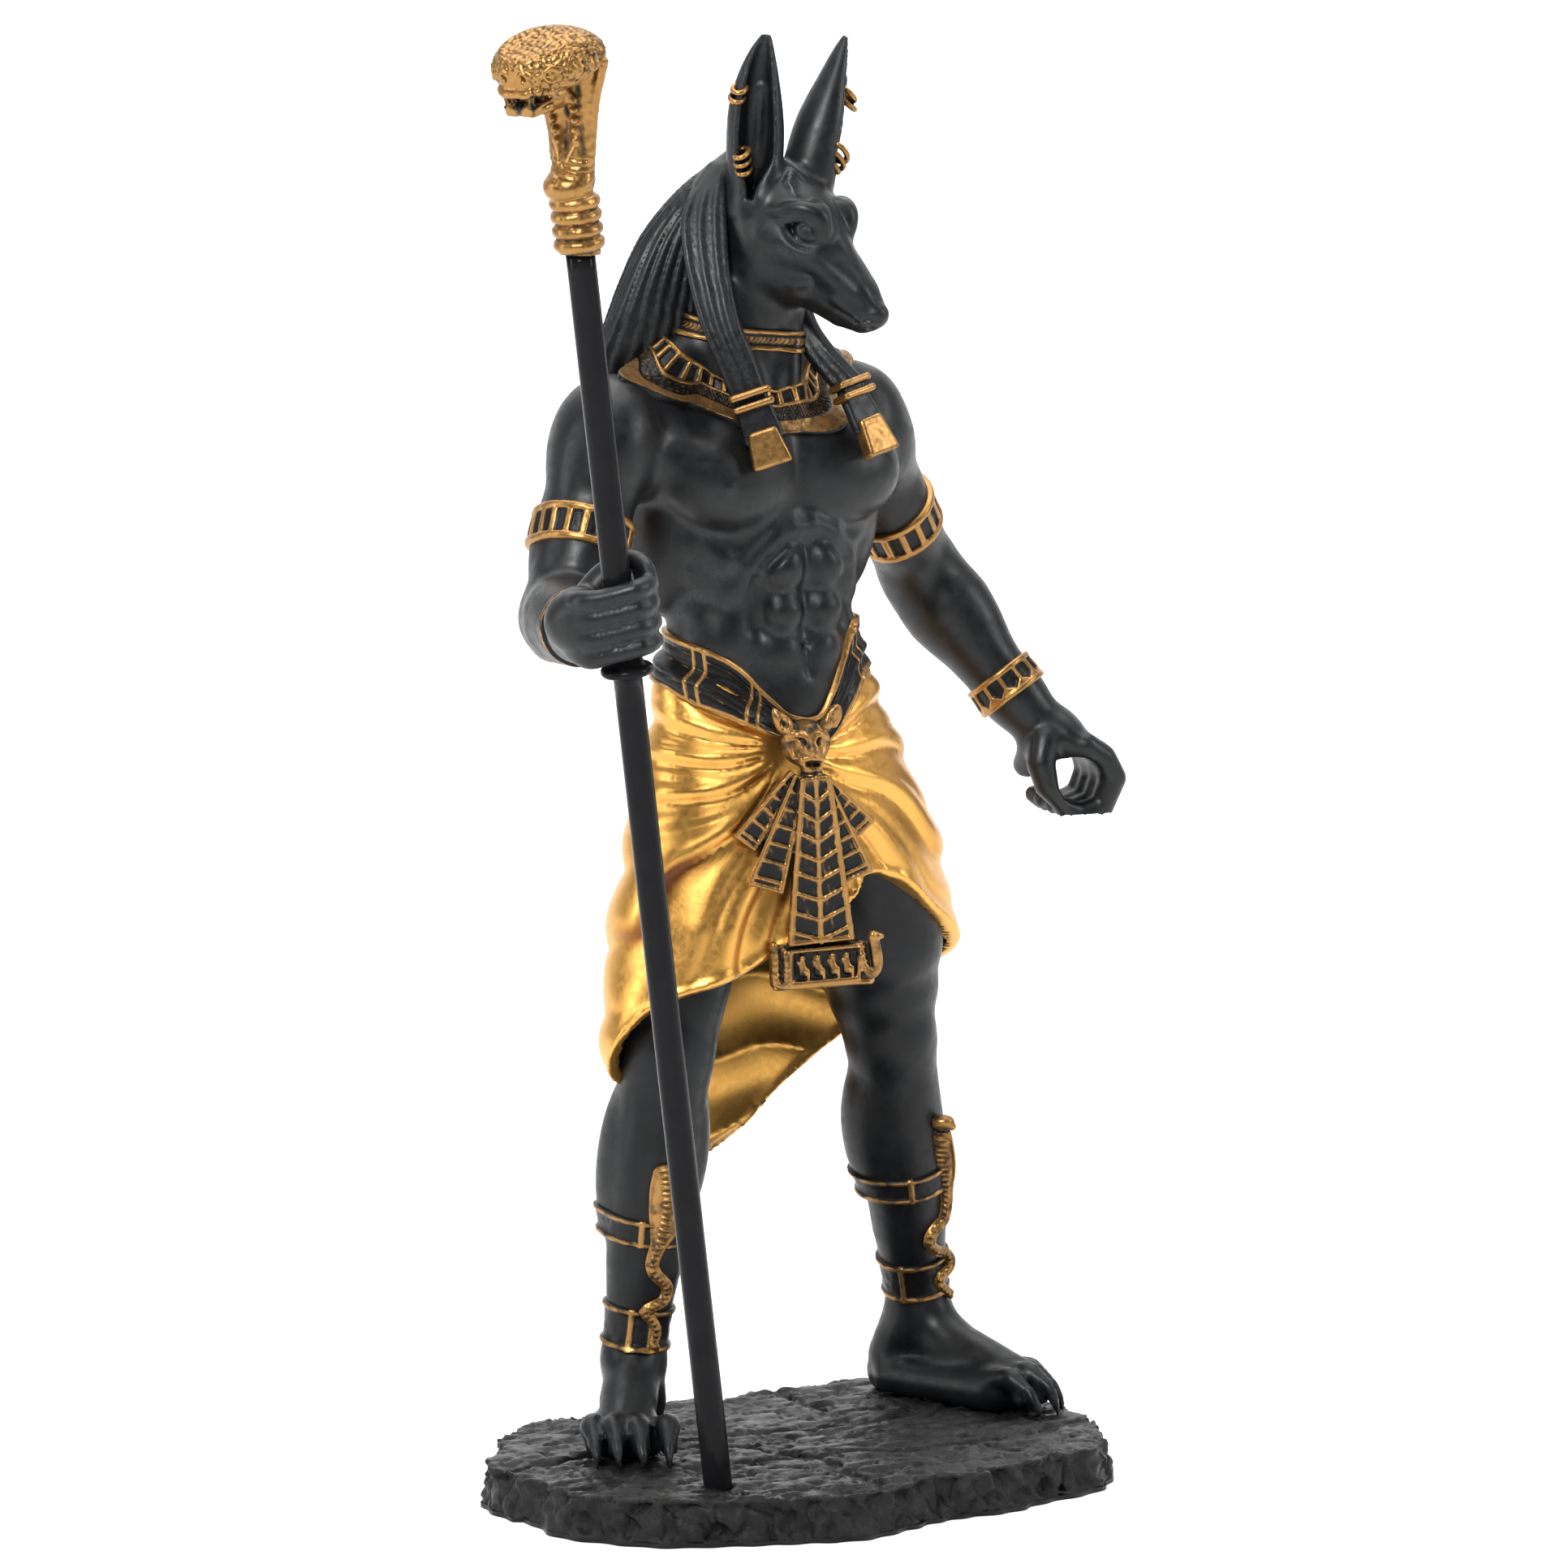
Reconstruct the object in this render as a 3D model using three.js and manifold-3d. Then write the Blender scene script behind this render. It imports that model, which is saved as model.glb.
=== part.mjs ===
// A standing jackal-headed statuette with a tall staff, cast in four pieces:
// a broken stone slab, the figure, the staff's rod and the cobra on top of it.
// Millimetres. +X is the figure's left, -Y its front, +Z up, origin under the slab.
import * as THREE from 'three';
import { mergeVertices } from 'three/addons/utils/BufferGeometryUtils.js';
import Module from 'manifold-3d';

const wasm = await Module();
wasm.setup();

// Driving sizes
const SLAB_TOP = 9.0;
const SLAB_MIDDLE = [-0.6, 2.4];
const GAP = 0.3;
const SOLE = SLAB_TOP + GAP;

const ROD_RADIUS = 2.8;
const ROD_FOOT = [-36.1, -25.2, SLAB_TOP];
const ROD_SLOPE = [-0.1695, -0.060];
const ROD_TOP = 253.4;
const SOCKET_DEPTH = 4.0;
const FLANGE_Z = 172.6;
const FLANGE_RADIUS = 5.1;

const FIGURE_CELL = 1.2;
const FINE_CELL = 1.0;
const FIGURE_FACES = 6900;
const SLAB_FACES = 780;
const COBRA_FACES = 1080;

// Skeleton
const PELVIS = [5, 16, 150];
const CHEST = [3, 16.5, 197];
const NECK = [-0.5, 19.5, 229];
const SKULL = [5, 13.5, 248];
const SHOULDER = { right: [-33.6, 17, 210.2], left: [28.6, 21.5, 208.9] };
const ELBOW = { right: [-49.4, 8.8, 176.8], left: [52.7, 31.3, 177] };
const WRIST = { right: [-62, -17, 178.2], left: [66, 17.8, 152.3] };
const HIP = { right: [-8, 16, 146], left: [18, 16.5, 146] };
const KNEE = { right: [-22.8, 11.5, 88], left: [33, 13.8, 86] };
const ANKLE = { right: [-25.6, 19.4, 27], left: [48.8, 26.4, 28] };
const TOE_DIRECTION = { right: [-0.62, -0.785], left: [0.25, -0.968] };
const LEFT_GRIP = [75, 11.8, 136];
const GRIP_RADIUS = 4.7;

// Small vector helpers
const add = (a, b) => a.map((value, i) => value + b[i]);
const sub = (a, b) => a.map((value, i) => value - b[i]);
const scale = (a, s) => a.map((value) => value * s);
const dot = (a, b) => a[0] * b[0] + a[1] * b[1] + a[2] * b[2];
const cross = (a, b) => [
  a[1] * b[2] - a[2] * b[1],
  a[2] * b[0] - a[0] * b[2],
  a[0] * b[1] - a[1] * b[0],
];
const unit = (a) => scale(a, 1 / Math.hypot(...a));
const mix = (a, b, t) => a.map((value, i) => value + (b[i] - value) * t);
const clamp = (x, low, high) => Math.min(high, Math.max(low, x));
const smooth = (low, high, x) => {
  const t = clamp((x - low) / (high - low), 0, 1);
  return t * t * (3 - 2 * t);
};
// 1 inside [low, high], falling to 0 over `edge` on either side
const plateau = (low, high, edge, x) =>
  smooth(low - edge, low + edge, x) * (1 - smooth(high - edge, high + edge, x));

// A frame is an origin and three unit axes; local(frame, p) reads p in it, place puts it back
const frameOf = (origin, x, y, z) => ({ origin, x, y, z });
const local = (frame, p) => {
  const q = sub(p, frame.origin);
  return [dot(q, frame.x), dot(q, frame.y), dot(q, frame.z)];
};
const place = (frame, [x, y, z]) =>
  frame.origin.map((value, i) => value + frame.x[i] * x + frame.y[i] * y + frame.z[i] * z);
const WORLD = frameOf([0, 0, 0], [1, 0, 0], [0, 1, 0], [0, 0, 1]);

// Value at x of a smooth curve through rows [x, value, value, ...]
function along(rows, x) {
  const last = rows.length - 1;
  if (x <= rows[0][0]) return rows[0].slice(1);
  if (x >= rows[last][0]) return rows[last].slice(1);
  let i = 0;
  while (x > rows[i + 1][0]) i += 1;
  const [p0, p1, p2, p3] = [rows[Math.max(0, i - 1)], rows[i], rows[i + 1], rows[Math.min(last, i + 2)]];
  const t = (x - p1[0]) / (p2[0] - p1[0]);
  return p1.slice(1).map((_, k) => {
    const c = k + 1;
    const m1 = p2[0] === p0[0] ? 0 : ((p2[c] - p0[c]) / (p2[0] - p0[0])) * (p2[0] - p1[0]);
    const m2 = p3[0] === p1[0] ? 0 : ((p3[c] - p1[c]) / (p3[0] - p1[0])) * (p2[0] - p1[0]);
    const t2 = t * t;
    const t3 = t2 * t;
    return (2 * t3 - 3 * t2 + 1) * p1[c] + (t3 - 2 * t2 + t) * m1
      + (3 * t2 - 2 * t3) * p2[c] + (t3 - t2) * m2;
  });
}

// Shapes: each has a box and a distance that is negative inside
const boxOf = (points, radius) => ({
  low: [0, 1, 2].map((i) => Math.min(...points.map((p) => p[i])) - radius),
  high: [0, 1, 2].map((i) => Math.max(...points.map((p) => p[i])) + radius),
});

function ellipsoid(centre, radii, frame = WORLD) {
  const middle = place(frame, centre);
  const axes = [frame.x, frame.y, frame.z];
  const reach = [0, 1, 2].map((i) => Math.hypot(...axes.map((axis, k) => axis[i] * radii[k])));
  const distance = (p) => {
    const q = sub(p, middle);
    let k0 = 0;
    let k1 = 0;
    for (let k = 0; k < 3; k += 1) {
      const value = dot(q, axes[k]) / radii[k];
      k0 += value * value;
      k1 += (value / radii[k]) * (value / radii[k]);
    }
    k0 = Math.sqrt(k0);
    return k1 === 0 ? -Math.min(...radii) : (k0 * (k0 - 1)) / Math.sqrt(k1);
  };
  return { low: sub(middle, reach), high: add(middle, reach), distance };
}

// A chain of round cones through points [x, y, z, radius] of a frame
function limb(points, frame = WORLD) {
  const centres = points.map((p) => place(frame, p));
  const radii = points.map((p) => p[3]);
  const distance = (p) => {
    let best = Infinity;
    for (let i = 0; i + 1 < centres.length; i += 1) {
      const [a, b] = [centres[i], centres[i + 1]];
      const ab = sub(b, a);
      const t = clamp(dot(sub(p, a), ab) / dot(ab, ab), 0, 1);
      const dx = p[0] - a[0] - ab[0] * t;
      const dy = p[1] - a[1] - ab[1] * t;
      const dz = p[2] - a[2] - ab[2] * t;
      const d = Math.sqrt(dx * dx + dy * dy + dz * dz) - radii[i] - (radii[i + 1] - radii[i]) * t;
      best = Math.min(best, d);
    }
    return best;
  };
  return { ...boxOf(centres, Math.max(...radii)), distance };
}

// A stack of ellipses along a frame's z, rows [z, centre x, centre y, half width, half depth]
function stack(rows, frame = WORLD) {
  const [bottom, top] = [rows[0][0], rows[rows.length - 1][0]];
  const corners = rows.flatMap(([z, x, y, a, b]) => [-1, 1].flatMap((i) => [-1, 1].map((j) =>
    place(frame, [x + i * a, y + j * b, z]))));
  const distance = (point) => {
    const p = frame === WORLD ? point : local(frame, point);
    const [cx, cy, a, b] = along(rows, p[2]);
    const [u, v] = [(p[0] - cx) / a, (p[1] - cy) / b];
    const k0 = Math.hypot(u, v);
    const side = k0 === 0 ? -Math.min(a, b) : (k0 * (k0 - 1)) / Math.hypot(u / a, v / b);
    return Math.max(side, bottom - p[2], p[2] - top);
  };
  return { ...boxOf(corners, 1), distance };
}

// A board with rounded edges: centre and half sizes in a frame
function board(centre, half, round, frame = WORLD) {
  const corners = [-1, 1].flatMap((i) => [-1, 1].flatMap((j) => [-1, 1].map((k) =>
    place(frame, [centre[0] + i * half[0], centre[1] + j * half[1], centre[2] + k * half[2]]))));
  const distance = (p) => {
    const q = local(frame, p).map((value, i) => Math.abs(value - centre[i]) - half[i] + round);
    const outside = Math.hypot(...q.map((value) => Math.max(value, 0)));
    return outside + Math.min(Math.max(...q), 0) - round;
  };
  return { ...boxOf(corners, 0), distance };
}

// Clay is a block of distance samples that shapes are joined to, cut from and pressed into
// A denser row of points along a smooth line through the given ones
function curve(rows, steps = 3) {
  const last = rows.length - 1;
  const line = [mix(rows[1], rows[0], 2), ...rows, mix(rows[last - 1], rows[last], 2)];
  const dense = [];
  for (let i = 1; i <= last; i += 1) {
    const [a, b, c, d] = line.slice(i - 1, i + 3);
    for (let step = 0; step < steps; step += 1) {
      const t = step / steps;
      dense.push(b.map((value, k) => {
        const square = 2 * a[k] - 5 * value + 4 * c[k] - d[k];
        const cube = 3 * (value - c[k]) + d[k] - a[k];
        return value + 0.5 * t * (c[k] - a[k] + t * (square + t * cube));
      }));
    }
  }
  return [...dense, rows[last]];
}

class Clay {
  constructor(low, high, cell) {
    this.cell = cell;
    this.low = low;
    this.count = high.map((value, i) => Math.ceil((value - low[i]) / cell) + 1);
    this.field = new Float32Array(this.count[0] * this.count[1] * this.count[2]).fill(20);
  }

  each(low, high, margin, visit) {
    const { cell, count } = this;
    const inside = (index, i) => clamp(index, 1, count[i] - 2);
    const from = low.map((value, i) => inside(Math.floor((value - margin - this.low[i]) / cell), i));
    const to = high.map((value, i) => inside(Math.ceil((value + margin - this.low[i]) / cell), i));
    for (let k = from[2]; k <= to[2]; k += 1) {
      for (let j = from[1]; j <= to[1]; j += 1) {
        let index = (k * count[1] + j) * count[0] + from[0];
        for (let i = from[0]; i <= to[0]; i += 1, index += 1) {
          const p = [this.low[0] + i * cell, this.low[1] + j * cell, this.low[2] + k * cell];
          this.field[index] = visit(p, this.field[index]);
        }
      }
    }
  }

  join(shape, blend = 0.01) {
    this.each(shape.low, shape.high, blend + 3, (p, old) => {
      const fresh = shape.distance(p);
      const h = Math.max(blend - Math.abs(old - fresh), 0) / blend;
      return Math.min(old, fresh) - h * h * blend * 0.25;
    });
  }

  cut(shape, blend = 0.01) {
    this.each(shape.low, shape.high, blend + 3, (p, old) => {
      const fresh = -shape.distance(p);
      const h = Math.max(blend - Math.abs(old - fresh), 0) / blend;
      return Math.max(old, fresh) + h * h * blend * 0.25;
    });
  }

  // Raises the surface by height(p) millimetres inside a box
  raise(low, high, height) {
    this.each(low, high, 0, (p, old) => (Math.abs(old) > 8 ? old : old - height(p)));
  }

  at(p) {
    const q = p.map((value, i) => clamp((value - this.low[i]) / this.cell, 0, this.count[i] - 1.001));
    const base = q.map(Math.floor);
    let total = 0;
    for (let corner = 0; corner < 8; corner += 1) {
      let weight = 1;
      const cellIndex = base.map((value, i) => {
        const bit = (corner >> i) & 1;
        weight *= bit ? q[i] - value : 1 - q[i] + value;
        return value + bit;
      });
      const index = (cellIndex[2] * this.count[1] + cellIndex[1]) * this.count[0] + cellIndex[0];
      total += weight * this.field[index];
    }
    return total;
  }

  // The surface met when coming in along -direction towards the point `from`
  surface(from, direction, reach = 30) {
    let s = reach;
    while (s > 0 && this.at(add(from, scale(direction, s))) > 0) s -= 0.3;
    return add(from, scale(direction, s));
  }
}

// Six tetrahedra fill each cell; each gives the faces of the zero surface inside it
const TETRAHEDRA = [[1, 2, 4], [2, 4, 1], [4, 1, 2], [1, 4, 2], [4, 2, 1], [2, 1, 4]].map(
  ([a, b], i) => ({ corners: [0, a, a | b, 7], even: i < 3 }),
);
const isEven = (order) => {
  let swaps = 0;
  for (let i = 0; i < 4; i += 1) for (let j = i + 1; j < 4; j += 1) if (order[i] > order[j]) swaps += 1;
  return swaps % 2 === 0;
};

function surfaceOf(clay) {
  const { field, count, cell, low } = clay;
  const layer = count[0] * count[1];
  const steps = Array.from({ length: 8 }, (_, c) => (c & 1) + ((c >> 1) & 1) * count[0] + (c >> 2) * layer);
  const points = [];
  const faces = [];
  const known = new Map();
  const total = field.length;
  const positionOf = (index) => {
    const i = index % count[0];
    const rest = (index - i) / count[0];
    const j = rest % count[1];
    return [low[0] + i * cell, low[1] + j * cell, low[2] + ((rest - j) / count[1]) * cell];
  };
  const crossing = (a, b) => {
    const key = a < b ? a * total + b : b * total + a;
    let id = known.get(key);
    if (id === undefined) {
      const t = clamp(field[a] / (field[a] - field[b]), 0.08, 0.92);
      id = points.length;
      points.push(mix(positionOf(a), positionOf(b), t));
      known.set(key, id);
    }
    return id;
  };
  for (let k = 0; k + 1 < count[2]; k += 1) {
    for (let j = 0; j + 1 < count[1]; j += 1) {
      for (let i = 0; i + 1 < count[0]; i += 1) {
        const base = (k * count[1] + j) * count[0] + i;
        let inside = 0;
        for (let c = 0; c < 8; c += 1) if (field[base + steps[c]] < 0) inside += 1;
        if (inside === 0 || inside === 8) continue;
        for (const { corners, even } of TETRAHEDRA) {
          const within = [0, 1, 2, 3].filter((c) => field[base + steps[corners[c]]] < 0);
          if (within.length === 0 || within.length === 4) continue;
          const without = [0, 1, 2, 3].filter((c) => !within.includes(c));
          const order = [...within, ...without];
          const id = order.map((c) => base + steps[corners[c]]);
          let ring;
          if (within.length === 1) ring = [[0, 1], [0, 2], [0, 3]];
          else if (within.length === 3) ring = [[0, 3], [1, 3], [2, 3]];
          else ring = [[0, 2], [0, 3], [1, 3], [1, 2]];
          const corner = ring.map(([a, b]) => crossing(id[a], id[b]));
          if (isEven(order) !== even) corner.reverse();
          faces.push([corner[0], corner[1], corner[2]]);
          if (corner.length === 4) faces.push([corner[0], corner[2], corner[3]]);
        }
      }
    }
  }
  return { points, faces };
}

// A heap of edges, cheapest first
class Heap {
  constructor() {
    this.items = [];
  }

  push(item) {
    const { items } = this;
    let i = items.push(item) - 1;
    while (i > 0) {
      const parent = (i - 1) >> 1;
      if (items[parent].cost <= item.cost) break;
      items[i] = items[parent];
      i = parent;
    }
    items[i] = item;
  }

  pop() {
    const { items } = this;
    const top = items[0];
    const last = items.pop();
    if (items.length === 0) return top;
    let i = 0;
    for (;;) {
      let child = 2 * i + 1;
      if (child >= items.length) break;
      if (child + 1 < items.length && items[child + 1].cost < items[child].cost) child += 1;
      if (items[child].cost >= last.cost) break;
      items[i] = items[child];
      i = child;
    }
    items[i] = last;
    return top;
  }
}

// A quadric sums squared distances to planes: 10 numbers of a symmetric 4 by 4 matrix
const planeQuadric = (n, d, w) => [
  n[0] * n[0], n[0] * n[1], n[0] * n[2], n[0] * d, n[1] * n[1],
  n[1] * n[2], n[1] * d, n[2] * n[2], n[2] * d, d * d,
].map((value) => value * w);
const quadricAt = (q, [x, y, z]) =>
  q[0] * x * x + 2 * q[1] * x * y + 2 * q[2] * x * z + 2 * q[3] * x + q[4] * y * y
  + 2 * q[5] * y * z + 2 * q[6] * y + q[7] * z * z + 2 * q[8] * z + q[9];

// The point of least error, or the middle of the edge where the planes don't fix one
function bestPoint(q, a, b) {
  const middle = mix(a, b, 0.5);
  const rows = [[q[0], q[1], q[2]], [q[1], q[4], q[5]], [q[2], q[5], q[7]]];
  const trace = q[0] + q[4] + q[7];
  const determinant = dot(rows[0], cross(rows[1], rows[2]));
  if (Math.abs(determinant) < 1e-5 * trace ** 3) return middle;
  const right = [-q[3], -q[6], -q[8]];
  const point = scale(add(add(
    scale(cross(rows[1], rows[2]), right[0]),
    scale(cross(rows[2], rows[0]), right[1]),
  ), scale(cross(rows[0], rows[1]), right[2])), 1 / determinant);
  return Math.hypot(...sub(point, middle)) > 1.5 * Math.hypot(...sub(a, b)) ? middle : point;
}

// Collapses edges until `target` faces are left, keeping the surface closed
function simplify({ points, faces }, target) {
  const EVENNESS = 2e-3;
  const around = points.map(() => new Set());
  const quadrics = points.map(() => new Array(10).fill(0));
  const stamp = new Int32Array(points.length);
  const alive = faces.map(() => true);
  const normalOf = (f, swap = -1, point = null) => {
    const [a, b, c] = faces[f].map((v) => (v === swap ? point : points[v]));
    return cross(sub(b, a), sub(c, a));
  };
  faces.forEach((face, f) => {
    const normal = normalOf(f);
    const size = Math.hypot(...normal);
    const n = size > 0 ? scale(normal, 1 / size) : [0, 0, 0];
    const quadric = planeQuadric(n, -dot(n, points[face[0]]), size);
    face.forEach((v) => {
      around[v].add(f);
      for (let i = 0; i < 10; i += 1) quadrics[v][i] += quadric[i];
      // a faint pull to the old place keeps flat areas evenly meshed
      [[1, 0, 0], [0, 1, 0], [0, 0, 1]].forEach((axis, k) => {
        const pull = planeQuadric(axis, -points[v][k], size * EVENNESS);
        for (let i = 0; i < 10; i += 1) quadrics[v][i] += pull[i];
      });
    });
  });
  const neighbours = (v) => {
    const found = new Set();
    around[v].forEach((f) => faces[f].forEach((w) => found.add(w)));
    found.delete(v);
    return found;
  };
  const heap = new Heap();
  const offer = (a, b) => {
    const quadric = quadrics[a].map((value, i) => value + quadrics[b][i]);
    const point = bestPoint(quadric, points[a], points[b]);
    heap.push({ cost: quadricAt(quadric, point), a, b, point, age: stamp[a] + stamp[b] });
  };
  faces.forEach(([a, b, c]) => [[a, b], [b, c], [c, a]].forEach(([p, q]) => {
    if (p < q) offer(p, q);
  }));
  let left = faces.length;
  while (left > target && heap.items.length > 0) {
    const { a, b, point, age } = heap.pop();
    if (stamp[a] < 0 || stamp[b] < 0 || stamp[a] + stamp[b] !== age) continue;
    const [nearA, nearB] = [neighbours(a), neighbours(b)];
    if (!nearA.has(b)) continue;
    const shared = [...nearA].filter((v) => nearB.has(v));
    if (shared.length !== 2 || shared.some((v) => around[v].size < 4)) continue;
    const turns = (v, w) => [...around[v]].some((f) => {
      if (faces[f].includes(w)) return false;
      const before = normalOf(f);
      const after = normalOf(f, v, point);
      const size = Math.hypot(...after);
      return dot(before, after) < 0.25 * Math.hypot(...before) * size || size < 1e-4;
    });
    if (turns(a, b) || turns(b, a)) continue;
    points[a] = point;
    quadrics[a] = quadrics[a].map((value, i) => value + quadrics[b][i]);
    [...around[b]].forEach((f) => {
      if (faces[f].includes(a)) {
        faces[f].forEach((v) => around[v].delete(f));
        alive[f] = false;
        left -= 1;
      } else {
        faces[f] = faces[f].map((v) => (v === b ? a : v));
        around[a].add(f);
      }
    });
    stamp[b] = -1;
    stamp[a] += 1;
    neighbours(a).forEach((v) => {
      stamp[v] += 1;
    });
    neighbours(a).forEach((v) => offer(a, v));
    neighbours(a).forEach((v) => neighbours(v).forEach((w) => {
      if (w !== a && v < w) offer(v, w);
    }));
  }
  return { points, faces: faces.filter((_, f) => alive[f]) };
}

function geometryOf({ points, faces }) {
  const geometry = new THREE.BufferGeometry();
  geometry.setAttribute('position', new THREE.Float32BufferAttribute(points.flat(), 3));
  geometry.setIndex(faces.flat());
  return geometry;
}

// Joins and cuts
function solidOf(geometry) {
  const plain = geometry.clone();
  plain.deleteAttribute('normal');
  plain.deleteAttribute('uv');
  const merged = mergeVertices(plain, 1e-4);
  return new wasm.Manifold(new wasm.Mesh({
    numProp: 3,
    vertProperties: new Float32Array(merged.attributes.position.array),
    triVerts: new Uint32Array(merged.index.array),
  }));
}

function geometryFrom(solid) {
  const mesh = solid.getMesh();
  const geometry = new THREE.BufferGeometry();
  geometry.setAttribute('position', new THREE.BufferAttribute(new Float32Array(mesh.vertProperties), 3));
  geometry.setIndex(Array.from(mesh.triVerts));
  return geometry;
}

function rodGeometry(from, to, radius, sides) {
  const [a, b] = [new THREE.Vector3(...from), new THREE.Vector3(...to)];
  const geometry = new THREE.CylinderGeometry(radius, radius, a.distanceTo(b), sides);
  const axis = b.clone().sub(a).normalize();
  geometry.applyQuaternion(new THREE.Quaternion().setFromUnitVectors(new THREE.Vector3(0, 1, 0), axis));
  const middle = a.add(b).multiplyScalar(0.5);
  return geometry.translate(middle.x, middle.y, middle.z);
}

function boxGeometry(low, high) {
  const size = sub(high, low);
  const middle = mix(low, high, 0.5);
  return new THREE.BoxGeometry(...size).translate(...middle);
}

// The staff's centre line
const rodAt = (z) => [
  ROD_FOOT[0] + ROD_SLOPE[0] * (z - ROD_FOOT[2]),
  ROD_FOOT[1] + ROD_SLOPE[1] * (z - ROD_FOOT[2]),
  z,
];
const ROD_AXIS = unit([...ROD_SLOPE, 1]);
const SIDES = { right: -1, left: 1 };
const VIEWER = [-0.574, -0.819, 0];

// Torso
const MIDLINE_X = 3;
const WAIST_X = 1.8;
const BELLY_X = 4.6;

function torso(clay) {
  const across = (offset, y, z) => [MIDLINE_X + offset, y, z];
  const belly = (offset, y, z) => [BELLY_X + offset, y, z];
  clay.join(ellipsoid(CHEST, [25, 13.2, 25]));
  clay.join(limb([[-29, 18, 207.5, 9.5], [MIDLINE_X, 18.5, 208, 11], [26, 21, 206.5, 9.2]]), 5);
  clay.join(ellipsoid([WAIST_X + 0.4, 15.5, 174], [17.4, 11.6, 25]), 6);
  clay.join(ellipsoid(PELVIS, [25, 14, 17]), 6);
  clay.join(limb([[0.5, 20, 208, 13], [...NECK, 10.6], [2.5, 17, 240, 10]]), 4);
  // sinews in front of the neck
  clay.join(limb([[-4, 8.4, 215, 2.2], [-6.6, 10.2, 226, 2.4], [-8, 14, 238, 2.4]]), 3);
  clay.join(limb([[3.4, 7, 215, 2.2], [6, 10.5, 226, 2.4], [10, 15, 238, 2.4]]), 3);
  for (const side of [-1, 1]) {
    const shoulder = side < 0 ? SHOULDER.right : SHOULDER.left;
    clay.join(limb([[side * 5, 22, 228.5, 6], [side * 19, 20.5, 218, 6.8], [side * 28, 19, 213, 8]]), 4);
    clay.join(ellipsoid(across(side * 21.2 - 0.4, 21, 193), [7.5, 10.5, 19]), 5);
    clay.join(ellipsoid([WAIST_X + 0.6 + side * 13, 15, 168.5], [6.9, 9.5, 11]), 4);
    // breast muscle: a broad lower bulge and a fan up to the shoulder
    clay.join(ellipsoid(across(side * 12.6, 8.8, 200.4), [14.2, 8.4, 9.6]), 2);
    clay.join(ellipsoid(across(side * 9.5, 8.4, 205), [10.5, 6.8, 8.5]), 2.5);
    clay.join(ellipsoid(across(side * 14, 28, 203), [11, 5, 12]), 4);
    clay.join(limb([[...across(side * 19, 9, 203), 6.5], [...mix(shoulder, CHEST, 0.12), 8.5]]), 3.4);
    // edge of the ribs, and the belly muscle in three pairs
    clay.join(limb([[...belly(side * 1.5, 4, 191.6), 2], [...belly(side * 6.6, 4, 189.6), 2],
      [...belly(side * 11.4, 6, 184), 2], [...belly(side * 14, 9.4, 178), 2]]), 3);
    clay.join(ellipsoid(belly(side * 4.7, 4.9, 183.8), [5, 4.9, 5.9]), 1.8);
    clay.join(ellipsoid(belly(side * 4.7, 5.3, 174.9), [4.9, 4.8, 4.9]), 1.8);
    clay.join(ellipsoid(belly(side * 4.4, 6.5, 167), [5.4, 4.9, 4.6]), 3);
    clay.join(ellipsoid(belly(side * 3, 8.6, 158), [8, 6.8, 10]), 4);
    // fingers of muscle over the ribs
    for (const [row, z] of [189, 183].entries()) {
      clay.join(limb([[WAIST_X + side * (18 - row), 10 + row, z, 2],
        [WAIST_X + side * (14.4 - row), 7.4 + row, z - 3.4, 1.6]]), 4);
    }
    // arch under the ribs, and the crease from the hip down to the groin
    clay.cut(limb([[...belly(0, 0.7, 189.8), 0.7], [...belly(side * 4.8, 0.9, 189), 0.8],
      [...belly(side * 9.6, 2.8, 184.4), 0.7]]), 2);
    clay.cut(limb([[...belly(side * 10.8, 3.8, 181), 0.6], [...belly(side * 10.6, 4.2, 172), 0.6]]), 3);
    clay.cut(limb([[WAIST_X + 1 + side * 15.4, 6.2, 164.5, 0.7], [WAIST_X + 1 + side * 9.4, 2.9, 155, 0.7]]), 3);
    // shoulder blade
    clay.join(limb([[...across(side * 8, 30.5, 206), 2.4], [...across(side * 18, 29.5, 200), 3]]), 4);
    clay.cut(limb([[...across(side * 9, 33, 192), 0.8], [...across(side * 20, 29.5, 196), 0.8]]), 3);
  }
  clay.cut(limb([[...across(0.6, 0.5, 209), 0.8], [...across(1.2, 1.2, 194), 1.2]]), 2.4);
  clay.cut(limb([[...belly(0, 0.5, 188), 0.7], [...belly(0, 1.1, 180), 0.7], [...belly(0, 1.5, 171), 0.5]]), 2.2);
  clay.cut(ellipsoid(belly(-0.2, 2, 168.2), [1.2, 2.2, 1.3]), 0.8);
  clay.cut(limb([[...across(0, 32, 210), 1.6], [...across(0, 28.5, 188), 1.8], [...across(1, 27.5, 164), 1.6]]), 3);
}

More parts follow.
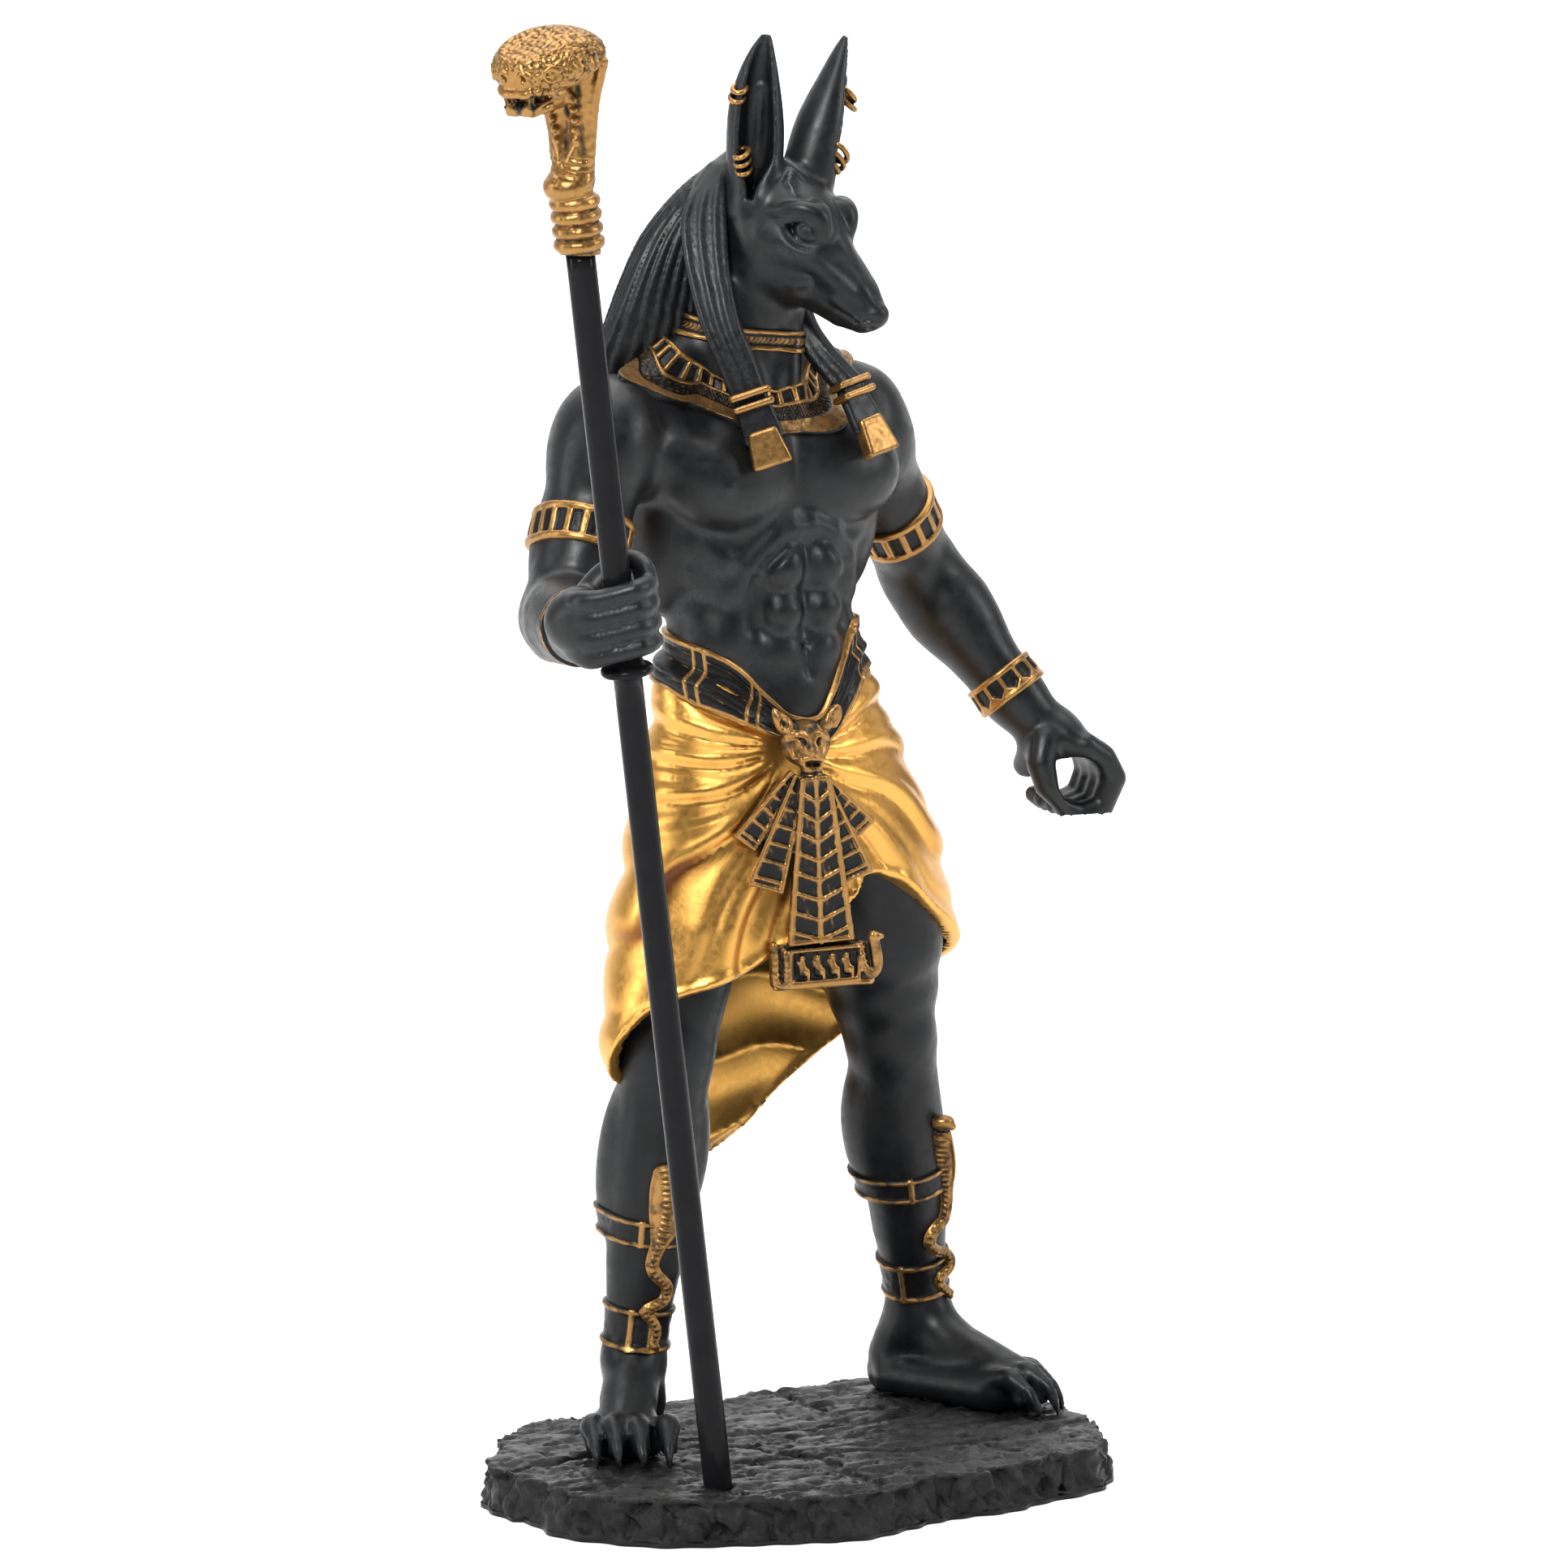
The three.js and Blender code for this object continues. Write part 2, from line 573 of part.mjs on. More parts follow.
// Arms
function arm(clay, side) {
  const sign = SIDES[side];
  const [shoulder, elbow, wrist] = [SHOULDER[side], ELBOW[side], WRIST[side]];
  const down = unit(sub(elbow, shoulder));
  const fore = unit(sub(wrist, elbow));
  const outward = unit(cross(cross(down, [sign, 0, 0]), down));
  const front = unit(cross(down, outward)).map((value) => value * sign);
  const upper = frameOf(shoulder, outward, front[1] < 0 ? front : scale(front, -1), down);
  const length = Math.hypot(...sub(elbow, shoulder));
  clay.join(limb([[...add(shoulder, [-sign * 1, 0, 1]), 9.6], [...mix(shoulder, elbow, 0.5), 8.6],
    [...elbow, 7.6]]), 4);
  clay.join(ellipsoid([1, 1, 2], [9.8, 11.6, 14], upper), 3);
  clay.join(ellipsoid([-1, 3.6, length * 0.6], [6.8, 5.8, 12], upper), 2.5);
  clay.join(ellipsoid([0.6, -4.2, length * 0.56], [7.2, 5.4, 13], upper), 2.5);
  const span = Math.hypot(...sub(wrist, elbow));
  clay.join(limb([[...elbow, 7.9], [...add(elbow, scale(fore, span * 0.3)), 8.6],
    [...add(elbow, scale(fore, span * 0.62)), 7.2], [...wrist, 5.7]]), 3);
  const bend = unit(sub(scale(fore, dot(fore, down)), down));
  const fleshy = frameOf(elbow, unit(cross(fore, bend)), bend, fore);
  clay.join(ellipsoid([3.2 * sign, -1.2, span * 0.26], [5.4, 5.4, 11], fleshy), 2.5);
  clay.join(ellipsoid([-3 * sign, 1.4, span * 0.34], [5, 5, 10.5], fleshy), 2.5);
  clay.join(ellipsoid([0, -5.2, -1.5], [3.6, 3.6, 3.4], fleshy), 2);
}

// Right hand: four fingers one above another round the rod
const RIGHT_GRIP = rodAt(181.8);
const RIGHT_HAND = (() => {
  const front = unit(sub(VIEWER, scale(ROD_AXIS, dot(VIEWER, ROD_AXIS))));
  return frameOf(RIGHT_GRIP, cross(front, ROD_AXIS).map((v) => -v), front, ROD_AXIS);
})();
// Rows: height of each finger along the rod, and its radius
const RIGHT_FINGERS = [[6.3, 1.95], [2.6, 2.05], [-1.2, 2], [-4.9, 1.8]];

function rightHand(clay) {
  const wrist = local(RIGHT_HAND, WRIST.right);
  clay.join(limb([[...wrist, 6.1], [-8.8, -2, -0.4, 6]], RIGHT_HAND), 4);
  clay.join(ellipsoid([-7.4, -0.4, -0.9], [4.2, 6, 7.4], RIGHT_HAND), 2.5);
  for (const [height, size] of RIGHT_FINGERS) {
    clay.join(limb(curve([
      [-9.2, 0.4, height * 0.86 - 1.6, size + 0.3], [-6.6, 4, height - 1.5, size + 0.35],
      [-3, 5.3, height - 1, size], [2.6, 5.3, height - 0.1, size + 0.05], [5, 3.6, height + 0.1, size + 0.05],
      [6, 0.6, height + 0.1, size - 0.15], [4.6, -2.6, height, size - 0.4],
    ]), RIGHT_HAND), 0.55);
  }
  clay.join(limb(curve([[-6.6, -4.6, 2, 3.6], [-2, -6.6, 6.6, 3], [3, -4.6, 9.6, 2.3], [5.8, -1.8, 9.6, 1.9],
    [6.9, 0.8, 7, 1.7], [6.8, 2, 4.2, 1.4]]), RIGHT_HAND), 0.5);
}

// Left hand: a fist closed on nothing, open along its grip
const LEFT_HAND = (() => {
  const fore = unit(sub(LEFT_GRIP, WRIST.left));
  const towards = unit([-0.19, -0.975, -0.1]);
  const down = unit(sub(fore, scale(towards, dot(towards, fore))));
  return frameOf(LEFT_GRIP, cross(towards, down), down, towards);
})();

function leftHand(clay) {
  // x runs to the back of the hand, y on from the forearm, z along the grip to the thumb
  const wrist = local(LEFT_HAND, WRIST.left);
  clay.join(limb([[...wrist, 5.7], [1, -9.6, -1.5, 5.6]], LEFT_HAND), 4);
  clay.join(ellipsoid([3.2, -6, -0.8], [4.8, 6.4, 8], LEFT_HAND), 3);
  clay.join(limb([[5.8, -1.6, 5, 2.9], [5.6, -1.8, -5.4, 2.7]], LEFT_HAND), 2);
  for (const [row, depth] of [5.7, 1.9, -1.9, -5.6].entries()) {
    const size = [2.5, 2.5, 2.4, 2.1][row];
    const curl = [0, 0.3, 0.8, 1.2][row];
    clay.join(limb([
      [4.8, -5, depth, size + 0.3], [6.7, -0.6, depth, size + 0.4], [6.6 - curl * 0.4, 4.4, depth, size + 0.3],
      [1.6, 8.2 - curl * 0.4, depth, size], [-3.4 - curl, 6.8 - curl * 0.3, depth, size - 0.1],
      [-5.2 - curl, 3.6 - curl, depth, size - 0.3],
    ], LEFT_HAND), 0.9);
  }
  clay.join(limb([[-1.4, -9.4, 2.6, 3.4], [-4.8, -7, 4.6, 2.9], [-6.2, -2.6, 5.6, 2.5], [-5.6, 1.4, 6, 2]],
    LEFT_HAND), 1);
  clay.join(limb([[-2.6, -8, -1, 3.4], [-4.8, -4.4, -4.8, 2.8]], LEFT_HAND), 2);
}

// Legs
function leg(clay, side) {
  const sign = SIDES[side];
  const [hip, knee, ankle] = [HIP[side], KNEE[side], ANKLE[side]];
  const toe = [...TOE_DIRECTION[side], 0];
  const outer = [-toe[1] * sign, toe[0] * sign, 0];
  const thigh = unit(sub(knee, hip));
  const shin = unit(sub(ankle, knee));
  const legFrame = (origin, axis) => {
    const front = unit(sub(toe, scale(axis, dot(toe, axis))));
    return frameOf(origin, unit(sub(outer, scale(axis, dot(outer, axis)))), front, axis);
  };
  const [upper, lower] = [legFrame(hip, thigh), legFrame(knee, shin)];
  const thighLength = Math.hypot(...sub(knee, hip));
  const shinLength = Math.hypot(...sub(ankle, knee));
  clay.join(limb([[...hip, 14], [...mix(hip, knee, 0.5), 12], [...knee, 8.8]]), 4);
  clay.join(ellipsoid([2.4, 3.4, thighLength * 0.55], [8, 8, 22], upper), 3);
  clay.join(ellipsoid([-4.4, 3.6, thighLength * 0.8], [4.4, 4.8, 9.5], upper), 1.8);
  clay.join(ellipsoid([5.4, 3.2, thighLength * 0.76], [4.6, 5.4, 13], upper), 1.8);
  clay.join(ellipsoid([0, -4.5, thighLength * 0.55], [8, 6.5, 20], upper), 3);
  clay.join(ellipsoid([0, 6.2, thighLength * 0.97], [4.4, 3.6, 4.8], upper), 1.6);
  clay.join(limb([[...knee, 8.6], [...mix(knee, ankle, 0.33), 9], [...mix(knee, ankle, 0.7), 7.6],
    [...ankle, 5.4]]), 3);
  clay.join(ellipsoid([-4.6, -3.2, shinLength * 0.33], [5.6, 6.8, 15.5], lower), 2.2);
  clay.join(ellipsoid([5.8, -2.8, shinLength * 0.37], [6, 6.6, 18], lower), 2.2);
  clay.join(ellipsoid([1.6, 3.4, shinLength * 0.36], [4.2, 3.8, 15], lower), 2.2);
  clay.join(limb([[0, 5.4, 5, 2.4], [-0.6, 4.6, shinLength * 0.4, 1.6]], lower), 2);
}

// Feet: long toes with raised knuckles and hooked claws
function foot(clay, side) {
  const sign = SIDES[side];
  const toe = [...TOE_DIRECTION[side], 0];
  const outer = [-toe[1] * sign, toe[0] * sign, 0];
  const ankle = ANKLE[side];
  const frame = frameOf([ankle[0], ankle[1], SOLE], outer, toe, [0, 0, 1]);
  const instep = side === 'left' ? 23.5 : 17;
  clay.join(limb([[0, 0, ankle[2] - SOLE, 5.8], [0, -5, 7, 6.1], [0, -6.4, 4, 5.2]], frame), 3);
  clay.join(limb([[0, 2, 15, 5.4], [0.4, 10, 9.6, 5.8], [0.8, instep, 6, 4.8]], frame), 4);
  clay.join(limb([[-3.4, instep - 1, 3.4, 4], [4.6, instep - 2, 3.2, 4]], frame), 3);
  clay.join(limb([[0, -6, 3.4, 4.6], [3.6, 6, 2.4, 3.4], [4.6, instep, 2.4, 3.4]], frame), 2);
  const toes = [[-6, 2.6, -0.16], [-1.8, 4.4, -0.05], [2.6, 3.8, 0.06], [6.8, 1.4, 0.18]];
  for (const [x, reach, splay] of toes) {
    const y = instep + reach;
    const step = (forward) => x + splay * forward;
    clay.join(limb([[x * 0.85, y - 6, 4.8, 3], [step(0.6), y + 1, 7, 2.8], [step(4), y + 5, 5.8, 2.5],
      [step(5.4), y + 6.8, 4, 2]], frame), 0.9);
    clay.join(limb([[step(5), y + 6.4, 5.4, 1.6], [step(7.6), y + 9.4, 3.8, 1.2], [step(9), y + 11, 0.4, 0.6]],
      frame), 0.5);
  }
}

// Head, in its own frame: x forward along the muzzle, y to its left, z up
const HEAD = frameOf(SKULL, [0.290, -0.787, -0.545], [0.938, 0.345, 0], [0.188, -0.511, 0.839]);

function head(clay) {
  clay.join(ellipsoid([-2.5, 0, 3.2], [12, 10.3, 10.8], HEAD), 3);
  clay.join(ellipsoid([4.2, 0, 6.2], [8.6, 8.8, 7], HEAD), 3);
  clay.join(limb(curve([[4, 0, 2.6, 9], [11.5, 0, 3, 6], [17, 0, 1.8, 4.9], [23, 0, 0.9, 3.8], [26.8, 0, 0.5, 2.9]]),
    HEAD), 3);
  clay.join(limb([[6, 0, -3, 6.4], [15, 0, -2.4, 4.7], [20.5, 0, -2.5, 3.7], [25.2, 0, -1.8, 2.7]], HEAD), 2);
  clay.join(ellipsoid([27.7, 0, 1.1], [2.4, 2.6, 2.4], HEAD), 0.8);
  clay.join(limb([[13, 0, 5.8, 3], [23, 0, 2.7, 2]], HEAD), 2);
  for (const side of [-1, 1]) {
    clay.join(ellipsoid([1.6, side * 4.7, -1.4], [10.6, 5.7, 8.4], HEAD), 3);
    clay.join(ellipsoid([6, side * 3.6, -3.4], [8, 4.6, 5], HEAD), 2.5);
    // cheekbone, from below the eye into the snout
    clay.join(limb(curve([[2, side * 7.8, 2.6, 2.6], [9, side * 6.4, 3.6, 2.6], [15.4, side * 3.6, 3.6, 2.4],
      [22, side * 1.9, 2.8, 1.9]]), HEAD), 2.5);
    clay.join(limb([[15, side * 2.3, 5.2, 1.4], [20, side * 2, 3.9, 1.4], [25.6, side * 1.5, 2.4, 1.2]], HEAD), 1.4);
    clay.join(limb([[27, side * 1.6, -0.6, 1.8], [21, side * 2.4, -0.4, 2]], HEAD), 1.2);
    // eye under its brow
    clay.cut(ellipsoid([9, side * 8.6, 8.2], [4.4, 2.8, 2.7], HEAD), 1.2);
    clay.join(limb(curve([[1.2, side * 8.3, 7.6, 1], [3.4, side * 8.1, 9.8, 1.4], [6, side * 6.8, 11.4, 1.9],
      [8.6, side * 4.9, 11.1, 2.4], [10.4, side * 4.1, 9.2, 2.1], [11.7, side * 3.5, 7.2, 1.4]]), HEAD), 0.9);
    clay.join(ellipsoid([7.4, side * 3.9, 11.9], [2.6, 2, 1.9], HEAD), 0.8);
    clay.join(ellipsoid([8.4, side * 5.6, 8], [3.3, 2.9, 2.7], HEAD), 0.2);
    // line of the mouth, and the tuft of fur in front of the ear
    clay.cut(limb([[28.8, side * 1.5, -1.1, 0.4], [25.6, side * 3, -1.3, 0.5], [20, side * 4.6, -1.9, 0.5],
      [15, side * 6, -2.9, 0.4]], HEAD), 1);
    clay.join(limb([[-5.6, side * 5, 13, 1.6], [-3.2, side * 8.2, 8, 1.4]], HEAD), 1.6);
  }
}

// Ears: tall cones, scooped out on the side that `facing` looks to
const EARS = {
  right: { base: [-0.4, 14.5, 256], tip: [1.9, 12.5, 288.2], facing: [-0.66, -0.75, 0] },
  left: { base: [11.2, 12.6, 257], tip: [21.6, 13, 287], facing: [0.88, -0.47, 0] },
};
// Rows: share of the ear's length, half width, half depth, shift of the middle across
const EAR_ROWS = [
  [0, 5, 5.4, 0.3], [0.2, 5.6, 5.7, 0], [0.4, 5.7, 5.5, -0.4], [0.56, 5.3, 4.6, -0.75], [0.75, 4, 3.1, -0.8],
  [0.9, 2.4, 1.9, -0.5], [1, 0.9, 0.8, 0],
];

function earFrame(side) {
  const { base, tip, facing } = EARS[side];
  const axis = unit(sub(tip, base));
  const out = unit(sub(facing, scale(axis, dot(facing, axis))));
  return { frame: frameOf(base, cross(axis, out), out, axis), length: Math.hypot(...sub(tip, base)) };
}

function ear(clay, side) {
  const { frame, length } = earFrame(side);
  const turn = -SIDES[side];
  const shell = ({ wide, deep, shift, start, over, taper }) => (p) => {
    const [x, y, z] = local(frame, p);
    const t = clamp(z / length, 0, 1);
    const [width, b, drift] = along(EAR_ROWS, t);
    const a = width * (1 - taper * smooth(0.3, start, t));
    const [u, v] = [(x - turn * drift) / (a * wide) - turn * over, (y - shift * b) / (b * deep)];
    const k0 = Math.hypot(u, v);
    const flat = k0 === 0 ? -a : (k0 * (k0 - 1)) / Math.hypot(u / (a * wide), v / (b * deep));
    return Math.max(flat, start * length - z, z - length);
  };
  const box = boxOf([EARS[side].base, EARS[side].tip], 6);
  const whole = { wide: 1, deep: 1, shift: 0, start: -0.1, over: 0, taper: 0 };
  const cup = { wide: 0.62, deep: 0.95, shift: 0.78, start: 0, over: 0.16, taper: 0.8 };
  clay.join({ ...box, distance: shell(whole) }, 1.5);
  clay.cut({ ...box, distance: shell(cup) }, 0.7);
}

// Headdress: locks from the crown over the back, and one lappet on each side of the breast
const WIG_ROWS = [
  [186, 0, 33, 24.5, 3], [196, 0, 32, 27, 5], [208, -0.9, 31, 29, 7], [220, -2, 29, 28.6, 8],
  [231, -2.4, 27.4, 24.2, 8.3], [240, -1.8, 27, 20.8, 9], [249, -0.4, 26.4, 17, 8.8],
  [257, 2.1, 24.4, 12.7, 7.8], [262, 3.7, 21.8, 8.6, 6.3], [266, 4.5, 20.5, 3.8, 3.6],
];
const LOCKS = 23;
const LOCK_DEPTH = 0.45;

function wig(clay) {
  const back = stack(WIG_ROWS);
  const distance = (p) => {
    const [cx, cy, a, b] = along(WIG_ROWS, p[2]);
    const angle = Math.atan2((p[1] - cy) / Math.sqrt(b), (p[0] - cx) / Math.sqrt(a));
    const wave = Math.cos(angle * LOCKS + 0.25 * Math.sin(p[2] * 0.07));
    return back.distance(p) * 0.9 + smooth(268, 258, p[2]) * LOCK_DEPTH * (0.6 - wave);
  };
  clay.join({ ...back, distance }, 1);
  for (const side of ['right', 'left']) {
    const { frame, length } = earFrame(side);
    clay.cut(limb([[0, 3.4, length * 0.1, 4.4], [0, 5, length * 0.5, 5.5]], frame), 1);
  }
}

// Edges of the two lappets, from behind the ear down to the straps
const LAPPETS = {
  right: [
    [[-5.6, 21.6, 260.8], [-10.8, 20.6, 256.5], [-14.3, 18.6, 251], [-15.8, 14.8, 243], [-15.9, 10.6, 234],
      [-14.6, 7, 226.5], [-12.6, 4.2, 218.6]],
    [[-3.6, 18.6, 261], [-5.5, 16.1, 256.6], [-7, 13.6, 251], [-9.2, 9.4, 242], [-9.9, 5, 232], [-8.6, 2.2, 225.4],
      [-6.9, 0.2, 218.6]],
  ],
  left: [
    [[10.6, 21, 254], [8.6, 17, 242], [8.1, 12.6, 232.6], [9, 9, 225.4], [12.2, 4.4, 218.8]],
    [[15.6, 17.4, 254], [11.2, 14.8, 240], [10.5, 10.6, 231.6], [12.1, 6.4, 226.2], [15.9, 1.6, 220.2]],
  ],
};
// Ends of the lappets: two straps and a broad foot, from the top to the end
const TASSELS = {
  right: { top: [-9.7, 2, 219], end: [-6.4, -1.6, 204.6], facing: [-0.5, -0.85, 0.1] },
  left: { top: [14.6, 2.4, 219.6], end: [18.4, -3.4, 205.6], facing: [0.12, -0.97, 0.15] },
};

function lappet(clay, side) {
  const [outer, inner] = LAPPETS[side].map((rows) => curve(rows));
  for (const t of [0.14, 0.5, 0.86]) {
    const line = outer.map((p, i) => mix(p, inner[i], t));
    clay.join(limb(line.map((p) => [...sub(p, scale(VIEWER, 1.2)), 1.7])), 0.6);
  }
  const { top, end, facing } = TASSELS[side];
  const down = unit(sub(end, top));
  const out = unit(sub(facing, scale(down, dot(facing, down))));
  const frame = frameOf(top, cross(down, out), out, down);
  const length = Math.hypot(...sub(end, top));
  clay.join(limb([[-1.6, -0.3, 1, 1.9], [-1.9, -0.1, length * 0.6, 1.8]], frame), 0.3);
  clay.join(limb([[1.6, -0.3, 1, 1.9], [1.9, -0.1, length * 0.6, 1.8]], frame), 0.3);
  clay.join(board([0, 0, 1.45], [4.3, 2.5, 1.9], 0.7, frame), 0.1);
  clay.join(board([0, 0.3, length * 0.75], [3.7, 1.7, length * 0.25], 0.7, frame), 0.1);
}

// Collar: a broad ring round the neck, its rims higher than the band between
const COLLAR_CENTRE = [0.4, 20, 222];
const COLLAR_RADII = [30, 21, 17.5];

function collar(clay) {
  const [low, high] = [[-33, -4, 200], [36, 44, 234]];
  clay.raise(low, high, (p) => {
    const q = sub(p, COLLAR_CENTRE).map((value, i) => value / COLLAR_RADII[i]);
    const ring = Math.hypot(q[0], q[1], Math.min(q[2], 0));
    const rims = plateau(0.86, 1, 0.03, ring) + plateau(0.5, 0.64, 0.03, ring);
    return 1 * plateau(0.5, 1, 0.03, ring) + 0.5 * rims;
  });
}

// A band raised round a limb between two places on its axis
function band(clay, from, to, height, radius) {
  const axis = unit(sub(to, from));
  const length = Math.hypot(...sub(to, from));
  const box = boxOf([from, to], radius);
  clay.raise(box.low, box.high, (p) => {
    const q = sub(p, from);
    const s = dot(q, axis);
    const off = Math.sqrt(Math.max(dot(q, q) - s * s, 0));
    return off > radius ? 0 : height * plateau(0, length, 0.45, s);
  });
}

// A snake lying on a limb: rows are [height along the axis, angle, radius of the body, lift]
function snake(clay, from, to, zero, rows) {
  const axis = unit(sub(to, from));
  const east = unit(sub(zero, scale(axis, dot(zero, axis))));
  const north = cross(axis, east);
  const points = rows.map(([s, degrees, radius, lift]) => {
    const angle = THREE.MathUtils.degToRad(degrees);
    const direction = add(scale(east, Math.cos(angle)), scale(north, Math.sin(angle)));
    const foot = clay.surface(add(from, scale(axis, s)), direction, 14);
    return [...add(foot, scale(direction, lift)), radius];
  });
  clay.join(limb(points), 0.5);
}

// Kilt: a cloth wrapped round the hips; its hem runs down from the left thigh to a point behind
const KILT_CENTRE = [6, 16];
const KILT_ROWS = [
  [52, 6.4, 17.5, 38, 20], [74, 8, 17.5, 37.6, 21], [86, 9, 17, 34.4, 21.5], [93, 9.2, 16.8, 34.4, 21.5],
  [100, 8.6, 16.5, 36.8, 21.5], [107, 8, 16.3, 39.4, 21.5], [114, 8, 16, 38.4, 21], [124, 8.2, 16, 35.6, 20.5],
  [135, 7.2, 16, 32.2, 19], [150, 5, 16, 26.8, 17], [162, 3, 16, 23.4, 15], [172, 2.4, 16, 20.4, 12.5],
];
// Rows: degrees from the front towards the right side, then the hem's height
const HEM_ROWS = [
  [-40, 121], [-20, 122], [0, 113], [29, 109.5], [50, 104], [73, 97.5], [88, 84], [99, 74], [120, 68],
  [150, 63.5], [172, 61.5], [180, 62.5], [200, 67], [220, 74.5], [235, 81], [245, 86], [260, 95], [278, 102.5],
  [295, 110], [320, 120.5], [340, 122], [360, 113], [389, 109.5],
];
const CLOTH = 2.6;
const KNOT = [-1.5, -6.5, 148];
// Rows: degrees from the front, then the height of the belt's middle and its half width
const BELT_ROWS = [
  [-60, 167, 5], [-50, 166, 4.9], [-27, 159.6, 3.8], [-13, 155.5, 3.2], [0, 151.5, 2.8], [23, 152.2, 2.7],
  [35, 154.4, 3.4], [45, 156.7, 3.9], [62, 161, 5.2], [72, 162.8, 5.5], [87, 165, 4.8], [110, 166.5, 4.6],
  [180, 168, 4.5], [250, 168, 4.5], [300, 167, 5], [310, 166, 4.9], [333, 159.6, 3.8], [347, 155.5, 3.2],
  [360, 151.5, 2.8],
];

const turnOf = (p) => {
  const degrees = THREE.MathUtils.radToDeg(Math.atan2(-(p[0] - KILT_CENTRE[0]), -(p[1] - KILT_CENTRE[1])));
  return degrees < -30 ? degrees + 360 : degrees;
};

// Height of the cloth's folds: a fan from the knot in front, long swags behind and down the sides
function folds(p) {
  const [dx, dz] = [p[0] - KNOT[0], p[2] - KNOT[2]];
  const reach = Math.hypot(dx, dz);
  const angle = Math.atan2(dz, Math.abs(dx));
  const front = smooth(26, 8, p[1]);
  const spread = smooth(3, 12, reach) * (1 - 0.55 * smooth(24, 44, reach));
  const fan = Math.cos(angle * 15 + 0.6 * Math.sin(reach * 0.13)) * spread;
  const turn = turnOf(p);
  const swag = Math.cos(p[2] * 0.42 + (turn - 180) * 0.035 + 0.8 * Math.sin(turn * 0.05));
  return 0.9 * fan * front + 0.7 * swag * (1 - front * 0.7) * smooth(168, 150, p[2]);
}

function kilt(clay) {
  const outer = stack(KILT_ROWS);
  const pull = (p) => outer.distance(p) - folds(p);
  const hem = (p) => along(HEM_ROWS, turnOf(p))[0];
  const distance = (p) => {
    const skin = pull(p);
    const below = hem(p) - p[2];
    const hollow = Math.max(skin + CLOTH, p[2] - 117);
    const above = p[2] - along(BELT_ROWS, turnOf(p))[0];
    return Math.max(skin, below, -hollow, above * 0.9);
  };
  clay.join({ low: [-38, -10, 50], high: [48, 42, 168], distance }, 0.8);
  clay.join(ellipsoid([6, 24, 138], [24, 12, 16]), 5);
}

function belt(clay) {
  clay.raise([-30, -8, 142], [38, 40, 176], (p) => {
    const [middle, half] = along(BELT_ROWS, turnOf(p));
    const off = p[2] - middle;
    const rims = plateau(-half, -half + 1.4, 0.4, off) + plateau(half - 1.4, half, 0.4, off);
    return 1.1 * plateau(-half, half, 0.5, off) + 0.5 * rims;
  });
}

// Buckle: an animal's head with two ears
function buckle(clay) {
  const middle = add(KNOT, [0, 1, 1]);
  const turned = frameOf(middle, unit([1, -0.25, 0]), unit([-0.3, -1, 0.1]), [0, 0, 1]);
  clay.join(ellipsoid([0, -1, 2], [4, 3.4, 4.2], turned), 0.8);
  clay.join(limb([[0, 0, 1, 3], [0, 2.4, -3.6, 2]], turned), 0.8);
  for (const side of [-1, 1]) {
    clay.join(limb([[side * 2.6, -1.4, 4.4, 1.7], [side * 5, -0.8, 6.8, 1.3], [side * 5.2, -0.6, 8.6, 0.7]],
      turned), 0.6);
  }
}

// Apron: five ribbons fanned out under the buckle, and a plaque at the end of the middle one
function apron(clay) {
  const hung = (to, width, lift) => {
    const from = [KNOT[0] + 0.5, KNOT[1] + 0.6 - lift * 0.4, KNOT[2] - 4];
    const run = unit(sub(to, from));
    const out = unit(sub([0, -1, 0], scale(run, -run[1])));
    const frame = frameOf(from, cross(run, out), out, run);
    const length = Math.hypot(...sub(to, from));
    const distance = (p) => {
      const [x, y, z] = local(frame, p);
      const half = mix([1.6], [width], clamp(z / length, 0, 1))[0];
      return Math.max(Math.abs(x) - half, Math.abs(y) - 1.1, -z, z - length) * 0.9;
    };
    const corners = [from, to];
    clay.join({ ...boxOf(corners, width + 1), distance }, 0.5);
  };
  hung([-10.6, -2.4, 127], 2.2, 0);
  hung([-7, -4.6, 120.5], 2.6, 0.6);
  hung([11.6, -6.6, 128.5], 2.2, 0);
  hung([9, -7, 120.5], 2.6, 0.6);
  hung([1.6, -8.4, 109], 5.6, 2);
  clay.join(board([2, -7.6, 105.2], [10.6, 2, 4.4], 0.7), 0.5);
  clay.join(board([2, -4.5, 108], [7, 4, 3], 1), 1);
  for (const side of [-1, 1]) {
    clay.join(limb([[2 + side * 10.4, -8, 102.4, 1.5], [2 + side * 11, -8.4, 108, 1.6],
      [2 + side * 11.6, -9.8, 110.8, 1.4]]), 0.5);
  }
}

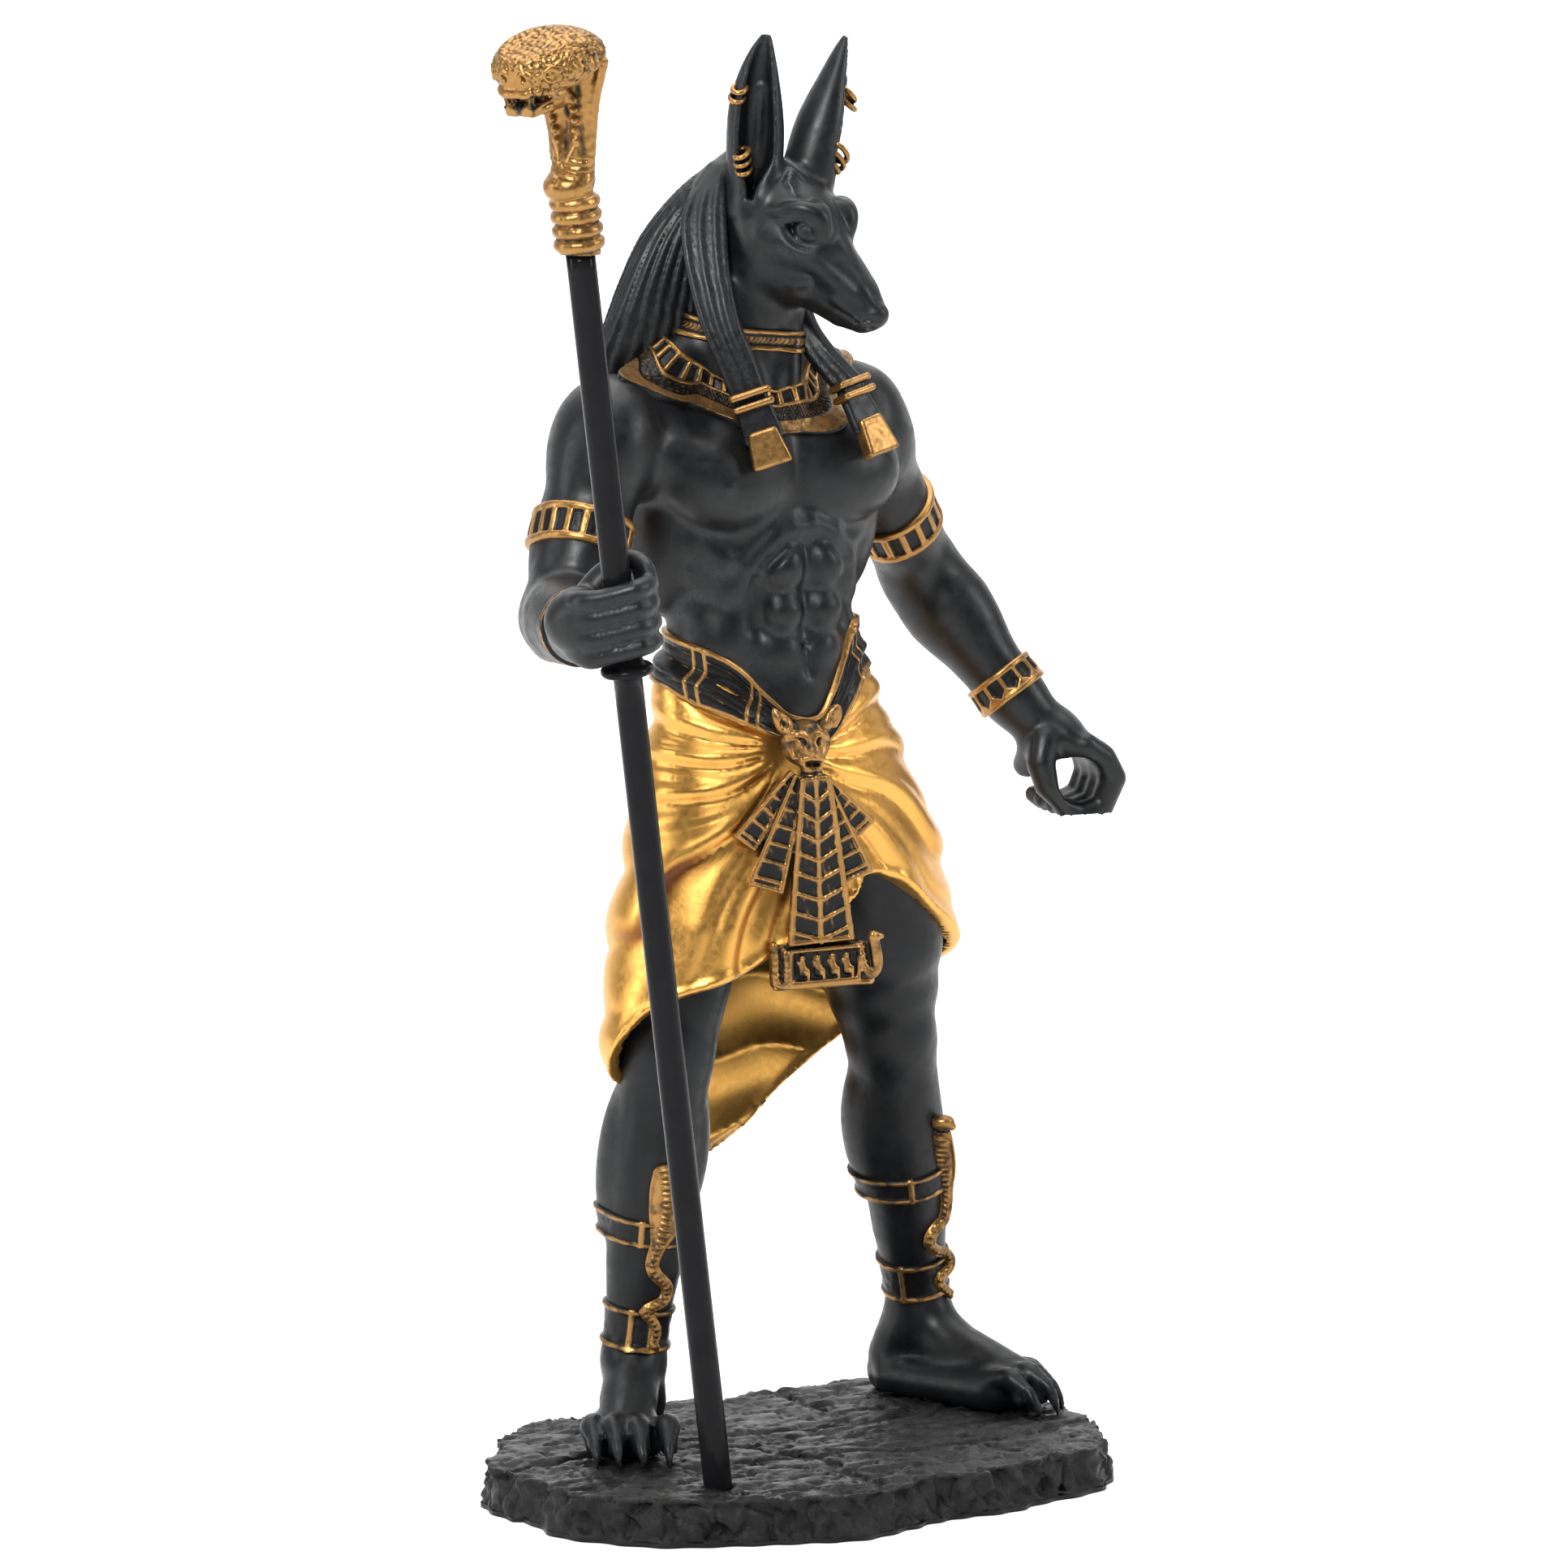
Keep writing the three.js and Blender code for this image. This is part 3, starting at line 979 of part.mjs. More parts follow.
function ornaments(clay) {
  const bandAt = (a, b, t, width, height, radius) => {
    const axis = unit(sub(b, a));
    const middle = mix(a, b, t);
    band(clay, sub(middle, scale(axis, width / 2)), add(middle, scale(axis, width / 2)), height, radius);
  };
  band(clay, [-0.6, 19.6, 227], [-0.3, 19.3, 230.6], 1, 15);
  for (const side of ['right', 'left']) {
    bandAt(SHOULDER[side], ELBOW[side], side === 'right' ? 0.55 : 0.62, 7.5, 1, 14.5);
    bandAt(KNEE[side], ANKLE[side], 0.58, 4.6, 1.1, 14);
    bandAt(KNEE[side], ANKLE[side], 0.93, 7.4, 1.1, 12);
  }
  bandAt(ELBOW.right, WRIST.right, 0.86, 4.4, 1, 11);
  bandAt(ELBOW.left, WRIST.left, 0.9, 5.4, 1, 11);
  snake(clay, KNEE.right, ANKLE.right, VIEWER, [[20, -24, 0.9, 0.6], [24, -20, 1.5, 0.9], [31, -16, 1.6, 0.7],
    [40, -2, 1.3, 0.4], [46, -14, 1.2, 0.4], [51, -2, 1.1, 0.4], [56, -14, 1, 0.4], [60, -4, 0.8, 0.3]]);
  snake(clay, KNEE.left, ANKLE.left, VIEWER, [[13, -50, 1.4, 3], [15, -50, 1.6, 1.6], [22, -46, 1.9, 0.8],
    [32, -46, 1.5, 0.5], [38, -36, 1.3, 0.4], [44, -48, 1.2, 0.4], [50, -36, 1.1, 0.4], [56, -46, 0.9, 0.3]]);
  snake(clay, SHOULDER.right, ELBOW.right, VIEWER, [[18, 52, 0.9, 1.4], [21, 50, 1.5, 1.3], [26, 54, 1.4, 0.9]]);
}

// Rings through the rims of the ears: share of the ear's length, place across, place to the front
const EAR_RINGS = {
  right: [[0.655, 0.7, 0.5], [0.6, 0.72, 0.5], [0.27, 0.38, 0.6], [0.22, 0.36, 0.6]],
  left: [[0.655, 0.1, 0.8], [0.6, 0.1, 0.8], [0.27, -0.5, 0.66], [0.22, -0.45, 0.6]],
};

function earRings(clay) {
  for (const side of ['right', 'left']) {
    const { frame, length } = earFrame(side);
    const turn = -SIDES[side];
    for (const [share, place, front] of EAR_RINGS[side]) {
      const [a, b, drift] = along(EAR_ROWS, share);
      const middle = [turn * (drift - place * a), front * b, share * length];
      clay.join(ellipsoid(middle, [1.6, 1.8, 0.8], frame), 0.3);
    }
  }
}

function figureGeometry() {
  const clay = new Clay([-80, -50, 6], [90, 50, 293], FIGURE_CELL);
  torso(clay);
  for (const side of ['right', 'left']) {
    arm(clay, side);
    leg(clay, side);
    foot(clay, side);
  }
  kilt(clay);
  belt(clay);
  collar(clay);
  rightHand(clay);
  leftHand(clay);
  head(clay);
  ornaments(clay);
  wig(clay);
  for (const side of ['right', 'left']) {
    ear(clay, side);
    lappet(clay, side);
  }
  earRings(clay);
  buckle(clay);
  apron(clay);
  const cast = solidOf(geometryOf(simplify(surfaceOf(clay), FIGURE_FACES)));
  const tunnel = rodGeometry(rodAt(150), rodAt(215), ROD_RADIUS + GAP, 16);
  const grip = rodGeometry(place(LEFT_HAND, [0, 0, -16]), place(LEFT_HAND, [0, 0, 16]), GRIP_RADIUS, 12);
  const ground = boxGeometry([-120, -120, -20], [120, 120, SOLE]);
  let solid = cast.subtract(solidOf(ground)).subtract(solidOf(tunnel)).subtract(solidOf(grip));
  const pieces = solid.decompose();
  solid = pieces.reduce((a, b) => (a.volume() > b.volume() ? a : b));
  return geometryFrom(solid);
}

// Slab: a broken flagstone with chipped sides and joints cut in its top
// Rows: degrees from +X, then the distance out from the slab's middle
const SLAB_OUTLINE = [
  [-38, 63.9], [-19, 65.2], [-5, 66.4], [20, 67], [42, 64.2], [53, 55], [73, 47], [86, 45.5], [113, 48.4],
  [125, 54.6], [145, 57.5], [157, 59.5], [166, 64], [176, 63.5], [185, 63.5], [194, 66.5], [202, 66.5],
  [218, 62.5], [233, 56.6], [246, 55.6], [265, 49.6], [274, 46.4], [296, 52], [309, 56.2], [322, 63.9],
  [341, 65.2], [355, 66.4],
];
const SLAB_JOINTS = [
  [[-60, 10], [-20, 14], [20, 8], [64, 12]], [[-24, 44], [-20, 14], [-6, -12], [-10, -42]],
  [[20, 8], [26, 46]], [[-6, -12], [30, -20], [62, -16]], [[-62, -14], [-34, -10], [-6, -12]],
  [[30, -20], [34, -40]],
];

function slabGeometry() {
  const clay = new Clay([-74, -52, -4], [74, 54, 13], 1.4);
  const edge = (p) => {
    const [u, v] = [p[0] - SLAB_MIDDLE[0], p[1] - SLAB_MIDDLE[1]];
    const turn = THREE.MathUtils.radToDeg(Math.atan2(v, u));
    const [reach] = along(SLAB_OUTLINE, turn < -10 ? turn + 360 : turn);
    const chips = 0.5 * Math.sin(turn * 0.31 + p[2] * 0.5) + 0.4 * Math.sin(turn * 0.83 + p[2]);
    return Math.hypot(u, v) - reach + chips + 0.1 * (p[2] - 3);
  };
  const distance = (p) => Math.max(edge(p) * 0.85, p[2] - SLAB_TOP, -3 - p[2]);
  clay.join({ low: [-73, -51, -3], high: [73, 53, 9], distance });
  for (const joint of SLAB_JOINTS) {
    clay.cut(limb(joint.map(([x, y]) => [x, y, SLAB_TOP + 0.4, 1.3])), 0.3);
  }
  const stone = solidOf(geometryOf(simplify(surfaceOf(clay), SLAB_FACES)));
  const under = solidOf(boxGeometry([-120, -120, -20], [120, 120, 0]));
  const over = solidOf(boxGeometry([-120, -120, SLAB_TOP], [120, 120, 40]));
  const socket = rodGeometry(rodAt(SLAB_TOP - SOCKET_DEPTH - GAP), rodAt(20), ROD_RADIUS + GAP, 16);
  return geometryFrom(stone.subtract(under).subtract(over).subtract(solidOf(socket)));
}

// Rod of the staff, turned, with a flange that the fist rests on
function rodOfStaff() {
  const foot = rodAt(SLAB_TOP - SOCKET_DEPTH);
  const length = Math.hypot(...sub(rodAt(ROD_TOP), foot));
  const flange = Math.hypot(...sub(rodAt(FLANGE_Z), foot));
  const profile = [
    [0, 0], [ROD_RADIUS, 0], [ROD_RADIUS, flange - 2.4], [FLANGE_RADIUS - 0.4, flange - 1.8],
    [FLANGE_RADIUS, flange - 1], [FLANGE_RADIUS - 0.5, flange - 0.2], [ROD_RADIUS, flange],
    [ROD_RADIUS, length], [0, length],
  ].map(([r, y]) => new THREE.Vector2(r, y));
  const geometry = new THREE.LatheGeometry(profile, 20);
  geometry.applyQuaternion(new THREE.Quaternion().setFromUnitVectors(
    new THREE.Vector3(0, 1, 0),
    new THREE.Vector3(...ROD_AXIS),
  ));
  return geometryFrom(solidOf(geometry.translate(...foot)));
}

// Finial: a ringed socket, a cobra's neck with spread hood, and its head with open jaws
const FINIAL_FOOT = rodAt(ROD_TOP + GAP);
const COBRA = (() => {
  const toViewerLeft = unit(sub([-0.93, -0.3, 0], scale(ROD_AXIS, dot([-0.93, -0.3, 0], ROD_AXIS))));
  return frameOf(FINIAL_FOOT, toViewerLeft, cross(ROD_AXIS, toViewerLeft), ROD_AXIS);
})();

const COBRA_NECK = [
  [13, 0, 0, 3.9, 4.4], [18, -1.4, 0, 3.4, 4.6], [24, -2.4, 0, 3.2, 5.2], [30, -2.8, 0, 3.4, 6.6],
  [37, -2.6, 0, 3.6, 8.6],
];

function finialGeometry() {
  const clay = new Clay([-112, -64, 248], [-64, -22, 306], FINE_CELL);
  clay.join(limb([[0, 0, -3, 3.9], [0, 0, 9, 3.9]], COBRA));
  for (const height of [1, 3.7, 6.4, 9]) {
    clay.join(ellipsoid([0, 0, height], [4.9, 4.9, 1.35], COBRA), 0.4);
  }
  clay.join(ellipsoid([0, 0, 12], [4.7, 4.7, 3], COBRA), 0.8);
  clay.join(stack(COBRA_NECK, COBRA), 1);
  clay.join(ellipsoid([3.3, 0, 36.4], [11.8, 10.4, 6.5], COBRA), 1.5);
  clay.join(limb([[8, 0, 35.4, 6.2], [15.6, 0, 34.8, 4.2]], COBRA), 1.5);
  clay.join(limb([[3, 0, 30.8, 3.4], [8, 0, 30, 2.7], [13, 0, 29, 2.1]], COBRA), 1);
  clay.cut(limb([[6.4, 0, 32.2, 0.8], [12, 0, 31.6, 1.1], [19.6, 0, 31.2, 1.4]], COBRA), 0.3);
  for (const side of [-1, 1]) {
    clay.join(limb([[4, side * 6.4, 36.6, 2], [10, side * 4.4, 36.4, 1.7]], COBRA), 1);
    clay.cut(ellipsoid([19, side * 1.9, 34.6], [1, 0.9, 1], COBRA), 0.3);
  }
  const cast = solidOf(geometryOf(simplify(surfaceOf(clay), COBRA_FACES)));
  const below = rodGeometry(place(COBRA, [0, 0, -20]), place(COBRA, [0, 0, 0]), 20, 12);
  return geometryFrom(cast.subtract(solidOf(below)));
}

// Materials
const STONE = new THREE.MeshStandardMaterial({ color: 0x2b2b2a, roughness: 0.85, metalness: 0 });
const BLACK = new THREE.MeshStandardMaterial({ color: 0x232527, roughness: 0.45, metalness: 0.1 });
const LACQUER = new THREE.MeshStandardMaterial({ color: 0x0d0d0e, roughness: 0.25, metalness: 0 });
const GOLD = new THREE.MeshStandardMaterial({ color: 0xb9822e, roughness: 0.35, metalness: 0.9 });

function piece(name, geometry, material) {
  const mesh = new THREE.Mesh(geometry, material);
  mesh.name = name;
  return mesh;
}

const statue = new THREE.Group();
statue.add(piece('base', slabGeometry(), STONE));
statue.add(piece('figure', figureGeometry(), BLACK));
statue.add(piece('staff_shaft', rodOfStaff(), LACQUER));
statue.add(piece('staff_finial', finialGeometry(), GOLD));

export default statue;
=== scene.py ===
# A standing jackal-headed statuette with a tall cobra staff on a broken flagstone.
# Shapes are modelled in millimetres as clay (blocks of distance samples) and as relief
# wrapped round it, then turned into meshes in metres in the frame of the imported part.
import math

import bpy
import numpy as np
from mathutils import Matrix, Vector


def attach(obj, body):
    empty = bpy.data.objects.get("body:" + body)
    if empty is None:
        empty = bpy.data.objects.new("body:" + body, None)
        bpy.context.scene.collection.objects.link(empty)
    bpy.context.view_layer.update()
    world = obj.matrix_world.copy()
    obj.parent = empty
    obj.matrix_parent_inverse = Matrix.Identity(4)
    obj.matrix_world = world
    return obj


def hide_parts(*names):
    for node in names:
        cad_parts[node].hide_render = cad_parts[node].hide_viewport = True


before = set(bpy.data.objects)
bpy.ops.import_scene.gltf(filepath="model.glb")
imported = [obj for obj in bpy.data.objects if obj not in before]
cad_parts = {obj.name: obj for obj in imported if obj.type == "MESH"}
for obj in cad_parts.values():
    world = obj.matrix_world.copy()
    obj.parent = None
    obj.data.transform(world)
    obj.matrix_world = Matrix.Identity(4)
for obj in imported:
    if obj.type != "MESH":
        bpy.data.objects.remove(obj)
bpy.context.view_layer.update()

MM = 0.001
FLOAT = np.float32

# Sizes

SLAB_TOP = 9.0
SLAB_MIDDLE = (-0.6, 2.4)
SOLE = 9.3
ROD_RADIUS = 2.8
ROD_FOOT = (-36.1, -25.2, 9.0)
ROD_SLOPE = (-0.1695, -0.060)
ROD_TOP = 253.4
ROD_SIDES = 64
FLANGE_Z = 173.3
FLANGE_RADIUS = 5.1

PELVIS = (5, 16, 150)
CHEST = (3, 16.5, 197)
NECK = (-0.5, 19.5, 229)
SKULL = (5, 13.5, 248)
SHOULDER = {"right": (-33.6, 17, 210.2), "left": (28.6, 21.5, 208.9)}
ELBOW = {"right": (-49.4, 8.8, 176.8), "left": (52.7, 31.3, 177)}
WRIST = {"right": (-62, -17, 178.2), "left": (66, 17.8, 152.3)}
HIP = {"right": (-8, 16, 146), "left": (18, 16.5, 146)}
KNEE = {"right": (-22.8, 11.5, 88), "left": (33, 13.8, 86)}
ANKLE = {"right": (-25.6, 19.4, 27), "left": (48.8, 26.4, 28)}
TOE_DIRECTION = {"right": (-0.62, -0.785), "left": (0.25, -0.968)}
LEFT_GRIP = (75, 11.8, 136)
GRIP_RADIUS = 4.7
SIDES = {"right": -1, "left": 1}
VIEWER = (-0.574, -0.819, 0)

# Vectors


def vec(*values):
    return np.array(values, float)


def unit(a):
    a = np.asarray(a, float)
    return a / np.linalg.norm(a)


def mix(a, b, t):
    a, b = np.asarray(a, float), np.asarray(b, float)
    return a + (b - a) * t


def smooth(low, high, x):
    t = np.clip((x - low) / (high - low), 0, 1)
    return t * t * (3 - 2 * t)


def plateau(low, high, edge, x):
    """1 inside [low, high], falling to 0 over edge on either side"""
    return smooth(low - edge, low + edge, x) * (1 - smooth(high - edge, high + edge, x))


class Frame:
    """An origin and three unit axes"""

    def __init__(self, origin, x, y, z):
        self.origin = np.asarray(origin, float)
        self.axes = [np.asarray(a, float) for a in (x, y, z)]

    def local(self, p):
        q = [p[i] - self.origin[i] for i in range(3)]
        return [q[0] * a[0] + q[1] * a[1] + q[2] * a[2] for a in self.axes]

    def place(self, p):
        return self.origin + sum(a * v for a, v in zip(self.axes, p))


WORLD = Frame((0, 0, 0), (1, 0, 0), (0, 1, 0), (0, 0, 1))


def along(rows, x):
    """Values at x of a smooth curve through rows (x, value, value, ...)"""
    table = np.asarray(rows, float)
    knots, values = table[:, 0], table[:, 1:]
    slopes = np.zeros_like(values)
    slopes[1:-1] = (values[2:] - values[:-2]) / (knots[2:] - knots[:-2])[:, None]
    slopes[0] = (values[1] - values[0]) / (knots[1] - knots[0])
    slopes[-1] = (values[-1] - values[-2]) / (knots[-1] - knots[-2])
    x = np.clip(np.asarray(x, float), knots[0], knots[-1])
    i = np.clip(np.searchsorted(knots, x, side="right") - 1, 0, len(knots) - 2)
    h = knots[i + 1] - knots[i]
    t = (x - knots[i]) / h
    t2, t3 = t * t, t * t * t
    weights = (2 * t3 - 3 * t2 + 1, (t3 - 2 * t2 + t) * h, 3 * t2 - 2 * t3, (t3 - t2) * h)
    return [
        (weights[0] * values[i, c] + weights[1] * slopes[i, c]
         + weights[2] * values[i + 1, c] + weights[3] * slopes[i + 1, c]).astype(FLOAT)
        for c in range(values.shape[1])
    ]


# Noise

RANDOM = np.random.default_rng(11)
LATTICE = RANDOM.standard_normal((32, 32, 32)).astype(FLOAT)


def noise(p, size, shift=0.0):
    """Smooth noise of about unit height with bumps about `size` across"""
    q = [np.asarray(v, float) / size + shift + 100.3 for v in p]
    base = [np.floor(v) for v in q]
    part = [v - b for v, b in zip(q, base)]
    part = [t * t * (3 - 2 * t) for t in part]
    total = 0
    for i in (0, 1):
        for j in (0, 1):
            for k in (0, 1):
                weight = ((part[0] if i else 1 - part[0]) * (part[1] if j else 1 - part[1])
                          * (part[2] if k else 1 - part[2]))
                at = [(b + s).astype(int) % 32 for b, s in zip(base, (i, j, k))]
                total = total + weight * LATTICE[at[0], at[1], at[2]]
    return total


# Clay


def box_of(points, radius):
    table = np.asarray(points, float)[:, :3]
    return table.min(0) - radius, table.max(0) + radius


def ellipsoid(centre, radii, at=WORLD):
    middle = at.place(centre)
    reach = np.sqrt(sum((a * r) ** 2 for a, r in zip(at.axes, radii)))

    def distance(p):
        k0, k1 = 0, 0
        for axis, r in zip(at.axes, radii):
            v = ((p[0] - middle[0]) * axis[0] + (p[1] - middle[1]) * axis[1]
                 + (p[2] - middle[2]) * axis[2]) / r
            k0 = k0 + v * v
            k1 = k1 + (v / r) ** 2
        k0 = np.sqrt(k0)
        return k0 * (k0 - 1) / np.sqrt(k1 + 1e-9)

    return middle - reach, middle + reach, distance


def curve(points, steps=5):
    """A denser row of points along a smooth line through the given ones"""
    p = np.asarray(points, float)
    p = np.concatenate([2 * p[:1] - p[1:2], p, 2 * p[-1:] - p[-2:-1]])
    t = np.linspace(0, 1, steps, endpoint=False)[:, None]
    parts = []
    for a, b, c, d in zip(p, p[1:], p[2:], p[3:]):
        parts.append(b + 0.5 * t * (c - a + t * (2 * a - 5 * b + 4 * c - d + t * (3 * b - a - 3 * c + d))))
    return np.concatenate(parts + [p[-2:-1]])


def limb(points, at=WORLD):
    """A chain of round cones through points (x, y, z, radius)"""
    centres = [at.place(p[:3]) for p in points]
    radii = [p[3] for p in points]

    def distance(p):
        best = None
        for a, b, ra, rb in zip(centres, centres[1:], radii, radii[1:]):
            ab = b - a
            dx, dy, dz = p[0] - a[0], p[1] - a[1], p[2] - a[2]
            t = np.clip((dx * ab[0] + dy * ab[1] + dz * ab[2]) / (ab @ ab), 0, 1).astype(FLOAT)
            d = np.sqrt((dx - ab[0] * t) ** 2 + (dy - ab[1] * t) ** 2 + (dz - ab[2] * t) ** 2)
            d = d - (ra + (rb - ra) * t)
            best = d if best is None else np.minimum(best, d)
        return best

    return (*box_of(centres, max(radii)), distance)


def stack(rows, at=WORLD, skin=None):
    """A stack of ellipses along z, rows (z, centre x, centre y, half width, half depth)"""
    bottom, top = rows[0][0], rows[-1][0]
    corners = [at.place((x + i * a, y + j * b, z)) for z, x, y, a, b in rows for i in (-1, 1)
               for j in (-1, 1)]

    def distance(point):
        p = point if at is WORLD else at.local(point)
        cx, cy, a, b = along(rows, p[2])
        u, v = (p[0] - cx) / a, (p[1] - cy) / b
        k0 = np.sqrt(u * u + v * v)
        side = k0 * (k0 - 1) / np.sqrt((u / a) ** 2 + (v / b) ** 2 + 1e-9)
        if skin is not None:
            side = skin(side, p)
        return np.maximum(np.maximum(side, bottom - p[2]), p[2] - top)

    return (*box_of(corners, 1), distance)


def strip(at, length, near, far, thick, rounding):
    """A flat strip along z of a frame, its half width running from near to far"""
    def distance(p):
        x, y, z = at.local(p)
        t = np.clip(z / length, 0, 1)
        half = near + (far - near) * t
        q = [np.abs(x) - half + rounding, np.abs(y) - thick + rounding,
             np.abs(z - length / 2) - length / 2 + rounding]
        outside = np.sqrt(sum(np.maximum(v, 0) ** 2 for v in q))
        return outside + np.minimum(np.maximum(np.maximum(q[0], q[1]), q[2]), 0) - rounding

    corners = [(i * max(near, far), j * thick, z) for i in (-1, 1) for j in (-1, 1) for z in (0, length)]
    return (*box_of([at.place(corner) for corner in corners], 0.2), distance)


def board(centre, half, rounding, at=WORLD):
    corners = [at.place([c + s * h for c, h, s in zip(centre, half, (i, j, k))])
               for i in (-1, 1) for j in (-1, 1) for k in (-1, 1)]

    def distance(p):
        q = [np.abs(v - c) - h + rounding for v, c, h in zip(at.local(p), centre, half)]
        outside = np.sqrt(sum(np.maximum(v, 0) ** 2 for v in q))
        inside = np.minimum(np.maximum(np.maximum(q[0], q[1]), q[2]), 0)
        return outside + inside - rounding

    return (*box_of(corners, 0), distance)


class Clay:
    """A block of distance samples that shapes are joined to and cut from"""

    def __init__(self, low, high, cell):
        self.low = np.asarray(low, float)
        self.cell = cell
        self.count = np.ceil((np.asarray(high, float) - self.low) / cell).astype(int) + 1
        self.field = np.full(self.count, 20, FLOAT)

    def window(self, low, high, margin):
        first = np.clip(np.floor((np.asarray(low) - margin - self.low) / self.cell).astype(int), 0,
                        self.count)
        last = np.clip(np.ceil((np.asarray(high) + margin - self.low) / self.cell).astype(int) + 1, 0,
                       self.count)
        if np.any(last <= first):
            return None, None
        axes = [(self.low[i] + self.cell * np.arange(first[i], last[i])).astype(FLOAT) for i in range(3)]
        grid = (axes[0][:, None, None], axes[1][None, :, None], axes[2][None, None, :])
        return tuple(slice(a, b) for a, b in zip(first, last)), grid

    def merge(self, shape, blend, sign):
        """Adds a shape (sign 1) or takes it away (sign -1), with a seam rounded over blend"""
        low, high, distance = shape
        part, p = self.window(low, high, blend + 3)
        if part is None:
            return
        old, fresh = sign * self.field[part], distance(p)
        seam = np.maximum(blend - np.abs(old - fresh), 0) / blend
        self.field[part] = sign * (np.minimum(old, fresh) - seam * seam * (blend * 0.25))

    def join(self, shape, blend=0.01):
        self.merge(shape, blend, 1)

    def cut(self, shape, blend=0.01):
        self.merge(shape, blend, -1)

    def at(self, p):
        q = (np.asarray(p, float) - self.low) / self.cell
        q = np.clip(q, 0, self.count - 1.001)
        base = q.astype(int)
        t = (q - base).astype(FLOAT)
        total = 0
        for i in (0, 1):
            for j in (0, 1):
                for k in (0, 1):
                    weight = ((t[..., 0] if i else 1 - t[..., 0]) * (t[..., 1] if j else 1 - t[..., 1])
                              * (t[..., 2] if k else 1 - t[..., 2]))
                    total = total + weight * self.field[base[..., 0] + i, base[..., 1] + j, base[..., 2] + k]
        return total

    def slope(self, p, step=None):
        step = step or self.cell
        rows = []
        for axis in np.eye(3):
            rows.append(self.at(p + axis * step) - self.at(p - axis * step))
        g = np.stack(rows, -1)
        return g / np.maximum(np.linalg.norm(g, axis=-1, keepdims=True), 1e-6)

    def exits(self, start, direction, reach, step=0.25, sign=1):
        """Distance from start along direction to the first place outside the clay (inside it with sign -1)"""
        s = np.arange(0, reach, step)
        values = sign * np.stack([self.at(start + direction * v) for v in s], 0)
        beyond = values > 0
        first = np.where(beyond.any(0), np.argmax(beyond, 0), len(s) - 1)
        before = np.maximum(first - 1, 0)
        last, fresh = (np.take_along_axis(values, i[None], 0)[0] for i in (before, first))
        t = np.where(first > 0, last / np.minimum(last - fresh, -1e-6), 0)
        return (before + np.clip(t, 0, 1)) * step


class Form:
    """Adds balls and tubes to a clay in one frame, or presses them into it"""

    def __init__(self, clay, at=WORLD):
        self.clay, self.at = clay, at

    def ball(self, centre, radii, blend=0.01):
        self.clay.join(ellipsoid(centre, radii, self.at), blend)

    def dent(self, centre, radii, blend=0.01):
        self.clay.cut(ellipsoid(centre, radii, self.at), blend)

    def tube(self, points, blend=0.01):
        self.clay.join(limb(points, self.at), blend)

    def groove(self, points, blend=0.01):
        self.clay.cut(limb(points, self.at), blend)


def skin_of(clay):
    """Quads of the zero surface: one point in each cell that it crosses"""
    field = clay.field
    inside = field < 0
    corners = [(i, j, k) for i in (0, 1) for j in (0, 1) for k in (0, 1)]
    n = clay.count - 1
    total = np.zeros(n, np.int8)
    for i, j, k in corners:
        total += inside[i:i + n[0], j:j + n[1], k:k + n[2]]
    active = (total > 0) & (total < 8)
    cells = np.argwhere(active)
    ids = np.full(n, -1, np.int32)
    ids[active] = np.arange(len(cells), dtype=np.int32)
    values = {c: field[cells[:, 0] + c[0], cells[:, 1] + c[1], cells[:, 2] + c[2]] for c in corners}
    places = np.zeros((len(cells), 3))
    hits = np.zeros(len(cells))
    for a in corners:
        for axis in range(3):
            if a[axis] == 1:
                continue
            b = tuple(1 if i == axis else v for i, v in enumerate(a))
            fa, fb = values[a], values[b]
            crossed = (fa < 0) != (fb < 0)
            t = np.where(crossed, fa / np.where(crossed, fa - fb, 1), 0)
            place = np.tile(np.array(a, float), (len(cells), 1))
            place[:, axis] = t
            places += place * crossed[:, None]
            hits += crossed
    points = clay.low + (cells + places / hits[:, None]) * clay.cell
    quads = []
    for axis in range(3):
        u, v = (axis + 1) % 3, (axis + 2) % 3
        lower = [slice(1, -1)] * 3
        upper = [slice(1, -1)] * 3
        lower[axis], upper[axis] = slice(0, -1), slice(1, None)
        a, b = inside[tuple(lower)], inside[tuple(upper)]
        for flip, mask in ((False, a & ~b), (True, b & ~a)):
            where = np.argwhere(mask)
            if not len(where):
                continue
            where = where + np.array([0 if i == axis else 1 for i in range(3)])
            ring = []
            for du, dv in ((-1, -1), (0, -1), (0, 0), (-1, 0)):
                at = where.copy()
                at[:, u] += du
                at[:, v] += dv
                ring.append(ids[at[:, 0], at[:, 1], at[:, 2]])
            ring = np.stack(ring, 1)
            quads.append(ring[:, ::-1] if flip else ring)
    return points, np.concatenate(quads)


# From clay to mesh objects

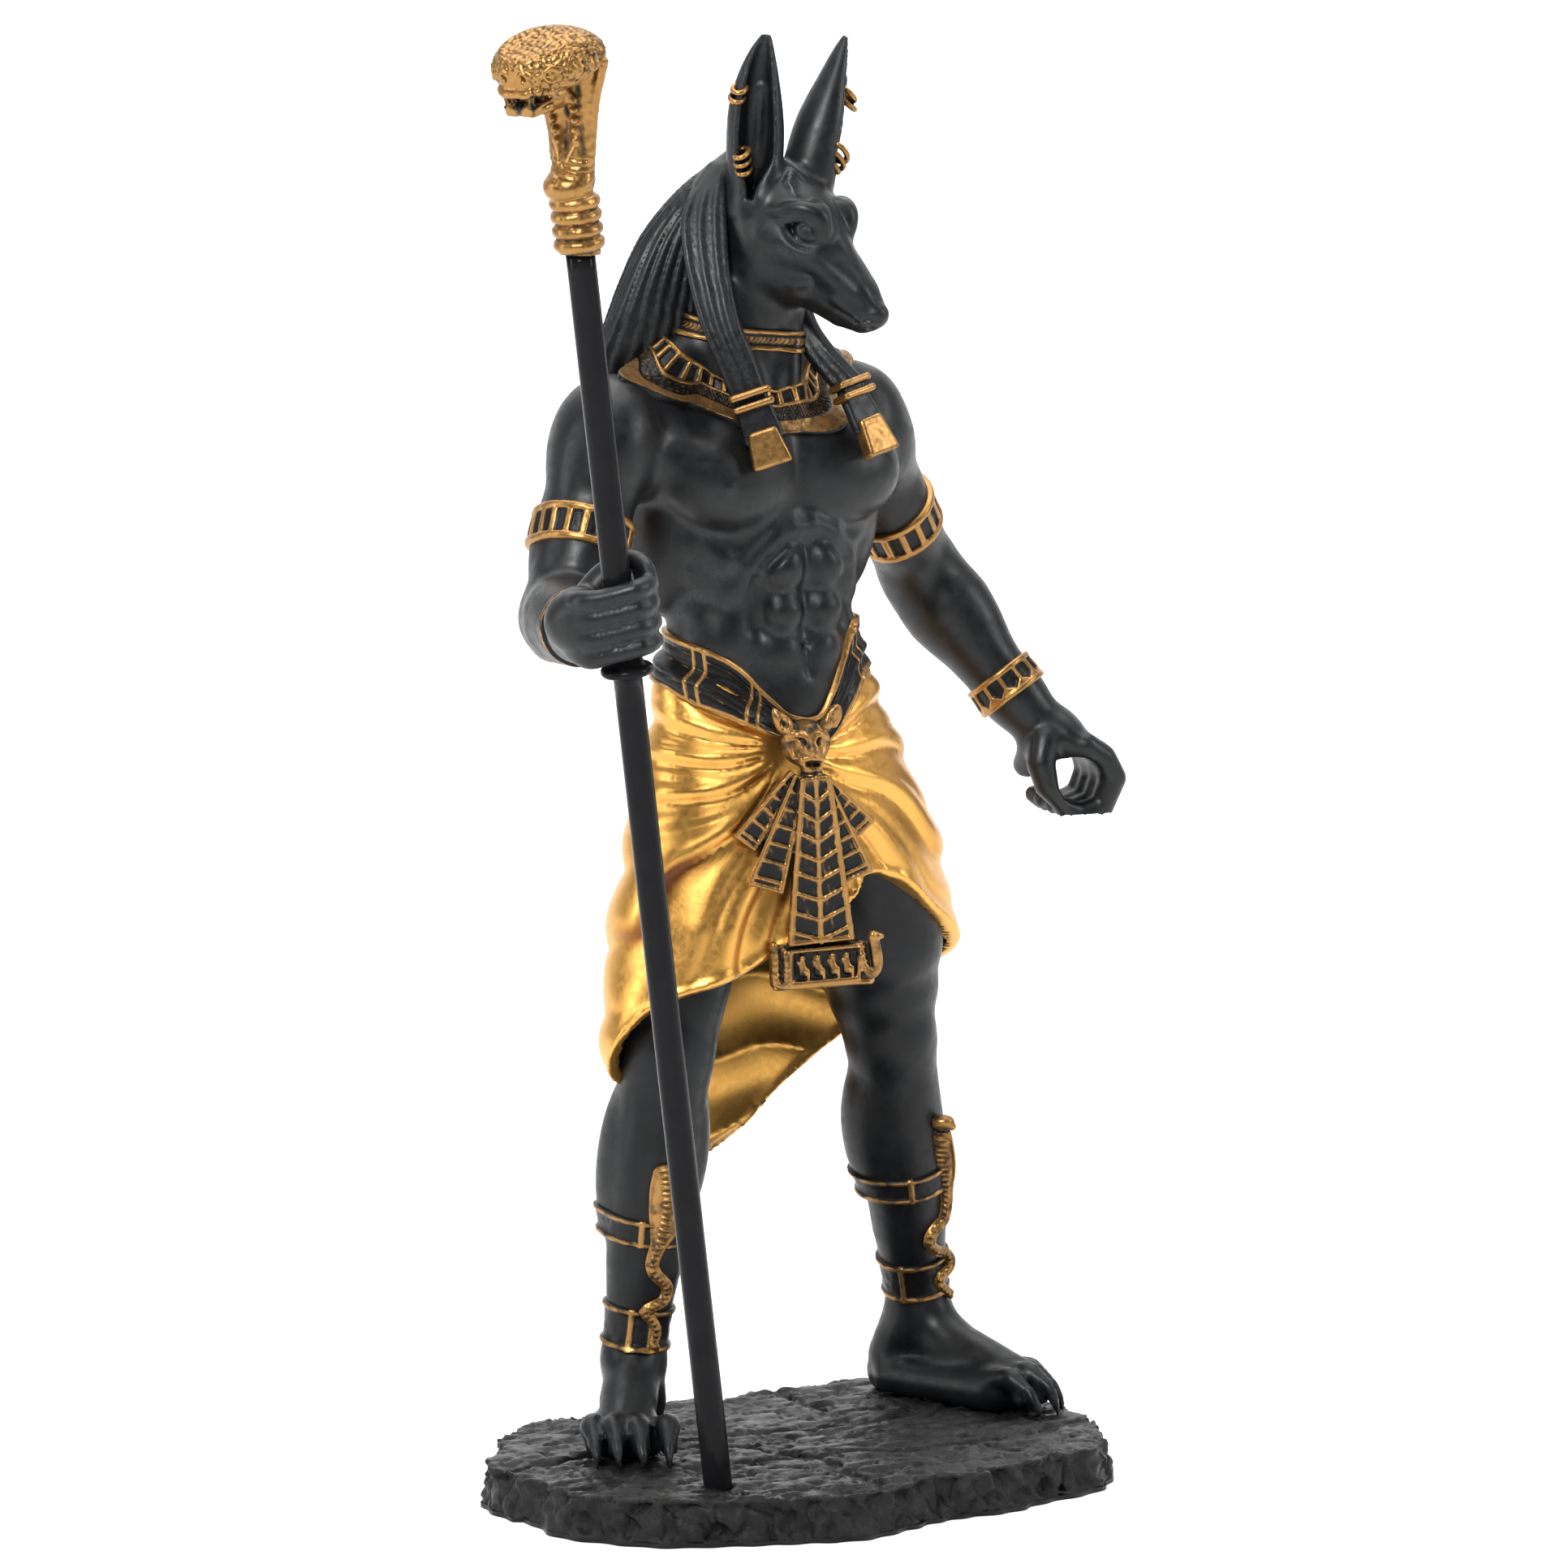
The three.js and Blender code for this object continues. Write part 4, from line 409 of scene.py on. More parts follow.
def mesh_object(name, points, faces, material, values=None, smooth_shade=True):
    """A mesh object in metres from points in millimetres and faces of equal length"""
    used = np.zeros(len(points), bool)
    used[faces.ravel()] = True
    index = np.cumsum(used) - 1
    points, faces = np.asarray(points)[used], index[faces]
    mesh = bpy.data.meshes.new(name)
    mesh.vertices.add(len(points))
    mesh.vertices.foreach_set("co", (points * MM).astype(FLOAT).ravel())
    size = faces.shape[1]
    mesh.loops.add(faces.size)
    mesh.loops.foreach_set("vertex_index", faces.astype(np.int32).ravel())
    mesh.polygons.add(len(faces))
    mesh.polygons.foreach_set("loop_start", np.arange(0, faces.size, size, dtype=np.int32))
    mesh.polygons.foreach_set("loop_total", np.full(len(faces), size, np.int32))
    if smooth_shade:
        mesh.polygons.foreach_set("use_smooth", np.ones(len(faces), bool))
    mesh.update(calc_edges=True)
    for key, data in (values or {}).items():
        layer = mesh.attributes.new(key, "FLOAT", "POINT")
        layer.data.foreach_set("value", np.asarray(data, FLOAT)[used])
    mesh.validate()
    piece = bpy.data.objects.new(name, mesh)
    bpy.context.scene.collection.objects.link(piece)
    piece.data.materials.append(material)
    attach(piece, "root")
    return piece


def cells(p, size):
    """Distances to the nearest and the second nearest of dots scattered about `size` apart"""
    q = np.asarray(p, float) / size + 40
    base = np.floor(q).astype(int)
    best = np.full(len(q), 9.0)
    second = best.copy()
    for step in np.ndindex(3, 3, 3):
        cell = base + np.array(step) - 1
        at = cell % 32
        dot = np.stack([LATTICE[at[:, 0], at[:, 1], (at[:, 2] + k * 9) % 32] for k in range(3)], -1)
        d = np.linalg.norm(cell + 0.5 + 0.2 * np.clip(dot, -1.6, 1.6) - q, axis=-1)
        second = np.minimum(second, np.maximum(best, d))
        best = np.minimum(best, d)
    return best * size, second * size


# How far out in the open a place is judged for its shade
WIDE = 2.6


def clay_object(name, clay, material, keep=None, depth=0.9, extra=None, relief=None):
    """A mesh of the clay's surface, with how open each place is as attributes.

    relief(points, normal) gives a height to raise each point by, and more attributes.
    """
    points, faces = skin_of(clay)
    if keep is not None:
        good = keep(points)
        faces = faces[good[faces].all(1)]
    normal = clay.slope(points)
    # How open each place is, near and further out: the kilt and stone finishes use these for painted shade in
    # their hollows, the antique gold for its dark patina
    values = {
        "open": np.clip(clay.at(points + normal * depth) / depth, 0, 1.2),
        "shade": np.clip(clay.at(points + normal * WIDE) / WIDE, 0, 1.2),
        "edge": np.clip(1 + clay.at(points - normal * depth) / depth, 0, 1),
    }
    if extra is not None:
        values.update(extra(points))
    if "gilt" in values:
        values["gilt"] = values["gilt"] * (0.3 + 0.7 * smooth(0.4, 0.95, values["open"]))
    if relief is not None:
        height, more = relief(points, normal)
        points = points + normal * height[:, None]
        values.update(more)
    return mesh_object(name, points, faces, material, values)


def grid_faces(rows, columns):
    """Quads of a grid of points, row by row, closed round its columns"""
    i = np.arange(rows - 1)[:, None]
    j = np.arange(columns)[None, :]
    k = (j + 1) % columns
    return np.stack([i * columns + j, i * columns + k, (i + 1) * columns + k, (i + 1) * columns + j],
                    -1).reshape(-1, 4)


# The figure


def rod_at(z):
    return vec(ROD_FOOT[0] + ROD_SLOPE[0] * (z - ROD_FOOT[2]),
               ROD_FOOT[1] + ROD_SLOPE[1] * (z - ROD_FOOT[2]), z)


ROD_AXIS = unit((*ROD_SLOPE, 1))
MIDLINE_X = 3
WAIST_X = 1.8
BELLY_X = 4.6


def torso(clay):
    form = Form(clay)

    def across(offset, y, z):
        return (MIDLINE_X + offset, y, z)

    def belly(offset, y, z):
        return (BELLY_X + offset, y, z)

    form.ball(CHEST, (25, 13.2, 25))
    form.tube([(-29, 18, 207.5, 9.5), (MIDLINE_X, 18.5, 208, 11), (26, 21, 206.5, 9.2)], 5)
    form.ball((WAIST_X + 0.4, 15.5, 174), (17.4, 11.6, 25), 6)
    form.ball(PELVIS, (25, 14, 17), 6)
    form.tube([(0.5, 20, 208, 13), (*NECK, 10.6), (2.5, 17, 240, 10)], 4)
    # sinews and windpipe in front of the neck
    form.tube([(-4, 8.4, 215, 2.2), (-6.6, 10.2, 226, 2.4), (-8, 14, 238, 2.4)], 3)
    form.tube([(3.4, 7, 215, 2.2), (6, 10.5, 226, 2.4), (10, 15, 238, 2.4)], 3)
    for side in (-1, 1):
        shoulder = SHOULDER["right" if side < 0 else "left"]
        form.tube([(side * 5, 22, 228.5, 6), (side * 19, 20.5, 218, 6.8), (side * 28, 19, 213, 8)], 4)
        form.ball(across(side * 21.2 - 0.4, 21, 193), (7.5, 10.5, 19), 5)
        form.ball((WAIST_X + 0.6 + side * 13, 15, 168.5), (6.9, 9.5, 11), 4)
        # breast muscle: a broad lower bulge and a fan up to the shoulder
        form.ball(across(side * 12.6, 8.8, 200.4), (14.2, 8.4, 9.6), 2)
        form.ball(across(side * 9.5, 8.4, 205), (10.5, 6.8, 8.5), 2.5)
        form.ball(across(side * 14, 28, 203), (11, 5, 12), 4)
        form.tube([(*across(side * 19, 9, 203), 6.5), (*mix(shoulder, CHEST, 0.12), 8.5)], 3.4)
        # edge of the ribs, and the belly muscle in three pairs
        form.tube([(*belly(side * 1.5, 4, 191.6), 2), (*belly(side * 6.6, 4, 189.6), 2),
                   (*belly(side * 11.4, 6, 184), 2), (*belly(side * 14, 9.4, 178), 2)], 3)
        form.ball(belly(side * 4.7, 4.9, 183.8), (5, 4.9, 5.9), 1.8)
        form.ball(belly(side * 4.7, 5.3, 174.9), (4.9, 4.8, 4.9), 1.8)
        form.ball(belly(side * 4.4, 6.5, 167), (5.4, 4.9, 4.6), 3)
        form.ball(belly(side * 3, 8.6, 158), (8, 6.8, 10), 4)
        # fingers of muscle over the ribs
        for row, z in enumerate((189, 183)):
            form.tube([(WAIST_X + side * (18 - row), 10 + row, z, 2),
                       (WAIST_X + side * (14.4 - row), 7.4 + row, z - 3.4, 1.6)], 4)
        form.groove([(*belly(0, 0.7, 189.8), 0.7), (*belly(side * 4.8, 0.9, 189), 0.8),
                     (*belly(side * 9.6, 2.8, 184.4), 0.7)], 2)
        form.groove([(*belly(side * 10.8, 3.8, 181), 0.6), (*belly(side * 10.6, 4.2, 172), 0.6)], 3)
        # crease from the hip down to the groin
        form.groove([(WAIST_X + 1 + side * 15.4, 6.2, 164.5, 0.7),
                     (WAIST_X + 1 + side * 9.4, 2.9, 155, 0.7)], 3)
        # nipple
        form.ball(across(side * 17.4 - 0.3, 1.2 + 0.4 * (side > 0), 200.6), (1.1, 0.8, 1), 0.5)
    form.groove([(*across(0.6, 0.5, 209), 0.8), (*across(1.2, 1.2, 194), 1.2)], 2.4)
    form.groove([(*belly(0, 0.5, 188), 0.7), (*belly(0, 1.1, 180), 0.7), (*belly(0, 1.5, 171), 0.5)], 2.2)
    form.dent(belly(-0.2, 2, 168), (0.9, 2, 0.8), 0.8)
    form.groove([(*belly(-0.2, 1.4, 167), 0.5), (*belly(0.1, 1.7, 162.6), 0.4)], 1.4)
    form.groove([(*across(0, 32, 210), 1.6), (*across(0, 28.5, 188), 1.8), (*across(1, 27.5, 164), 1.6)], 3)
    for side in (-1, 1):
        # shoulder blade
        form.tube([(*across(side * 8, 30.5, 206), 2.4), (*across(side * 18, 29.5, 200), 3)], 4)
        form.groove([(*across(side * 9, 33, 192), 0.8), (*across(side * 20, 29.5, 196), 0.8)], 3)


def arm(clay, side):
    form = Form(clay)
    sign = SIDES[side]
    shoulder, elbow, wrist = vec(*SHOULDER[side]), vec(*ELBOW[side]), vec(*WRIST[side])
    down, fore = unit(elbow - shoulder), unit(wrist - elbow)
    outward = unit(np.cross(np.cross(down, (sign, 0, 0)), down))
    front = unit(np.cross(down, outward)) * sign
    upper = Form(clay, Frame(shoulder, outward, front if front[1] < 0 else -front, down))
    length = np.linalg.norm(elbow - shoulder)
    form.tube([(*(shoulder + vec(-sign, 0, 1)), 9.6), (*mix(shoulder, elbow, 0.5), 8.6), (*elbow, 7.6)], 4)
    upper.ball((1, 1, 2), (9.8, 11.6, 14), 3)
    upper.ball((-1, 3.6, length * 0.6), (6.8, 5.8, 12), 2.5)
    upper.ball((0.6, -4.2, length * 0.56), (7.2, 5.4, 13), 2.5)
    span = np.linalg.norm(wrist - elbow)
    form.tube([(*elbow, 7.9), (*(elbow + fore * span * 0.3), 8.6), (*(elbow + fore * span * 0.62), 7.2),
               (*wrist, 5.7)], 3)
    bend = unit(fore * (fore @ down) - down)
    fleshy = Form(clay, Frame(elbow, unit(np.cross(fore, bend)), bend, fore))
    fleshy.ball((3.2 * sign, -1.2, span * 0.26), (5.4, 5.4, 11), 2.5)
    fleshy.ball((-3 * sign, 1.4, span * 0.34), (5, 5, 10.5), 2.5)
    fleshy.ball((0, -5.2, -1.5), (3.6, 3.6, 3.4), 2)


RIGHT_GRIP = rod_at(182.5)
RIGHT_FRONT = unit(vec(*VIEWER) - ROD_AXIS * (vec(*VIEWER) @ ROD_AXIS))
RIGHT_HAND = Frame(RIGHT_GRIP, -np.cross(RIGHT_FRONT, ROD_AXIS), RIGHT_FRONT, ROD_AXIS)
# Rows: height of a finger along the rod, its radius
RIGHT_FINGERS = ((6.3, 1.95), (2.6, 2.05), (-1.2, 2), (-4.9, 1.8))


def right_hand(clay):
    form = Form(clay, RIGHT_HAND)
    wrist = RIGHT_HAND.local(WRIST["right"])
    form.tube([(*wrist, 6.1), (-8.8, -2, -0.4, 6)], 4)
    form.ball((-7.4, -0.4, -0.9), (4.2, 6, 7.4), 2.5)
    for height, size in RIGHT_FINGERS:
        form.tube(curve([(-9.2, 0.4, height * 0.86 - 1.6, size + 0.3), (-6.6, 4, height - 1.5, size + 0.35),
                         (-3, 5.3, height - 1, size), (2.6, 5.3, height - 0.1, size + 0.05),
                         (5, 3.6, height + 0.1, size + 0.05), (6, 0.6, height + 0.1, size - 0.15),
                         (4.6, -2.6, height, size - 0.4)]), 0.55)
        form.ball((3.4, 5.6, height + 0.1), (1.7, 1.7, size - 0.3), 0.6)
    form.tube(curve([(-6.6, -4.6, 2, 3.6), (-2, -6.6, 6.6, 3), (3, -4.6, 9.6, 2.3), (5.4, -1.4, 9.2, 1.8),
                     (6.3, 0.9, 7, 1.5), (6.2, 1.8, 4.2, 1.3)]), 0.5)
    form.ball((6.4, 2.7, 4.8), (1, 0.5, 1.4), 0.2)
    clay.cut(limb([(*rod_at(150), ROD_RADIUS + 0.1), (*rod_at(215), ROD_RADIUS + 0.1)]), 0.1)


LEFT_FORE = unit(vec(*LEFT_GRIP) - vec(*WRIST["left"]))
LEFT_TOWARDS = unit((-0.19, -0.975, -0.1))
LEFT_DOWN = unit(LEFT_FORE - LEFT_TOWARDS * (LEFT_TOWARDS @ LEFT_FORE))
LEFT_HAND = Frame(LEFT_GRIP, np.cross(LEFT_TOWARDS, LEFT_DOWN), LEFT_DOWN, LEFT_TOWARDS)


def left_hand(clay):
    form = Form(clay, LEFT_HAND)
    wrist = LEFT_HAND.local(WRIST["left"])
    form.tube([(*wrist, 5.7), (1, -9.6, -1.5, 5.6)], 4)
    form.ball((3.2, -6, -0.8), (4.8, 6.4, 8), 3)
    form.tube([(5.8, -1.6, 5, 2.9), (5.6, -1.8, -5.4, 2.7)], 2)
    for depth, size, curl in ((5.7, 2.5, 0), (1.9, 2.5, 0.3), (-1.9, 2.4, 0.8), (-5.6, 2.1, 1.2)):
        form.tube([(4.8, -5, depth, size + 0.3), (6.7, -0.6, depth, size + 0.4),
                   (6.6 - curl * 0.4, 4.4, depth, size + 0.3), (1.6, 8.2 - curl * 0.4, depth, size),
                   (-3.4 - curl, 6.8 - curl * 0.3, depth, size - 0.1),
                   (-5.2 - curl, 3.6 - curl, depth, size - 0.3)], 0.9)
    form.tube([(-1.4, -9.4, 2.6, 3.4), (-4.8, -7, 4.6, 2.9), (-6.2, -2.6, 5.6, 2.5), (-5.6, 1.4, 6, 2)], 1)
    form.tube([(-2.6, -8, -1, 3.4), (-4.8, -4.4, -4.8, 2.8)], 2)
    form.groove([(0, 0, -16, GRIP_RADIUS), (0, 0, 16, GRIP_RADIUS)], 0.4)


def leg_frames(side):
    sign = SIDES[side]
    hip, knee, ankle = vec(*HIP[side]), vec(*KNEE[side]), vec(*ANKLE[side])
    toe = vec(*TOE_DIRECTION[side], 0)
    outer = vec(-toe[1] * sign, toe[0] * sign, 0)
    frames = []
    for origin, axis in ((hip, unit(knee - hip)), (knee, unit(ankle - knee))):
        frames.append(Frame(origin, unit(outer - axis * (outer @ axis)), unit(toe - axis * (toe @ axis)),
                            axis))
    return frames


def leg(clay, side):
    form = Form(clay)
    hip, knee, ankle = vec(*HIP[side]), vec(*KNEE[side]), vec(*ANKLE[side])
    upper, lower = (Form(clay, at) for at in leg_frames(side))
    thigh, shin = np.linalg.norm(knee - hip), np.linalg.norm(ankle - knee)
    form.tube([(*hip, 14), (*mix(hip, knee, 0.5), 12), (*knee, 8.8)], 4)
    upper.ball((2.4, 3.4, thigh * 0.55), (8, 8, 22), 3)
    upper.ball((-4.4, 3.6, thigh * 0.8), (4.4, 4.8, 9.5), 1.8)
    upper.ball((5.4, 3.2, thigh * 0.76), (4.6, 5.4, 13), 1.8)
    upper.ball((0, -4.5, thigh * 0.55), (8, 6.5, 20), 3)
    upper.ball((0, 6.2, thigh * 0.97), (4.4, 3.6, 4.8), 1.6)
    if side == "left":
        form.tube([(21, 12, 126, 14), (28.4, 12.6, 106, 13.6), (30.6, 13.2, 97, 11)], 3)
    form.tube([(*knee, 8.6), (*mix(knee, ankle, 0.33), 9), (*mix(knee, ankle, 0.7), 7.6), (*ankle, 5.4)], 3)
    lower.ball((-4.6, -3.2, shin * 0.33), (5.6, 6.8, 15.5), 2.2)
    lower.ball((5.8, -2.8, shin * 0.37), (6, 6.6, 18), 2.2)
    lower.ball((1.6, 3.4, shin * 0.36), (4.2, 3.8, 15), 2.2)
    lower.tube([(0, 5.4, 5, 2.4), (-0.6, 4.6, shin * 0.4, 1.6)], 2)


# Rows: place of a toe across the foot, of its claw's tip, how far forward it is set, how much lower
TOES = {
    "right": ((-8.2, -9, 1.6, 0.4), (-2.4, -4.1, 3.8, 0), (2.3, 0.8, 3.6, 0), (6.8, 5.1, 1.6, 0.8)),
    "left": ((-5.4, -5.6, 3.6, 0), (-0.8, -0.6, 4.4, -0.8), (3.4, 3.6, 2.2, 0), (6.8, 6.8, -1, 0.4)),
}


def foot(clay, side):
    sign = SIDES[side]
    toe = vec(*TOE_DIRECTION[side], 0)
    ankle = ANKLE[side]
    at = Frame((ankle[0], ankle[1], SOLE), (-toe[1] * sign, toe[0] * sign, 0), toe, (0, 0, 1))
    form = Form(clay, at)
    instep = 23.5 if side == "left" else 17
    form.tube([(0, 0, ankle[2] - SOLE, 5.8), (0, -5, 7, 6.1), (0, -6.4, 4, 5.2)], 3)
    form.tube([(0, 2, 15, 5.4), (0.4, 10, 9.6, 5.8), (0.8, instep, 6, 4.8)], 4)
    form.tube([(-3.4, instep - 1, 3.4, 4), (4.6, instep - 2, 3.2, 4)], 3)
    form.tube([(0, -6, 3.4, 4.6), (3.6, 6, 2.4, 3.4), (4.6, instep, 2.4, 3.4)], 2)
    if side == "left":
        form.tube([(-3.6, -3, 3.4, 4), (-4.2, 10, 3.4, 4), (-4, instep, 3.6, 4.4)], 2)
    for x, tip, reach, drop in TOES[side]:
        y = instep + reach
        form.tube(curve([(x * 0.85, y - 6, 4.8, 2.8), (x, y - 1.6, 6.4, 2.3), (x, y + 1.6, 6.9 - drop, 2.5),
                         (mix(x, tip, 0.4), y + 4.4, 5.4 - drop, 1.9), (mix(x, tip, 0.5), y + 5, 3.4, 1.9)],
                        3), 0.6)
        form.ball((mix(x, tip, 0.4), y + 4.8, 5.9 - drop), (2, 1, 1.8), 0.25)
        form.tube(curve([(mix(x, tip, 0.4), y + 5, 5.9 - drop, 1.5),
                         (mix(x, tip, 0.6), y + 7.2, 4.4 - drop, 1.35),
                         (mix(x, tip, 0.9), y + 8.9, 2.2, 0.95), (tip, y + 9.9, -0.2, 0.4)], 4), 0.15)
        form.groove([(mix(x, tip, 0.4) - 1.7, y + 5.2, 4.2, 0.3),
                     (mix(x, tip, 0.4) + 1.7, y + 5.2, 4.2, 0.3)], 0.4)


HEAD = Frame(SKULL, (0.290, -0.787, -0.545), (0.938, 0.345, 0), (0.188, -0.511, 0.839))


def head(clay):
    form = Form(clay, HEAD)
    form.ball((-2.5, 0, 3.2), (12, 10.3, 10.8), 3)
    form.ball((4.2, 0, 6.2), (8.6, 8.8, 7), 3)
    form.tube(curve([(4, 0, 2.6, 9), (11.5, 0, 3, 6), (17, 0, 1.8, 4.9), (23, 0, 0.9, 3.8),
                     (26.8, 0, 0.5, 2.9)]), 3)
    form.tube([(6, 0, -3, 6.4), (15, 0, -2.4, 4.7), (20.5, 0, -2.5, 3.7), (25.2, 0, -1.8, 2.7)], 2)
    form.ball((27.7, 0, 1.1), (2.4, 2.6, 2.4), 0.8)
    # bridge of the snout, flat between two soft edges
    form.tube([(13, 0, 5.8, 3), (23, 0, 2.7, 2)], 2)
    for side in (-1, 1):
        form.ball((1.6, side * 4.7, -1.4), (10.6, 5.7, 8.4), 3)
        form.ball((6, side * 3.6, -3.4), (8, 4.6, 5), 2.5)
        # cheekbone, from below the eye into the snout
        form.tube(curve([(2, side * 7.8, 2.6, 2.6), (9, side * 6.4, 3.6, 2.6), (15.4, side * 3.6, 3.6, 2.4),
                         (22, side * 1.9, 2.8, 1.9)]), 2.5)
        form.tube([(15, side * 2.3, 5.2, 1.4), (20, side * 2, 3.9, 1.4), (25.6, side * 1.5, 2.4, 1.2)], 1.4)
        form.tube([(27, side * 1.6, -0.6, 1.8), (21, side * 2.4, -0.4, 2)], 1.2)
        form.tube([(13.4, side * 5.9, -0.7, 0.8), (11.6, side * 6.6, -2.0, 0.9)], 1.6)
        # eye
        form.dent((9, side * 8.6, 8.2), (4.4, 2.8, 2.7), 1.2)
        form.tube(curve([(1.2, side * 8.3, 7.6, 1), (3.4, side * 8.1, 9.8, 1.4), (6, side * 6.8, 11.4, 1.9),
                         (8.6, side * 4.9, 11.1, 2.4), (10.4, side * 4.1, 9.2, 2.1),
                         (11.7, side * 3.5, 7.2, 1.4)]), 0.9)
        form.ball((7.4, side * 3.9, 11.9), (2.6, 2, 1.9), 0.8)
        form.ball((8.4, side * 5.6, 8), (3.1, 2.7, 2.5), 0.2)
        form.tube(curve([(2.4, side * 8.9, 5.2, 0.5), (4.6, side * 8.8, 7.8, 0.7),
                         (6.8, side * 8, 10, 0.75), (9, side * 6.7, 10.2, 0.75),
                         (10.7, side * 5.6, 8.9, 0.7), (11.7, side * 4.9, 7.2, 0.45)]), 0.3)
        form.tube(curve([(5.2, side * 8.5, 6.5, 0.4), (7.2, side * 8.1, 5.8, 0.6),
                         (9.4, side * 7.1, 5.6, 0.65), (11.4, side * 5.3, 6.7, 0.45)]), 0.3)
        iris = []
        for a in np.linspace(0, 2 * math.pi, 13):
            f, u = 8.9 + 0.95 * math.cos(a), 8.1 + 0.95 * math.sin(a)
            reach = 5.6 + 2.7 * math.sqrt(1 - ((f - 8.4) / 3.1) ** 2 - ((u - 8) / 2.5) ** 2)
            iris.append((f, side * (reach + 0.05), u, 0.22))
        form.groove(iris, 0.1)
        form.dent((9, side * 8.4, 8.1), (0.4, 0.5, 0.4), 0.1)
        for drop in (0, 1):
            form.groove(curve([(6.8, side * 8.6, 4.7 - drop, 0.25), (9, side * 7.8, 4.5 - drop, 0.3),
                               (11.4, side * 6.1, 5.3 - drop, 0.2)]), 0.9)
        # nostril and the line of the mouth
        form.groove(curve([(29.6, side * 2.1, 1.6, 0.5), (28.9, side * 2.6, 0.7, 0.5),
                           (27.4, side * 2.9, 0, 0.3)]), 0.4)
        form.groove(curve([(28.8, side * 1.5, -1.1, 0.2), (25.6, side * 3, -1.3, 0.25),
                           (20, side * 4.6, -1.9, 0.25), (15, side * 6, -2.9, 0.2)]), 1)
        # tufts of fur in front of the ears
        form.tube([(-5.6, side * 5, 13, 1.6), (-3.2, side * 8.2, 8, 1.4)], 1.6)
        for tuft in range(4):
            form.tube([(-3.4 + tuft * 0.8, side * (1.4 + tuft * 1.2), 13.6 - tuft * 0.2, 0.9),
                       (-0.6 + tuft, side * (0.9 + tuft * 1.5), 13.5 - tuft * 0.5, 0.5)], 0.5)


# Base and tip of each ear, and the way its cup faces
EARS = {
    "right": ((-0.4, 14.5, 256), (1.9, 12.5, 288.2), (-0.66, -0.75, 0)),
    "left": ((11.2, 12.6, 257), (21.6, 13, 287), (0.88, -0.47, 0)),
}
# Rows: share of the ear's length, half width, half depth, shift of the middle across
EAR_ROWS = [(0, 5, 5.4, 0.3), (0.2, 5.6, 5.7, 0), (0.4, 5.7, 5.5, -0.4), (0.56, 5.3, 4.6, -0.75),
            (0.75, 4, 3.1, -0.8), (0.9, 2.4, 1.9, -0.5), (1, 0.9, 0.8, 0)]


def ear_frame(side):
    base, tip, facing = (vec(*v) for v in EARS[side])
    axis = unit(tip - base)
    out = unit(facing - axis * (facing @ axis))
    return Frame(base, np.cross(axis, out), out, axis), np.linalg.norm(tip - base)


def ear(clay, side):
    at, length = ear_frame(side)
    turn = -SIDES[side]

    def shell(wide, deep, shift, start, over=0.0, taper=0.0):
        def distance(p):
            x, y, z = at.local(p)
            a, b, drift = along(EAR_ROWS, np.clip(z / length, 0, 1))
            a = a * (1 - taper * smooth(0.3, start, z / length))
            u, v = (x - turn * drift) / (a * wide) - turn * over, (y - shift * b) / (b * deep)
            k0 = np.sqrt(u * u + v * v)
            flat = k0 * (k0 - 1) / np.sqrt((u / (a * wide)) ** 2 + (v / (b * deep)) ** 2 + 1e-9)
            return np.maximum(np.maximum(flat, start * length - z), z - length)

        return distance

    form = Form(clay, at)
    low, high = box_of(EARS[side][:2], 6)
    clay.join((low, high, shell(1, 1, 0, -0.1)), 1.5)
    clay.cut((low, high, shell(0.62, 0.95, 0.78, 0.0, 0.16, 0.8)), 0.7)
    # ridge along the outer rim, and folds deep in the cup
    rim = [(turn * (drift - a * 0.6), b * 0.66, share * length, 0.5) for share, a, b, drift in EAR_ROWS[1:5]]
    form.tube(curve(rim), 0.6)
    for bend in (-0.2, 0.25):
        fold = [(turn * bend * 3, -1.6, length * 0.2, 0.8), (turn * bend * 6, -1.2, length * 0.42, 0.6),
                (turn * bend * 3, -0.6, length * 0.68, 0.3)]
        form.tube(curve(fold), 1.2)


def ear_rings(clay):
    """Rings through the rims, rows of (share of the ear's length, place across, place in front, lean)"""
    rows = {"right": ((0.655, 0.7, 0.5, 0.1), (0.6, 0.72, 0.5, -0.1), (0.27, 0.38, 0.6, 0.5),
                      (0.22, 0.36, 0.6, 0.3), (0.17, 0.3, 0.6, 0.1)),
            "left": ((0.655, 0.1, 0.85, 0.3), (0.6, 0.1, 0.85, -0.3), (0.27, -0.5, 0.72, 1.2),
                     (0.22, -0.45, 0.66, 1.1), (0.17, -0.4, 0.55, 1))}
    for side in rows:
        at, length = ear_frame(side)
        turn = -SIDES[side]
        for share, place, front, lean in rows[side]:
            a, b, drift = (float(v) for v in along(EAR_ROWS, share))
            loop = []
            for angle in np.linspace(0, 2 * math.pi, 25):
                loop.append((turn * (drift - place * a + 1.25 * math.cos(angle)),
                             front * b + (0.26 * b + 0.6) * math.sin(angle),
                             share * length + lean * math.cos(angle) - 0.8 * math.sin(angle), 0.58))
            clay.join(limb(loop, at), 0.05)


WIG_ROWS = [
    (186, 0, 33, 24.5, 3), (196, 0, 32, 27, 5), (208, -0.9, 31, 29, 7), (220, -2, 29, 28.6, 8),
    (231, -2.4, 27.4, 24.2, 8.3), (240, -1.8, 27, 20.8, 9), (249, -0.4, 26.4, 17, 8.8),
    (257, 2.1, 24.4, 12.7, 7.8), (262, 3.7, 21.8, 8.6, 6.3), (266, 4.5, 20.5, 3.8, 3.6),
]
STRANDS = 46


